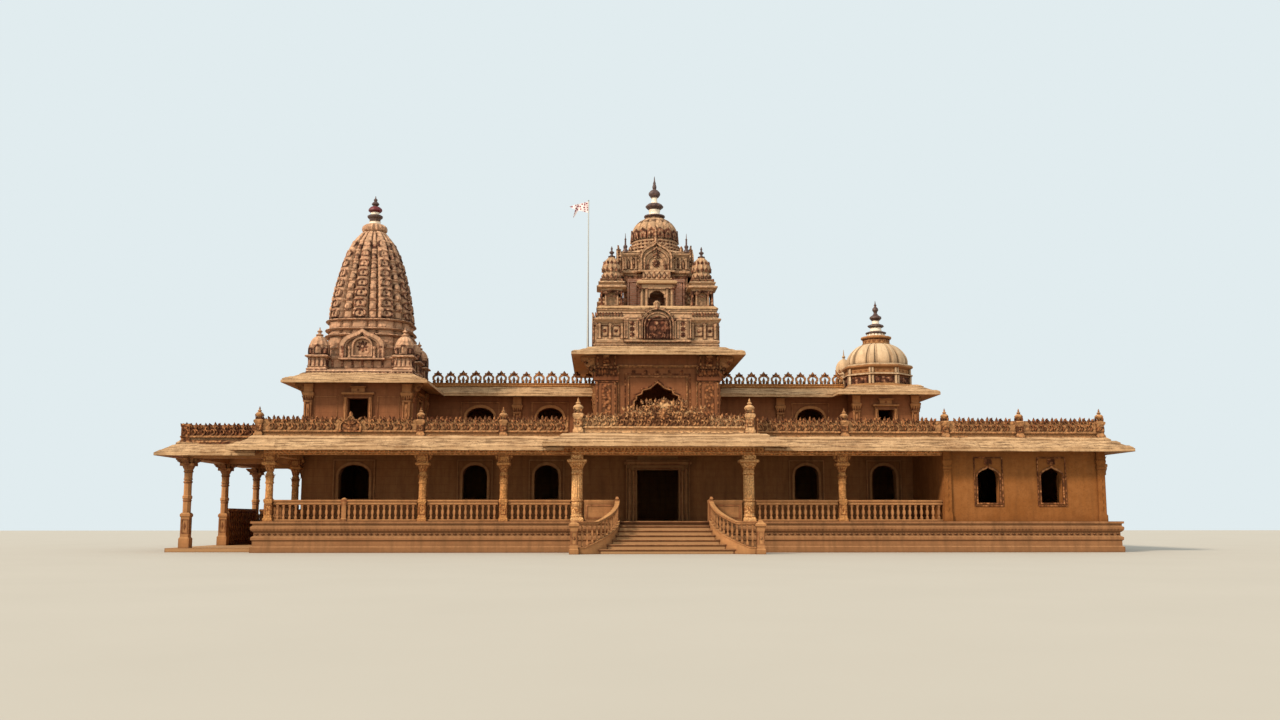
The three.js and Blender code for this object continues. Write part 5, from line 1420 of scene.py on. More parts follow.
# Pilaster capitals, window pillars and lintels of the other upper walls
upperTrim = {
    # Two places in X, the wall's face, half width of the pilaster and half length of its row of leaves
    "pilasters": (
        (-14.47, -10.43, 4.13, 0.15, 0.18), (9.19, 11.86, 8.03, 0.14, 0.17), (-6.2, 5.93, 9.32, 0.16, 0.18),
    ),
    "capital": (
        (0, 6.0), (0.03, 6.04), (0.03, 6.1), (0.01, 6.13), (0.06, 6.3), (0.09, 6.36), (0.09, 6.42),
        (0.04, 6.46), (0.04, 6.74), (0.07, 6.8),
    ),
    # Square windows of the left block and of the dome block
    "squareWindows": ((-12.85, -12.0, 5.2, 6.2, 4.13), (10.18, 10.88, 5.35, 6.15, 8.03)),
    "galleryWindows": ((-7.9, 0.64), (-4.7, 0.6), (7.33, 0.63)),
    "sunkPanels": ((-14.2, -13.3), (-11.6, -10.75)),
    # Corner in plan, quarter, pilasters, arched windows and doorways of each wall that the front doesn't show
    "otherWalls": (
        (-14.6, 13.0, 3, (0.2, 3.1, 5.9, 8.6), (), ()),
        (-10.3, 4.2, 1, (0.35, 4.4), (), (2.6,)),
        (12.0, 8.1, 1, (0.2, 2.45, 4.7), (), ()),
        (-2.6, 9.4, 3, (0.9, 4.2), (), (2.7,)),
        (2.6, 4.2, 1, (1.0, 4.3), (), (2.5,)),
        (12.0, 13.0, 2, (0.2, 7.0, 12.0, 17.2, 22.2, 26.4), (4.67, 9.4, 14.6, 19.9, 24.45), ()),
    ),
}


def archTrim(shape, x, half, sill, spring, crown, face, border=0.1):
    outer = archOutline(x, half + border, sill - border, spring, crown + border * 1.2)
    shape.frame(archOutline(x, half, sill, spring, crown), outer, face - 0.05, face + 0.02)


# Trim of one wall, drawn as a front that starts at its left corner: pilasters, arches and door cases. window
# is half width, sill, spring and crown of the arches.
def dressWall(shape, x, y, quarter, foot, top, pilasters, arches, window, doors=(), doorTop=0):
    wall = Shape()
    profile = (
        (0.03, foot), (0.03, foot + 0.22), (0, foot + 0.26), (0, top - 0.86), (0.03, top - 0.82),
        (0.03, top - 0.76), (0.01, top - 0.73), (0.08, top - 0.5), (0.08, top - 0.44), (0.03, top - 0.4),
        (0.03, top - 0.1), (0.06, top - 0.04),
    )
    for at in pilasters:
        wall.moulded(at - 0.16, at + 0.16, -0.07, 0.02, profile)
        wall.put(lozengeShape(0.09, top - foot - 1.3, 0.045), at, -0.07, foot + 0.36)
        for lift in (0.83, 0.36):
            for part in (-0.12, 0, 0.12):
                wall.put(leafShape(0.12, 0.24, 0.03, 0.08, 3), at + part, -0.09, top - lift)
    half, sill, spring, crown = window
    for at in arches:
        archTrim(wall, at, half, sill, spring, crown, 0)
        wall.border(at - half - 0.2, at + half + 0.2, sill - 0.15, crown + 0.21, 0.05, -0.04, 0.02)
    for at in doors:
        for inset, out in ((0, 0.07), (0.14, 0.04)):
            a, b, head = at - 0.5 - inset, at + 0.5 + inset, doorTop + inset
            wall.frame(oblong(a, b, foot, head), oblong(a - 0.08, b + 0.08, foot, head + 0.08), -out, 0.02)
        cornice = ((0, doorTop + 0.24), (0.05, doorTop + 0.28), (0.05, doorTop + 0.33), (0, doorTop + 0.36))
        wall.moulded(at - 0.74, at + 0.74, -0.09, 0.02, cornice)
    shape.merge(wall, moved(x, y) @ spun(quarter * rightAngle))


# Frames, pillars and a cornice round a square window, with a carved block over it
def squareWindow(shape, x0, x1, z0, z1, face):
    shape.border(x0, x1, z0, z1, 0.04, face - 0.02, face + 0.02)
    shape.border(x0 - 0.13, x1 + 0.13, z0 - 0.13, z1 + 0.13, 0.04, face - 0.03, face + 0.07)
    pillar = (
        (0.06, z0 - 0.1), (0.06, z0), (0.04, z0 + 0.04), (0.045, z0 + 0.4), (0.03, z0 + 0.45),
        (0.045, z1 - 0.12), (0.07, z1 - 0.02), (0.07, z1 + 0.04),
    )
    for x in (x0 - 0.085, x1 + 0.085):
        shape.turned(pillar, 8, x=x, y=face - 0.02)
    cornice = ((0, z1 + 0.13), (0.05, z1 + 0.17), (0.05, z1 + 0.22), (0, z1 + 0.25))
    shape.moulded(x0 - 0.2, x1 + 0.2, face - 0.05, face + 0.07, cornice)
    middle = (x0 + x1) / 2
    block = ((0, z1 + 0.25), (0, z1 + 0.42), (0.06, z1 + 0.46), (0.06, z1 + 0.5))
    shape.moulded(middle - 0.28, middle + 0.28, face - 0.03, face + 0.07, block)
    shape.put(rosetteShape(0.07), middle, face - 0.03, z1 + 0.34)


def makeUpperTrim():
    shape = Shape()
    spots = []
    for *places, face, half, leafHalf in upperTrim["pilasters"]:
        for x in places:
            pilasterFace(shape, x, half, face, 4.35, 6.05)
            shape.moulded(x - half, x + half, face - 0.01, face + 0.06, upperTrim["capital"])
            y = face - 0.03
            spots += rowSpots(x - leafHalf, y, x + leafHalf, y, 6.12, 0.1, 0, (0.8, 0.8, 0.9))
    for window in upperTrim["squareWindows"]:
        squareWindow(shape, *window)
    for x, half in upperTrim["galleryWindows"]:
        archTrim(shape, x, half, 5.15, 5.85, 6.31, 9.4, 0.12)
        shape.border(x - half - 0.2, x + half + 0.2, 5.0, 6.52, 0.05, 9.36, 9.42)
    for x, y, quarter, pilasters, arches, doors in upperTrim["otherWalls"]:
        dressWall(shape, x, y, quarter, 4.3, 6.9, pilasters, arches, (0.6, 5.15, 5.85, 6.31), doors, 6.3)
    for x0, x1 in upperTrim["sunkPanels"]:
        shape.border(x0, x1, 4.9, 6.25, 0.035, 4.18, 4.21)
    bracket = bracketShape(0.5, 0.7, 0.16)
    shape.merge(bracket, moved(-14.6, 4.5, 6.84) @ mirrored)
    shape.put(bracket, -10.3, 4.5, 6.84)
    finishShape(shape, "upperWallTrim", "mouldedSandstone")
    scatterPiece("upperWallLeaves", leafShape(0.1, 0.22, 0.03, 0.07), spots, "carvedSandstone", 0.1)


makeUpperTrim()

# Hall and wing: stone surrounds of doors and windows
hall = {
    "windows": ((-12.5, 0.62), (-7.55, 0.5), (-4.6, 0.5), (6.2, 0.5), (9.44, 0.5)),
    # Half width and face of each stepped band of the door case
    "doorBands": ((0.93, 4.02), (1.1, 4.0), (1.27, 3.99)),
    "jambs": (
        (1.02, 4.03, ((0.06, 1.15), (0.06, 1.4), (0.04, 1.45), (0.045, 2.9), (0.03, 2.95),
                      (0.06, 3.1), (0.06, 3.2))),
        (1.19, 4.02, ((0.06, 1.15), (0.06, 1.4), (0.04, 1.45), (0.045, 3.0), (0.03, 3.05),
                      (0.06, 3.2), (0.06, 3.3))),
    ),
    "wingWindows": (12.41, 14.85), "sideWindows": (3.2, 8.0), "piers": (10.82, 16.75),
    "pier": (
        (0.02, 1.15), (0.02, 1.4), (0, 1.44), (0, 3.1), (0.03, 3.14), (0.03, 3.2), (0, 3.24), (0.05, 3.4),
        (0.05, 3.46), (0.02, 3.48), (0.02, 3.9),
    ),
    "otherWalls": (
        (-14.6, 13.0, 3, (0.3, 2.35, 4.4, 6.45, 8.5), ()),
        (16.9, -0.2, 1, (0.25, 5.8, 10.7, 12.95), ()),
        (16.9, 13.0, 2, (0.3, 6.9, 11.8, 16.9, 22.0, 26.9, 31.2), (4.4, 9.35, 14.3, 19.5, 24.45, 29.4)),
    ),
}


# A wing window: ogee head, square frame round it and a small carved tablet over its peak
def ogeeWindow(shape, x, face):
    half, sill, shoulder, crown = 0.42, 1.84, 2.76, 3.2
    inner = ogeeOutline(x, half, sill + 0.01, shoulder, crown)
    outer = ogeeOutline(x, half + 0.05, sill - 0.04, shoulder, crown + 0.1)
    # The frames take the darker carved sandstone (slot 1) so that they read as dark outlines: partly painted
    # shade along their edges
    shape.frame(inner, outer, face - 0.03, face + 0.05, 1)
    x0, x1 = x - half - 0.1, x + half + 0.1
    shape.border(x0, x1, sill - 0.09, crown + 0.34, 0.035, face - 0.035, face + 0.01, 1)
    shape.border(x - 0.11, x + 0.11, crown + 0.13, crown + 0.28, 0.03, face - 0.03, face + 0.01, 1)
    shape.block(x - 0.1, x + 0.1, face - 0.012, face + 0.01, crown + 0.14, crown + 0.27, 1)


def makeHallTrim():
    shape = Shape()
    for x, half in hall["windows"]:
        archTrim(shape, x, half, 2.05, 3.05, 3.45, 4.2, 0.11)
        shape.border(x - half - 0.18, x + half + 0.18, 1.9, 3.62, 0.06, 4.15, 4.21)
    for half, face in hall["doorBands"]:
        head = 2.35 + half
        inner, outer = oblong(-half, half, 1.15, head), oblong(-half - 0.05, half + 0.05, 1.15, head + 0.05)
        shape.frame(inner, outer, face, 4.07)
    for side in (-1, 1):
        for x, y, profile in hall["jambs"]:
            shape.turned(profile, 10, x=side * x, y=y)
    finishShape(shape, "hallSurrounds", "mouldedSandstone")
    wing = Shape()
    for x in hall["wingWindows"]:
        ogeeWindow(wing, x, -0.2)
    for x in hall["piers"]:
        wing.moulded(x - 0.14, x + 0.14, -0.275, -0.2, hall["pier"], 2)
        for i in range(6):
            wing.put(lozengeShape(0.075, 0.24, 0.03), x, -0.275, 1.5 + i * 0.265, slot=2)
    side = Shape()
    for y in hall["sideWindows"]:
        ogeeWindow(side, y, -16.9)
    wing.merge(side, spun(rightAngle))
    for x, y, quarter, pilasters, arches in hall["otherWalls"]:
        dressWall(wing, x, y, quarter, 1.15, 3.75, pilasters, arches, (0.5, 2.05, 3.05, 3.45))
    finishShape(wing, "wingSurrounds", "mouldedSandstone", "carvedSandstone", "wingRender")


makeHallTrim()
print("walls")

# Spire at the left: a ribbed body in stacked courses over three taller storeys. The outline is pairs of
# height and half width, and a gable or disc is its share of a rib pair, its lift in a course, how far out it
# stands and how wide it is.
spire = {
    "x": -12.45, "y": 6.8, "storeyFoot": 8.06, "pairs": 10, "courses": 9, "squareness": 3.2, "core": 0.97,
    "outline": (
        (9.76, 1.8), (10.5, 1.72), (11.2, 1.6), (11.82, 1.45), (12.5, 1.27), (13.08, 1.05), (13.52, 0.77),
        (13.84, 0.46),
    ),
    "ribPair": (
        (0, 0.0), (0.0625, 0.75), (0.125, 0.95), (0.3125, 1.0), (0.5, 0.95), (0.5625, 0.75), (0.625, 0.0),
        (0.6875, 0.6), (0.8125, 0.75), (0.9375, 0.6), (1.0, 0.0),
    ),
    "course": ((0, 0.1), (0.125, 0.35), (0.625, 0.2), (0.75, 1.0), (0.875, 0.9), (0.9375, 0.0), (1.0, 0.1)),
    "gable": (0.31, 0, 1.0, 0.46), "disc": (0.81, 0.5, 0.955, 0.27),
}


def spireHalf(z):
    outline = spire["outline"]
    for (z0, r0), (z1, r1) in zip(outline, outline[1:]):
        if z <= z1:
            return r0 + (r1 - r0) * (max(z, z0) - z0) / (z1 - z0)
    return outline[-1][1]


# How far the squared plan reaches at an angle, for a half width of one
def squareReach(angle):
    p = spire["squareness"]
    return (abs(math.cos(angle)) ** p + abs(math.sin(angle)) ** p) ** (-1 / p)


# A horseshoe gable with a bud in it, one for each wide rib and course
def eyeShape():
    shape = Shape()
    angles = [math.radians(-35 + i * 25) for i in range(11)]
    shape.strip([(0.5 * math.cos(a), 0.42 + 0.46 * math.sin(a)) for a in angles], 0.14, -0.09, 0.05)
    shape.post(((0.03, 0.2), (0.07, 0.36), (0.07, 0.5), (0.02, 0.68)), 0, -0.01)
    shape.block(-0.5, 0.5, -0.1, 0.05, 0.0, 0.09)
    return shape


# Places for a gable or a disc on every rib pair and course, each leaned to the slope of the spire
def spireSpots(part, lift, out, share, square):
    foot, rise = spire["outline"][0][0], spire["outline"][-1][0] - spire["outline"][0][0]
    high = rise / spire["courses"]
    spots = []
    for course in range(spire["courses"] - (1 if lift else 0)):
        z = foot + high * (course + lift)
        middle = spireHalf(z + high / 2)
        lean = math.atan2(spireHalf(z) - spireHalf(z + high), high)
        width = 2 * math.pi * middle / spire["pairs"] * share
        for pair in range(spire["pairs"]):
            angle = 2 * math.pi * (pair + part) / spire["pairs"]
            reach = middle * spire["core"] * squareReach(angle) * out
            x, y = spire["x"] + reach * math.cos(angle), spire["y"] + reach * math.sin(angle)
            size = (width, width if square else 1.0, high * 0.86)
            spots.append(spot(x, y, z + 0.03, angle + rightAngle, size, -lean))
    return spots


def makeSpire():
    foot, half = spire["outline"][0]
    rise = spire["outline"][-1][0] - foot
    outline = [((z - foot) / rise, r / half) for z, r in spire["outline"]]
    storeys = ((0, 0.985), (0.3, 1.0), (1, 0.99))
    parts = (
        ("spireBody", "spireCourses", outline, foot - 0.01, rise + 0.01, spire["courses"], 0.17, 0.045,
         ("spire",)),
        ("spireStoreys", "spireStoreys", storeys, spire["storeyFoot"] - 0.05, 1.76, 3, 0.08, 0.035, ()),
    )
    for name, treeName, line, z, high, courses, ribDepth, courseDepth, replaced in parts:
        tree = ribbedTree(treeName, line, spire["ribPair"], spire["course"])
        values = {
            "Centre": (spire["x"], spire["y"], z), "Height": high, "Reach": half * spire["core"],
            "Ribs": spire["pairs"], "Courses": courses, "Steps In Rib": 16, "Steps In Course": 16,
            "Squareness": spire["squareness"], "Rib Depth": ribDepth, "Course Depth": courseDepth,
            "Material": finishes["spireStone"],
        }
        addPiece(name, grow(name, tree, values), replaced=replaced)
    scatterPiece("spireGables", eyeShape(), spireSpots(*spire["gable"], False), "spireStone", 0.08, 21)
    disc = Shape()
    disc.turned(((0.3, 0.2), (0.5, 0.36), (0.56, 0.6), (0.5, 0.84), (0.3, 1.0)), 8)
    scatterPiece("spireRibDiscs", disc, spireSpots(*spire["disc"], True), "spireStone", 0.05, 22)


makeSpire()

# Ribbed cushion disc, pale neck, dark cup, neck, red painted disc and a stepped tip. As in every finial here,
# a part is its finish, sides, flutes and their depth, and then its pairs of radius and height.
spireFinial = (
    (0, 64, 16, 0.14, (0.4, 13.82), (0.5, 13.86), (0.56, 13.93), (0.565, 14.0), (0.53, 14.1), (0.44, 14.18),
     (0.3, 14.23), (0.22, 14.26)),
    (3, 24, 0, 0, (0.25, 14.24), (0.24, 14.27), (0.24, 14.32), (0.26, 14.34)),
    (1, 28, 0, 0, (0.2, 14.33), (0.23, 14.37), (0.25, 14.46), (0.33, 14.53), (0.34, 14.6), (0.28, 14.64),
     (0.2, 14.66)),
    (3, 24, 0, 0, (0.19, 14.65), (0.18, 14.7), (0.2, 14.76)),
    (2, 32, 8, 0.05, (0.17, 14.75), (0.25, 14.79), (0.305, 14.84), (0.31, 14.89), (0.28, 14.95),
     (0.2, 15.02)),
    (1, 20, 0, 0, (0.2, 15.01), (0.12, 15.05), (0.09, 15.08), (0.155, 15.12), (0.17, 15.16), (0.12, 15.23),
     (0.06, 15.28), (0.085, 15.33), (0.08, 15.37), (0.03, 15.42), (0.01, 15.53)),
)


def makeFinial(name, parts, x, y, leaves, replaced, *finishNames):
    shape = Shape()
    shape.stack(parts, x, y)
    for width, high, reach, z, count in leaves:
        leaf = Shape()
        leaf.put(leafShape(width, high, 0.03, 0.03, 3), 0, -reach, z)
        shape.around(leaf, x, y, count)
    finishShape(shape, name, *finishNames, slot="finial_paint", replaced=(replaced,))


makeFinial(
    "spireFinial", spireFinial, spire["x"], spire["y"], (), "spire_finial",
    "spireStone", "darkFinialStone", "redFinialPaint", "limeWashedStone",
)

# A small shrine 0.86 m wide at the foot of the spire, with its own foot at z 0
shrine = {
    "body": (
        (0.43, 0), (0.43, 0.06), (0.38, 0.1), (0.38, 0.13), (0.41, 0.16), (0.36, 0.2), (0.34, 0.5),
        (0.39, 0.53), (0.48, 0.56), (0.48, 0.61), (0.41, 0.64), (0.35, 0.66),
    ),
    "colonnette": ((0.035, 0.18), (0.035, 0.22), (0.022, 0.24), (0.022, 0.44), (0.035, 0.47), (0.035, 0.52)),
    "dome": (
        (0, 48, 12, 0.1, (0.36, 0.66), (0.4, 0.7), (0.42, 0.9), (0.42, 1.04), (0.44, 1.07), (0.4, 1.12),
         (0.37, 1.22), (0.3, 1.34), (0.2, 1.43), (0.12, 1.48)),
        (0, 12, 0, 0, (0.1, 1.46), (0.16, 1.5), (0.16, 1.54), (0.07, 1.58), (0.06, 1.62), (0.11, 1.66),
         (0.11, 1.69), (0.04, 1.74), (0.01, 1.86)),
    ),
}


def shrineShape():
    shape = Shape()
    shape.post(shrine["body"])
    face = Shape()
    for x in (-0.27, -0.09, 0.09, 0.27):
        face.turned(shrine["colonnette"], 6, x=x, y=-0.37)
    inner, outer = archOutline(0, 0.13, 0.7, 0.86, 1.02, 6), archOutline(0, 0.17, 0.68, 0.86, 1.07, 6)
    face.frame(inner, outer, -0.42, -0.3)
    for x in (-0.27, 0.27):
        inner, outer = archOutline(x, 0.08, 0.7, 0.82, 0.93, 6), archOutline(x, 0.11, 0.68, 0.82, 0.97, 6)
        face.frame(inner, outer, -0.38, -0.24)
    shape.around(face)
    shape.stack(shrine["dome"])
    return shape


# Platform of the spire: moulded base, a course of colonnettes, three rings, and a niche at front and back
platform = {
    "x0": -14.7, "x1": -10.2, "y0": 4.3, "y1": 9.3,
    "base": ((0, 7.22), (0, 7.27), (-0.02, 7.29), (-0.02, 7.33), (0, 7.35), (-0.04, 7.38), (-0.06, 7.43)),
    "body": (
        (0, 7.42), (0, 7.48), (-0.03, 7.5), (-0.03, 7.55), (0, 7.58), (-0.05, 7.62), (-0.05, 7.9),
        (0.0, 7.93), (0.04, 7.97), (0.04, 8.02), (-0.02, 8.05), (-0.06, 8.08),
    ),
    "colonnette": ((0.05, 7.6), (0.05, 7.65), (0.035, 7.68), (0.035, 7.86), (0.05, 7.89), (0.05, 7.92)),
    "rings": ((9.0, 1.87), (9.27, 1.86), (9.66, 1.84)),
    "ring": ((-0.04, -0.12), (-0.03, 0.04), (0.01, 0.09), (0.04, 0.07), (0.08, -0.12)),
    "nicheColumn": (
        (0.075, 7.95), (0.075, 8.03), (0.045, 8.07), (0.045, 8.34), (0.075, 8.4), (0.075, 8.46),
    ),
    "nicheLeaves": ((0.9, 8.42), (0.74, 8.6), (0.55, 8.76), (0.38, 8.92)),
}


def spireNiche():
    niche = Shape()
    outer = ogeeOutline(0, 0.92, 7.9, 8.35, 9.25)
    inner = [(x * 0.8, 7.93 + (z - 7.9) * 0.84) for x, z in outer]
    second = [(x * 0.72, 7.95 + (z - 7.9) * 0.78) for x, z in outer]
    niche.frame(inner, outer, -2.13, -1.75)
    niche.frame(second, inner, -2.08, -1.75)
    niche.plate(inner, -1.9, -1.7)
    niche.frame(archOutline(0, 0.36, 8.1, 8.5, 8.8, 8), archOutline(0, 0.44, 8.02, 8.5, 8.9, 8), -2.06, -1.85)
    niche.put(rosetteShape(0.26), 0, -1.92, 8.48)
    for side in (-1, 1):
        for out, y in ((0.52, -2.02), (0.8, -2.08)):
            niche.turned(platform["nicheColumn"], 8, x=side * out, y=y)
    niche.moulded(-0.96, 0.96, -2.16, -1.8, ((0, 7.88), (0.02, 7.9), (0.02, 7.94), (0, 7.96)))
    gableLeaves(niche, (0.14, 0.2, 0.05, 0.02, 3), -2.0, 0.8, platform["nicheLeaves"])
    return niche


def makeSpirePlatform():
    x, y = spire["x"], spire["y"]
    x0, x1, y0, y1 = platform["x0"], platform["x1"], platform["y0"], platform["y1"]
    shape = Shape()
    shape.moulded(x0 + 0.02, x1 - 0.02, y0 + 0.02, y1 - 0.02, platform["base"])
    shape.moulded(x - 1.88, x + 1.88, y - 1.88, y + 1.88, platform["body"])
    wall = Shape()
    for i in range(9):
        wall.post(platform["colonnette"], -1.68 + i * 0.42, -1.83)
    shape.around(wall, x, y)
    angles = [2 * math.pi * i / 48 for i in range(48)]
    plan = [(math.cos(a) * squareReach(a), math.sin(a) * squareReach(a)) for a in angles]
    for z, reach in platform["rings"]:
        sizes = [(reach * spire["core"] + out, z + lift) for lift, out in platform["ring"]]
        shape.rings([[(x + r * px, y + r * py, high) for px, py in plan] for r, high in sizes])
    shape.around(spireNiche(), x, y, 2)
    finishShape(shape, "spirePlatform", "spireStone", replaced=("spire_platform",))
    shrines = [spot(x + sx * 1.79, y + sy * 2.01, 7.41) for sx in (-1, 1) for sy in (-1, 0, 1)]
    scatterPiece("spireShrines", shrineShape(), shrines, "spireStone")
    petals = edgeSpots(x0, x1, y0, y1, 7.24, 0.16, 0.02)
    scatterPiece("platformPetals", lozengeShape(0.07, 0.1, 0.02), petals, "spireStone")


makeSpirePlatform()
print("spire")

# Gate tower, tier by tier: every tier is built round its own axis and set over the entrance
gate = {"x": 0.0, "y": 6.8, "tierTwo": 10.14, "pavilion": 1.93}


def finishOnGate(shape, name, node, *finishNames):
    placed = Shape()
    placed.put(shape, gate["x"], gate["y"])
    finishShape(placed, name, *finishNames, replaced=(node,))


def colonnette(shape, x, y, radius, z0, z1, sides=8):
    parts = (
        (1.4, z0), (1.4, z0 + 0.04), (1, z0 + 0.07), (0.85, z1 - 0.12), (1.1, z1 - 0.1), (0.9, z1 - 0.08),
        (1.5, z1 - 0.02), (1.5, z1),
    )
    shape.turned([(radius * r, z) for r, z in parts], sides, x=x, y=y)


# Rims of one outline, each a little deeper in than the last: its share of width and of height, and its front
def steppedRims(shape, outline, foot, rims, inset, back):
    for wide, high, front in rims:
        rim = shrunk(outline, foot, wide, high)
        shape.frame(shrunk(rim, foot, *inset), rim, front, back)


tierOne = {
    "body": (
        (2.6, 8.38), (2.62, 8.4), (2.62, 8.45), (2.58, 8.47), (2.62, 8.49), (2.62, 8.52), (2.55, 8.56),
        (2.6, 8.6), (2.62, 8.63), (2.62, 8.69), (2.5, 8.76), (2.5, 9.4), (2.54, 9.42), (2.55, 9.45),
        (2.66, 9.54), (2.69, 9.57), (2.69, 9.62), (2.56, 9.67), (2.52, 9.8), (2.5, 9.84), (2.54, 9.86),
        (2.5, 9.95), (2.55, 9.98), (2.56, 10.08),
    ),
    "pilaster": ((0.01, 8.76), (0.01, 8.84), (0, 8.87), (0, 9.32), (0.02, 9.36), (0.02, 9.44)),
    "strip": ((0.008, 8.76), (0.008, 8.82), (0, 8.84), (0, 9.44), (0.015, 9.46), (0.015, 9.5)),
    "porch": (
        (0.03, 8.62), (0.03, 8.67), (0, 8.7), (0.02, 8.73), (0, 8.76), (0, 9.5), (0.04, 9.53), (0.04, 9.58),
        (0.01, 9.61), (0.01, 9.64),
    ),
    "rims": ((1.0, 1.0, -2.77), (0.84, 0.87, -2.76), (0.66, 0.74, -2.74)),
    "leaves": ((0.66, 9.5), (0.56, 9.68), (0.4, 9.84), (0.22, 9.97)),
}


# Each side: pilasters with rosette panels between them, strips and rosettes beside an arched niche
def makeGateTierOne():
    shape = Shape()
    shape.post(tierOne["body"])
    side = Shape()
    for way in (-1, 1):
        for x in (1.5, 2.0, 2.44):
            side.moulded(way * x - 0.05, way * x + 0.05, -2.56, -2.48, tierOne["pilaster"])
        for middle, half in ((1.75, 0.14), (2.22, 0.11)):
            side.border(way * middle - half, way * middle + half, 8.9, 9.32, 0.03, -2.54, -2.49)
            side.put(rosetteShape(0.1), way * middle, -2.51, 9.11)
        for x in (0.74, 0.86, 1.28, 1.38):
            side.moulded(way * x - 0.03, way * x + 0.03, -2.74, -2.66, tierOne["strip"])
        for i in range(3):
            side.put(rosetteShape(0.14), way * 1.07, -2.7, 8.92 + i * 0.24)
        side.put(scrollShape(), way * 0.22, -2.69, 8.78, size=0.85)
    side.moulded(-1.4, 1.4, -2.69, -2.3, tierOne["porch"])
    outer = archOutline(0, 0.68, 8.74, 9.4, 10.06, 16)
    steppedRims(side, outer, 8.72, tierOne["rims"], (0.93, 0.95), -2.6)
    side.plate(shrunk(outer, 8.72, 0.9, 0.9), -2.7, -2.45)
    side.put(rosetteShape(0.24, 10), 0, -2.68, 9.34)
    side.put(rosetteShape(0.12), 0, -2.72, 9.34)
    side.put(leafShape(0.2, 0.34, 0.08, 0.06), 0, -2.7, 9.98)
    gableLeaves(side, (0.13, 0.17, 0.05, 0.02, 3), -2.7, 0.9, tierOne["leaves"])
    shape.around(side)
    finishOnGate(shape, "gateTierOne", "gate_tier_1", "gateTowerStone")
    leaves = []
    for quarter in range(4):
        turned = moved(gate["x"], gate["y"]) @ spun(quarter * rightAngle)
        for x in (-2.6, 1.45):
            for place, _, _ in rowSpots(x, -2.58, x + 1.15, -2.58, 9.72, 0.13):
                leaves.append(spot(*(turned @ Vector(place)), quarter * rightAngle, (1, 1, 0.8)))
    scatterPiece("gateTierLeaves", leafShape(0.12, 0.24, 0.035, 0.05, 4), leaves, "gateTowerStone", 0.1, 31)


makeGateTierOne()

# Corner pavilion of tier two, foot at z 0: paired columns, double cornice, stepped roof, ribbed domelet
gatePavilion = {
    "arch": ((0.2, 0.5), (0.2, 0.56), (0.1, 0.64), (0, 0.67)),
    "archRim": ((0.2, 0.46), (0.46, 0.7), (0.2, 0.74), (0, 0.76)),
    "roof": (
        (0.46, 0.69), (0.47, 0.78), (0.5, 0.8), (0.63, 0.84), (0.64, 0.87), (0.63, 0.9), (0.54, 0.94),
        (0.48, 0.96), (0.48, 1.0), (0.55, 1.04), (0.57, 1.07), (0.55, 1.1), (0.46, 1.13), (0.42, 1.14),
        (0.42, 1.19), (0.47, 1.2), (0.47, 1.23), (0.38, 1.25),
    ),
    "dome": (
        (0.36, 1.23), (0.4, 1.27), (0.41, 1.36), (0.42, 1.47), (0.4, 1.5), (0.36, 1.54), (0.36, 1.57),
        (0.41, 1.62), (0.42, 1.72), (0.41, 1.82), (0.37, 1.95), (0.3, 2.08), (0.2, 2.18), (0.14, 2.24),
    ),
    # Reach, height and size of each ring of leaves on the domelet
    "leaves": ((0.39, 1.25, 1), (0.39, 1.58, 0.9), (0.33, 1.9, 0.8)),
    "finial": (
        (0.1, 0), (0.15, 0.03), (0.16, 0.07), (0.06, 0.11), (0.05, 0.17), (0.1, 0.21), (0.11, 0.26),
        (0.05, 0.3), (0.03, 0.36), (0.05, 0.4), (0.008, 0.52),
    ),
}


def pavilionShape():
    shape = Shape()
    shape.post(((0.54, -0.04), (0.54, 0.03), (0.5, 0.05), (0.5, 0.08)))
    shape.post(((0.2, 0.05), (0.2, 0.78)))
    side = Shape()
    for x in (-0.42, -0.25, 0.25, 0.42):
        colonnette(side, x, -0.43, 0.045, 0.07, 0.7)
    side.frame(mirroredOutline(gatePavilion["arch"]), mirroredOutline(gatePavilion["archRim"]), -0.44, -0.4)
    for x in (-0.45, -0.15, 0.15, 0.45):
        side.put(leafShape(0.12, 0.13, 0.03, 0.02, 3), x, -0.47, 1.12)
    shape.around(side)
    shape.post(gatePavilion["roof"])
    shape.turned(gatePavilion["dome"], 36, 12, 0.18)
    rib = Shape()
    for reach, z, size in gatePavilion["leaves"]:
        rib.put(leafShape(0.17, 0.2, 0.05, 0.04, 3), 0, -reach, z, size=size)
    shape.around(rib, count=12)
    return shape


tierTwo = {
    "foot": ((2.5, 10.03), (2.58, 10.05), (2.58, 10.09), (2.44, 10.2)),
    "head": ((1.36, 11.6), (1.37, 11.64), (1.35, 11.68), (1.38, 11.72), (1.36, 11.8)),
    # The core has a deep recess behind each porch: from and to in X, reach in Y and foot of each block
    "core": (
        (-1.34, -0.34, 1.34, 10.1), (0.34, 1.34, 1.34, 10.1), (-0.34, 0.34, 0.4, 10.1),
        (-0.34, 0.34, 1.34, 10.96),
    ),
    "porchArch": ((0.3, 10.6), (0.3, 10.76), (0.14, 10.88), (0, 10.92)),
    "porchRim": ((0.4, 10.6), (0.4, 10.98), (0.2, 11.0), (0, 11.0)),
    "threshold": ((0, 10.12), (0, 10.19), (-0.03, 10.21)),
    "boss": ((0.2, 10.14), (0.22, 10.22), (0.14, 10.28), (0.16, 10.38), (0.06, 10.48)),
    "eave": ((-0.06, 11.17), (0, 11.2), (0.02, 11.24), (0.02, 11.29), (-0.08, 11.34)),
    "attic": ((0, 11.32), (0, 11.4), (0.03, 11.42), (0.03, 11.47), (0, 11.49), (-0.08, 11.78)),
}


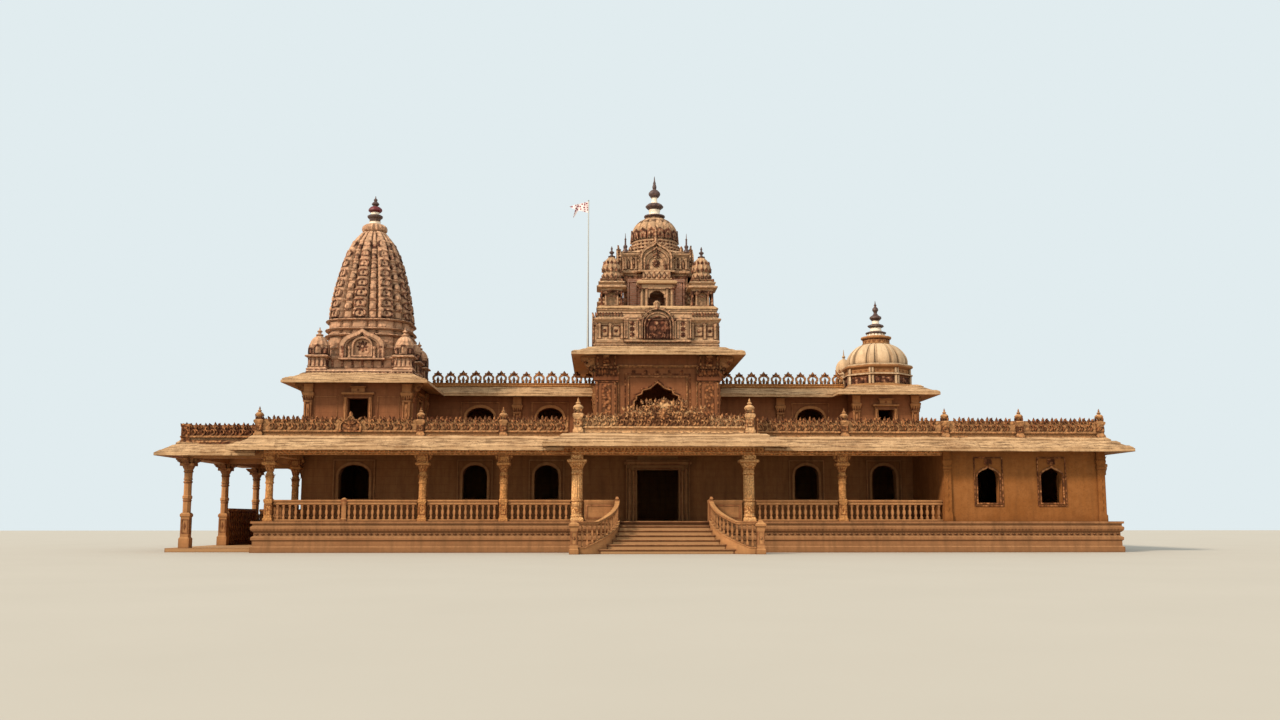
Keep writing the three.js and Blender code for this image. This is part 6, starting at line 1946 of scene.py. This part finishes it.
def gatePorchShape():
    porchFront = Shape()
    foot = gate["tierTwo"]
    for way in (-1, 1):
        inner, outer = sorted((way * 0.36, way * 0.62))
        porchFront.block(inner, outer, -2.06, -1.3, foot, 11.18)
        for x in (0.44, 0.64):
            colonnette(porchFront, way * x, -2.16, 0.058, foot + 0.05, 11.0, 10)
        at = moved(way * 0.66, -2.16, 11.16)
        porchFront.merge(bracketShape(0.2, 0.3, 0.1), at if way > 0 else at @ mirrored)
    porchFront.moulded(-0.74, 0.74, -2.26, -1.3, tierTwo["threshold"])
    porchFront.block(-0.72, 0.72, -2.22, -1.3, 10.97, 11.19)
    arch, rim = mirroredOutline(tierTwo["porchArch"]), mirroredOutline(tierTwo["porchRim"])
    porchFront.frame(arch, rim, -2.14, -2.05)
    porchFront.turned(tierTwo["boss"], 12, 6, 0.15, y=-2.08)
    porchFront.moulded(-0.84, 0.84, -2.36, -1.4, tierTwo["eave"], 2)
    porchFront.moulded(-0.62, 0.62, -2.02, -1.3, tierTwo["attic"])
    for i in range(6):
        porchFront.put(leafShape(0.2, 0.3, 0.05, 0.05, 4), -0.55 + i * 0.22, -2.02, 11.46)
    return porchFront


def makeGateTierTwo():
    shape = Shape()
    foot = gate["tierTwo"]
    shape.post(tierTwo["foot"], slot=2)
    for x0, x1, reach, z in tierTwo["core"]:
        shape.block(x0, x1, -reach, reach, z, 11.72, 1)
    shape.post(tierTwo["head"])
    edge = Shape()
    edge.block(-1.37, -1.24, -1.37, -1.24, foot, 11.72)
    edge.block(-1.37, 1.37, -1.37, -1.3, foot, foot + 0.07)
    edge.border(-1.14, -0.84, 10.42, 11.4, 0.03, -1.36, -1.33)
    edge.border(0.84, 1.14, 10.42, 11.4, 0.03, -1.36, -1.33)
    shape.around(edge)
    # Blind arches on the two sides, porches at the front and the back
    blind = Shape()
    archTrim(blind, 0, 0.4, foot + 0.32, 11.0, 11.3, -1.3, 0.09)
    archTrim(blind, 0, 0.56, foot + 0.14, 11.02, 11.46, -1.3, 0.06)
    blind.plate(archOutline(0, 0.42, foot + 0.3, 11.0, 11.32), -1.335, -1.3)
    blind.put(rosetteShape(0.2, 10), 0, -1.35, 10.95)
    # The left arch has one scroll in it and the right arch two
    for way in (-1, 1):
        blind.put(scrollShape(), way * 0.18, -1.36, foot + 0.34, size=0.7)
        shape.merge(blind, spun(way * rightAngle))
    shape.around(gatePorchShape(), count=2)
    finishOnGate(shape, "gateTierTwo", "gate_tier_2", "gateTowerStone", "limeBrickwork", "eaveSlab")
    out = gate["pavilion"]
    corners = [(gate["x"] + sx * out, gate["y"] + sy * out) for sx in (-1, 1) for sy in (-1, 1)]
    scatterPiece("gatePavilions", pavilionShape(), [spot(x, y, foot) for x, y in corners], "gateTowerStone")
    knobs = Shape()
    for x, y in corners:
        knobs.turned([(r, foot + 2.22 + z) for r, z in gatePavilion["finial"]], 14, x=x, y=y)
    finishShape(knobs, "gatePavilionFinials", "darkFinialStone", slot="finial_paint")


makeGateTierTwo()

tierThree = {
    "body": (
        (1.38, 11.78), (1.46, 11.82), (1.48, 11.86), (1.48, 11.91), (1.4, 11.94), (1.38, 11.98),
        (1.38, 12.48), (1.4, 12.5), (1.4, 12.54), (1.46, 12.6), (1.49, 12.63), (1.49, 12.68), (1.42, 12.71),
        (1.46, 12.73), (1.44, 12.76), (1.32, 12.82),
    ),
    "rings": (
        (1.29, 12.78), (1.32, 12.82), (1.33, 12.88), (1.3, 12.92), (1.19, 12.95), (1.2, 12.98), (1.24, 13.02),
        (1.23, 13.08), (1.1, 13.12), (1.09, 13.16), (1.13, 13.2), (1.12, 13.26), (1.0, 13.3), (0.99, 13.34),
        (1.03, 13.38), (1.02, 13.45),
    ),
    "rims": ((1.0, 1.0, -1.71), (0.8, 0.84, -1.68), (0.56, 0.64, -1.66)),
    "leaves": ((0.7, 12.28), (0.66, 12.46), (0.56, 12.64), (0.42, 12.8), (0.28, 12.92), (0.16, 13.04)),
    "spike": (
        (0.12, 12.72), (0.13, 12.8), (0.1, 12.86), (0.06, 12.92), (0.09, 12.98), (0.09, 13.04), (0.04, 13.09),
        (0.035, 13.3), (0.05, 13.34), (0.02, 13.38), (0.008, 13.6),
    ),
    # Height, radius and count of each ring of leaves below the dome
    "leafRings": ((12.93, 1.2, 40), (13.1, 1.1, 36), (13.28, 1.0, 32)),
}


# Each side: an ogee gable with a rosette and scrolls in it, and colonnettes and leaves beside it
def makeGateTierThree():
    shape = Shape()
    shape.post(tierThree["body"])
    side = Shape()
    for way in (-1, 1):
        for x in (0.86, 1.06, 1.32):
            colonnette(side, way * x, -1.4, 0.05, 11.98, 12.52)
        side.put(rosetteShape(0.1), way * 0.96, -1.39, 12.12)
        side.put(leafShape(0.16, 0.3, 0.05, 0.02, 4), way * 0.96, -1.39, 12.2)
        side.put(leafShape(0.18, 0.42, 0.05, 0.02, 4), way * 1.19, -1.39, 12.02)
        side.put(leafShape(0.2, 0.3, 0.05, 0.04, 4), way * 1.1, -1.36, 12.74)
        side.put(scrollShape(), way * 0.42, -1.62, 11.92, size=0.55)
    outer = ogeeOutline(0, 0.68, 11.8, 12.3, 13.2, 9)
    side.plate(shrunk(outer, 11.8, 0.9, 0.93), -1.6, -1.2)
    steppedRims(side, outer, 11.8, tierThree["rims"], (0.9, 0.93), -1.5)
    side.moulded(-0.8, 0.8, -1.74, -1.3, ((0, 11.8), (0.02, 11.82), (0.02, 11.87), (0, 11.89)))
    side.put(rosetteShape(0.2, 10), 0, -1.63, 12.2)
    side.merge(scrollShape(), moved(0, -1.62, 12.42) @ Matrix.Diagonal((0.9, 1, 0.9, 1)))
    side.put(leafShape(0.22, 0.42, 0.08, 0.03, 5), 0, -1.6, 12.96)
    gableLeaves(side, (0.14, 0.2, 0.06, 0.02, 3), -1.6, 0.85, tierThree["leaves"])
    shape.around(side)
    shape.turned(tierThree["rings"], 48)
    finishOnGate(shape, "gateTierThree", "gate_tier_3", "gateTowerStone")
    spikes = Shape()
    for sx in (-1, 1):
        for sy in (-1, 1):
            spikes.turned(tierThree["spike"], 12, x=gate["x"] + sx * 1.33, y=gate["y"] + sy * 1.33)
    finishShape(spikes, "gateSpikes", "darkFinialStone", slot="finial_paint")
    leaves = []
    for z, radius, count in tierThree["leafRings"]:
        leaves += ringSpots(gate["x"], gate["y"], z, radius, count)
    scatterPiece("gateRingLeaves", leafShape(0.13, 0.12, 0.03, 0.03, 3), leaves, "gateTowerStone", 0.1, 33)


makeGateTierThree()

gateDomeOutline = (
    (13.44, 0.98), (13.52, 1.01), (13.62, 1.03), (13.76, 1.04), (13.98, 1.0), (14.22, 0.88), (14.42, 0.68),
    (14.55, 0.44),
)


# An arched petal that stands on a dome
def petalShape(half, high):
    shape = Shape()
    outer = ogeeOutline(0, half, 0, high * 0.45, high, 6)
    shape.frame(shrunk(outer, 0, 0.72, 0.78), outer, -0.035, 0.06)
    shape.put(leafShape(half, high * 0.62, 0.05, 0.0, 4), z=high * 0.08)
    return shape


def makeGateDome():
    x, y = gate["x"], gate["y"]
    rib = ((0, 0.0), (0.07, 0.8), (0.5, 1.0), (0.93, 0.8), (1, 0.0))
    ribbedDome(
        "gateDome", "gateDomeRibs", "gateTowerStone", "gate_dome", x, y, gateDomeOutline, rib, 16, 12, 0.05,
    )
    petals = ringSpots(x, y, 13.5, 1.0, 16, phase=math.pi / 16)
    petals += ringSpots(x, y, 14.28, 0.8, 20, (0.6, 0.6, 0.45), tilt=-0.8)
    scatterPiece("gateDomePetals", petalShape(0.18, 0.5), petals, "gateTowerStone", 0.05, 35)
    fronts = ringSpots(x, y, 13.42, 1.04, 4, tilt=-0.06)
    scatterPiece("gateDomeLeaves", leafShape(0.24, 0.62, 0.06, 0.02), fronts, "gateTowerStone")


makeGateDome()

gateFinial = (
    (0, 36, 18, 0.06, (0.44, 14.52), (0.45, 14.57), (0.4, 14.6), (0.36, 14.64)),
    (1, 36, 0, 0, (0.34, 14.62), (0.46, 14.65), (0.475, 14.68), (0.46, 14.72), (0.36, 14.75), (0.24, 14.78)),
    (2, 28, 0, 0, (0.27, 14.76), (0.24, 14.82), (0.24, 14.92), (0.26, 14.96), (0.24, 15.0)),
    (1, 48, 12, 0.1, (0.24, 14.98), (0.28, 15.02), (0.36, 15.07), (0.4, 15.12), (0.4, 15.17), (0.34, 15.23),
     (0.24, 15.29)),
    (2, 20, 0, 0, (0.2, 15.26), (0.17, 15.31), (0.13, 15.36), (0.12, 15.44), (0.12, 15.52), (0.16, 15.57)),
    (1, 40, 10, 0.1, (0.16, 15.55), (0.2, 15.6), (0.255, 15.68), (0.265, 15.74), (0.25, 15.8), (0.19, 15.87),
     (0.14, 15.91)),
    (1, 14, 0, 0, (0.1, 15.9), (0.075, 15.96), (0.09, 16.0), (0.095, 16.08), (0.075, 16.14), (0.06, 16.2),
     (0.065, 16.24), (0.035, 16.32), (0.01, 16.55)),
)
makeFinial(
    "gateFinial", gateFinial, gate["x"], gate["y"], ((0.2, 0.14, 0.42, 14.46, 12),), "gate_finial",
    "gateTowerStone", "darkFinialStone", "limeWashedStone",
)
print("gate tower")

# Right dome: octagonal drum with two banded courses, paired ribs, a layered neck and a tall finial
rightDome = {
    "x": 10.525, "y": 9.6, "kiosks": ((-1.18, 1.78), (1.18, 1.78)),
    "outline": (
        (8.27, 1.4), (8.34, 1.42), (8.42, 1.43), (8.6, 1.41), (8.83, 1.31), (9.06, 1.12), (9.24, 0.88),
        (9.34, 0.64),
    ),
    "ribPair": (
        (0, 0.75), (0.25, 0.7), (0.275, 0.0), (0.375, 0.0), (0.4, 1.0), (0.6, 1.0), (0.625, 0.0),
        (0.725, 0.0), (0.75, 0.7), (1, 0.75),
    ),
    # The drum's eight-sided courses: a finish, then pairs of reach and height
    "courses": (
        (0, (1.5, 7.22), (1.5, 7.27), (1.47, 7.29), (1.5, 7.31), (1.5, 7.35), (1.44, 7.38), (1.41, 7.4),
         (1.41, 7.72), (1.44, 7.75), (1.5, 7.78), (1.5, 7.83), (1.44, 7.87), (1.39, 7.89), (1.39, 8.06),
         (1.43, 8.1), (1.52, 8.15), (1.54, 8.18), (1.54, 8.22), (1.46, 8.26)),
        (1, (1.46, 8.21), (1.52, 8.23), (1.52, 8.27), (1.43, 8.31)),
        (1, (1.42, 7.76), (1.53, 7.79), (1.53, 7.83), (1.42, 7.88)),
    ),
    "kiosk": (
        (0.41, 7.22), (0.41, 7.38), (0.37, 7.42), (0.36, 8.06), (0.42, 8.12), (0.42, 8.16), (0.37, 8.2),
        (0.4, 8.33), (0.395, 8.48), (0.34, 8.64), (0.26, 8.76), (0.17, 8.84), (0.06, 8.9), (0.05, 8.94),
        (0.09, 8.99), (0.08, 9.02), (0.03, 9.08), (0.008, 9.36),
    ),
}


# One of the drum's eight faces: plaster corner strips, scrolls in a row on a dark field, and three lozenges
def drumFace():
    face = Shape()
    for way in (-1, 1):
        x = way * 0.53
        face.moulded(x - 0.05, x + 0.05, -1.48, -1.38, ((0.01, 7.36), (0, 7.4), (0, 7.72), (0.01, 7.76)), 1)
        face.block(x - 0.045, x + 0.045, -1.46, -1.36, 7.87, 8.12, 1)
    for i in range(4):
        face.put(scrollShape(6), -0.36 + i * 0.24, -1.41, 7.4, size=0.42, slot=2)
    face.block(-0.47, 0.47, -1.415, -1.38, 7.41, 7.71, 2)
    for i in range(3):
        face.put(lozengeShape(0.1, 0.1, 0.02), -0.3 + i * 0.3, -1.39, 7.93)
    return face


def makeDrum():
    shape = Shape()
    x, y = rightDome["x"], rightDome["y"]
    shape.moulded(x - 1.56, x + 1.56, y - 1.58, y + 2.2, ((0, 7.22), (0, 7.27), (-0.04, 7.3)))
    corner = math.pi / 8
    for slot, *profile in rightDome["courses"]:
        grown = [(r / math.cos(corner), z) for r, z in profile]
        shape.turned(grown, 8, turn=corner, x=x, y=y, slot=slot)
    shape.around(drumFace(), x, y, 8)
    arch = Shape()
    inner, outer = archOutline(0, 0.09, 7.5, 7.78, 7.92, 6), archOutline(0, 0.13, 7.46, 7.78, 7.97, 6)
    arch.frame(inner, outer, -0.4, -0.33)
    arch.put(leafShape(0.17, 0.2, 0.05, 0.04, 3), 0, -0.37, 8.16)
    for kioskX, kioskY in rightDome["kiosks"]:
        shape.around(arch, x + kioskX, y + kioskY, 8)
        shape.turned(rightDome["kiosk"], 32, 8, 0.08, x=x + kioskX, y=y + kioskY, slot=1)
    stones = ("mouldedSandstone", "domePlaster", "gateTowerStone")
    finishShape(shape, "domeDrum", *stones, replaced=("dome_drum",))


makeDrum()
ribbedDome(
    "rightDome", "domeRibPairs", "domePlaster", "dome", rightDome["x"], rightDome["y"], rightDome["outline"],
    rightDome["ribPair"], 8, 40, 0.085,
)

domeFinial = (
    (0, 32, 0, 0, (0.64, 9.3), (0.66, 9.36), (0.6, 9.4), (0.58, 9.54), (0.64, 9.57)),
    (0, 32, 16, 0.05, (0.62, 9.55), (0.7, 9.6), (0.72, 9.64), (0.7, 9.69), (0.55, 9.72), (0.43, 9.75)),
    (2, 32, 0, 0, (0.43, 9.73), (0.42, 9.78), (0.42, 9.83), (0.36, 9.86)),
    (1, 32, 0, 0, (0.36, 9.84), (0.48, 9.87), (0.48, 9.91), (0.36, 9.95), (0.25, 9.98)),
    (2, 24, 0, 0, (0.27, 9.96), (0.27, 10.04), (0.24, 10.1), (0.26, 10.14)),
    (1, 32, 8, 0.1, (0.24, 10.12), (0.32, 10.16), (0.39, 10.2), (0.38, 10.25), (0.28, 10.29), (0.18, 10.33)),
    (2, 20, 0, 0, (0.18, 10.3), (0.16, 10.38), (0.16, 10.44), (0.16, 10.48)),
    (1, 20, 0, 0, (0.15, 10.46), (0.22, 10.52), (0.28, 10.59), (0.27, 10.66), (0.18, 10.72), (0.12, 10.77),
     (0.08, 10.84), (0.09, 10.9), (0.14, 10.97), (0.14, 11.03), (0.12, 11.08), (0.06, 11.14), (0.05, 11.18),
     (0.07, 11.22), (0.03, 11.28), (0.008, 11.43)),
)
makeFinial(
    "domeFinial", domeFinial, rightDome["x"], rightDome["y"],
    ((0.17, 0.14, 0.6, 9.41, 16), (0.12, 0.11, 0.4, 9.74, 16)),
    "dome_finial", "mouldedSandstone", "darkFinialStone", "limeWashedStone",
)
print("right dome")

# Pavilion at the left end: square columns with arms and rings, and cut strips on its low walls, both faces
pavilion = {
    "columnX": -18.15, "columnY": (1.0, 5.6, 10.2), "beam": 3.54, "pitch": 0.26,
    # Height and half width of each ring on a column
    "rings": ((1.9, 0.165), (2.6, 0.17), (3.0, 0.18)),
    # Corner in plan, quarter and length of each face of a low wall
    "wallFaces": (
        (-17.9, 10.05, 0, 2.5), (-15.4, 10.35, 2, 2.5), (-18.03, 5.9, 1, 4.0), (-18.27, 9.9, 3, 4.0),
    ),
    "skirting": ((0, 0.15), (0, 0.3), (-0.01, 0.33)),
    "coping": ((-0.01, 1.53), (0, 1.56), (0.02, 1.59), (0.02, 1.68)),
    "strip": ((0.01, 0.3), (0, 0.36), (0, 1.49), (0.01, 1.53)),
}


def pavilionColumnTrim():
    column = Shape()
    side = Shape()
    side.border(-0.09, 0.09, 0.72, 1.2, 0.03, -0.175, -0.15)
    side.put(lozengeShape(0.06, 0.36, 0.03), 0, -0.155, 0.78)
    side.merge(bracketShape(0.34, 0.36, 0.16), moved(0.14, 0, pavilion["beam"]))
    column.around(side)
    for z, half in pavilion["rings"]:
        column.turned(((half - 0.02, z), (half, z + 0.02), (half, z + 0.06), (half - 0.02, z + 0.08)), 16)
    return column


def makePavilionTrim():
    shape = Shape()
    leaves = []
    for y in pavilion["columnY"]:
        shape.put(pavilionColumnTrim(), pavilion["columnX"], y)
        leaves += ringSpots(pavilion["columnX"], y, 3.14, 0.15, 12)
    finishShape(shape, "pavilionTrim", "mouldedSandstone")
    strips = Shape()
    pitch = pavilion["pitch"]
    for x, y, quarter, length in pavilion["wallFaces"]:
        face = Shape()
        face.moulded(0, length, -0.02, 0.02, pavilion["skirting"])
        face.moulded(0, length, -0.02, 0.02, pavilion["coping"])
        for i in range(int(length / pitch)):
            at = 0.16 + i * pitch
            face.moulded(at - 0.03, at + 0.03, -0.03, 0.01, pavilion["strip"])
            for k in range(4):
                face.put(lozengeShape(0.07, 0.24, 0.02), at + 0.13, -0.005, 0.36 + k * 0.28)
        strips.merge(face, moved(x, y) @ spun(quarter * rightAngle))
    finishShape(strips, "pavilionWallStrips", "carvedSandstone")
    scatterPiece("pavilionLeaves", leafShape(0.09, 0.26, 0.025, 0.09, 4), leaves, "carvedSandstone", 0.05)


makePavilionTrim()

# Flag: a thin printed cloth with two tails, lifted by a light wind. Each patch is its top and bottom edge in
# X and Z from the hoist, with its columns, and neighbours share the points of their common edge.
flag = {
    "hoist": (-2.9753, 5.9), "fly": 0.82, "wave": 0.05, "waveLength": 0.36, "rows": 10, "flat": (0.85, 0.75),
    "patches": (
        (((0, 15.12), (-0.56, 14.97)), ((0, 14.62), (-0.56, 14.76)), 20),
        (((-0.56, 14.97), (-0.82, 14.9)), ((-0.56, 14.76), (-0.81, 14.892)), 8),
        (((-0.42, 14.725), (-0.56, 14.76)), ((-0.63, 14.385), (-0.65, 14.38)), 5),
    ),
}


def between(a, b, t):
    return a[0] + (b[0] - a[0]) * t, a[1] + (b[1] - a[1]) * t


def clothShape(waving):
    shape = Shape()
    rows = flag["rows"]
    for top, bottom, columns in flag["patches"]:
        corners = []
        for row in range(rows + 1):
            for column in range(columns + 1):
                across = column / columns
                x, z = between(between(*top, across), between(*bottom, across), row / rows)
                wave = math.sin(2 * math.pi * (-x / flag["waveLength"] + (z - 14.6) * 0.8))
                y = flag["wave"] * wave * -x / flag["fly"] if waving else 0
                corners.append((flag["hoist"][0] + x, flag["hoist"][1] + y, z))
        wide = columns + 1
        starts = [row * wide + column for row in range(rows) for column in range(columns)]
        shape.add(corners, [(a, a + 1, a + wide + 1, a + wide) for a in starts])
    return shape


def makeFlag():
    flatMesh = meshOf(clothShape(False), "flatFlag")
    bpy.data.meshes.remove(flatMesh)
    mesh = meshOf(clothShape(True), "flagCloth", ["printedCotton"], 80)
    work = bmesh.new()
    work.from_mesh(mesh)
    bmesh.ops.remove_doubles(work, verts=work.verts, dist=0.001)
    work.to_mesh(mesh)
    work.free()
    cloth = addPiece("flagCloth", mesh, "flag_cloth", ("flag",))


makeFlag()
print("pavilion and flag")
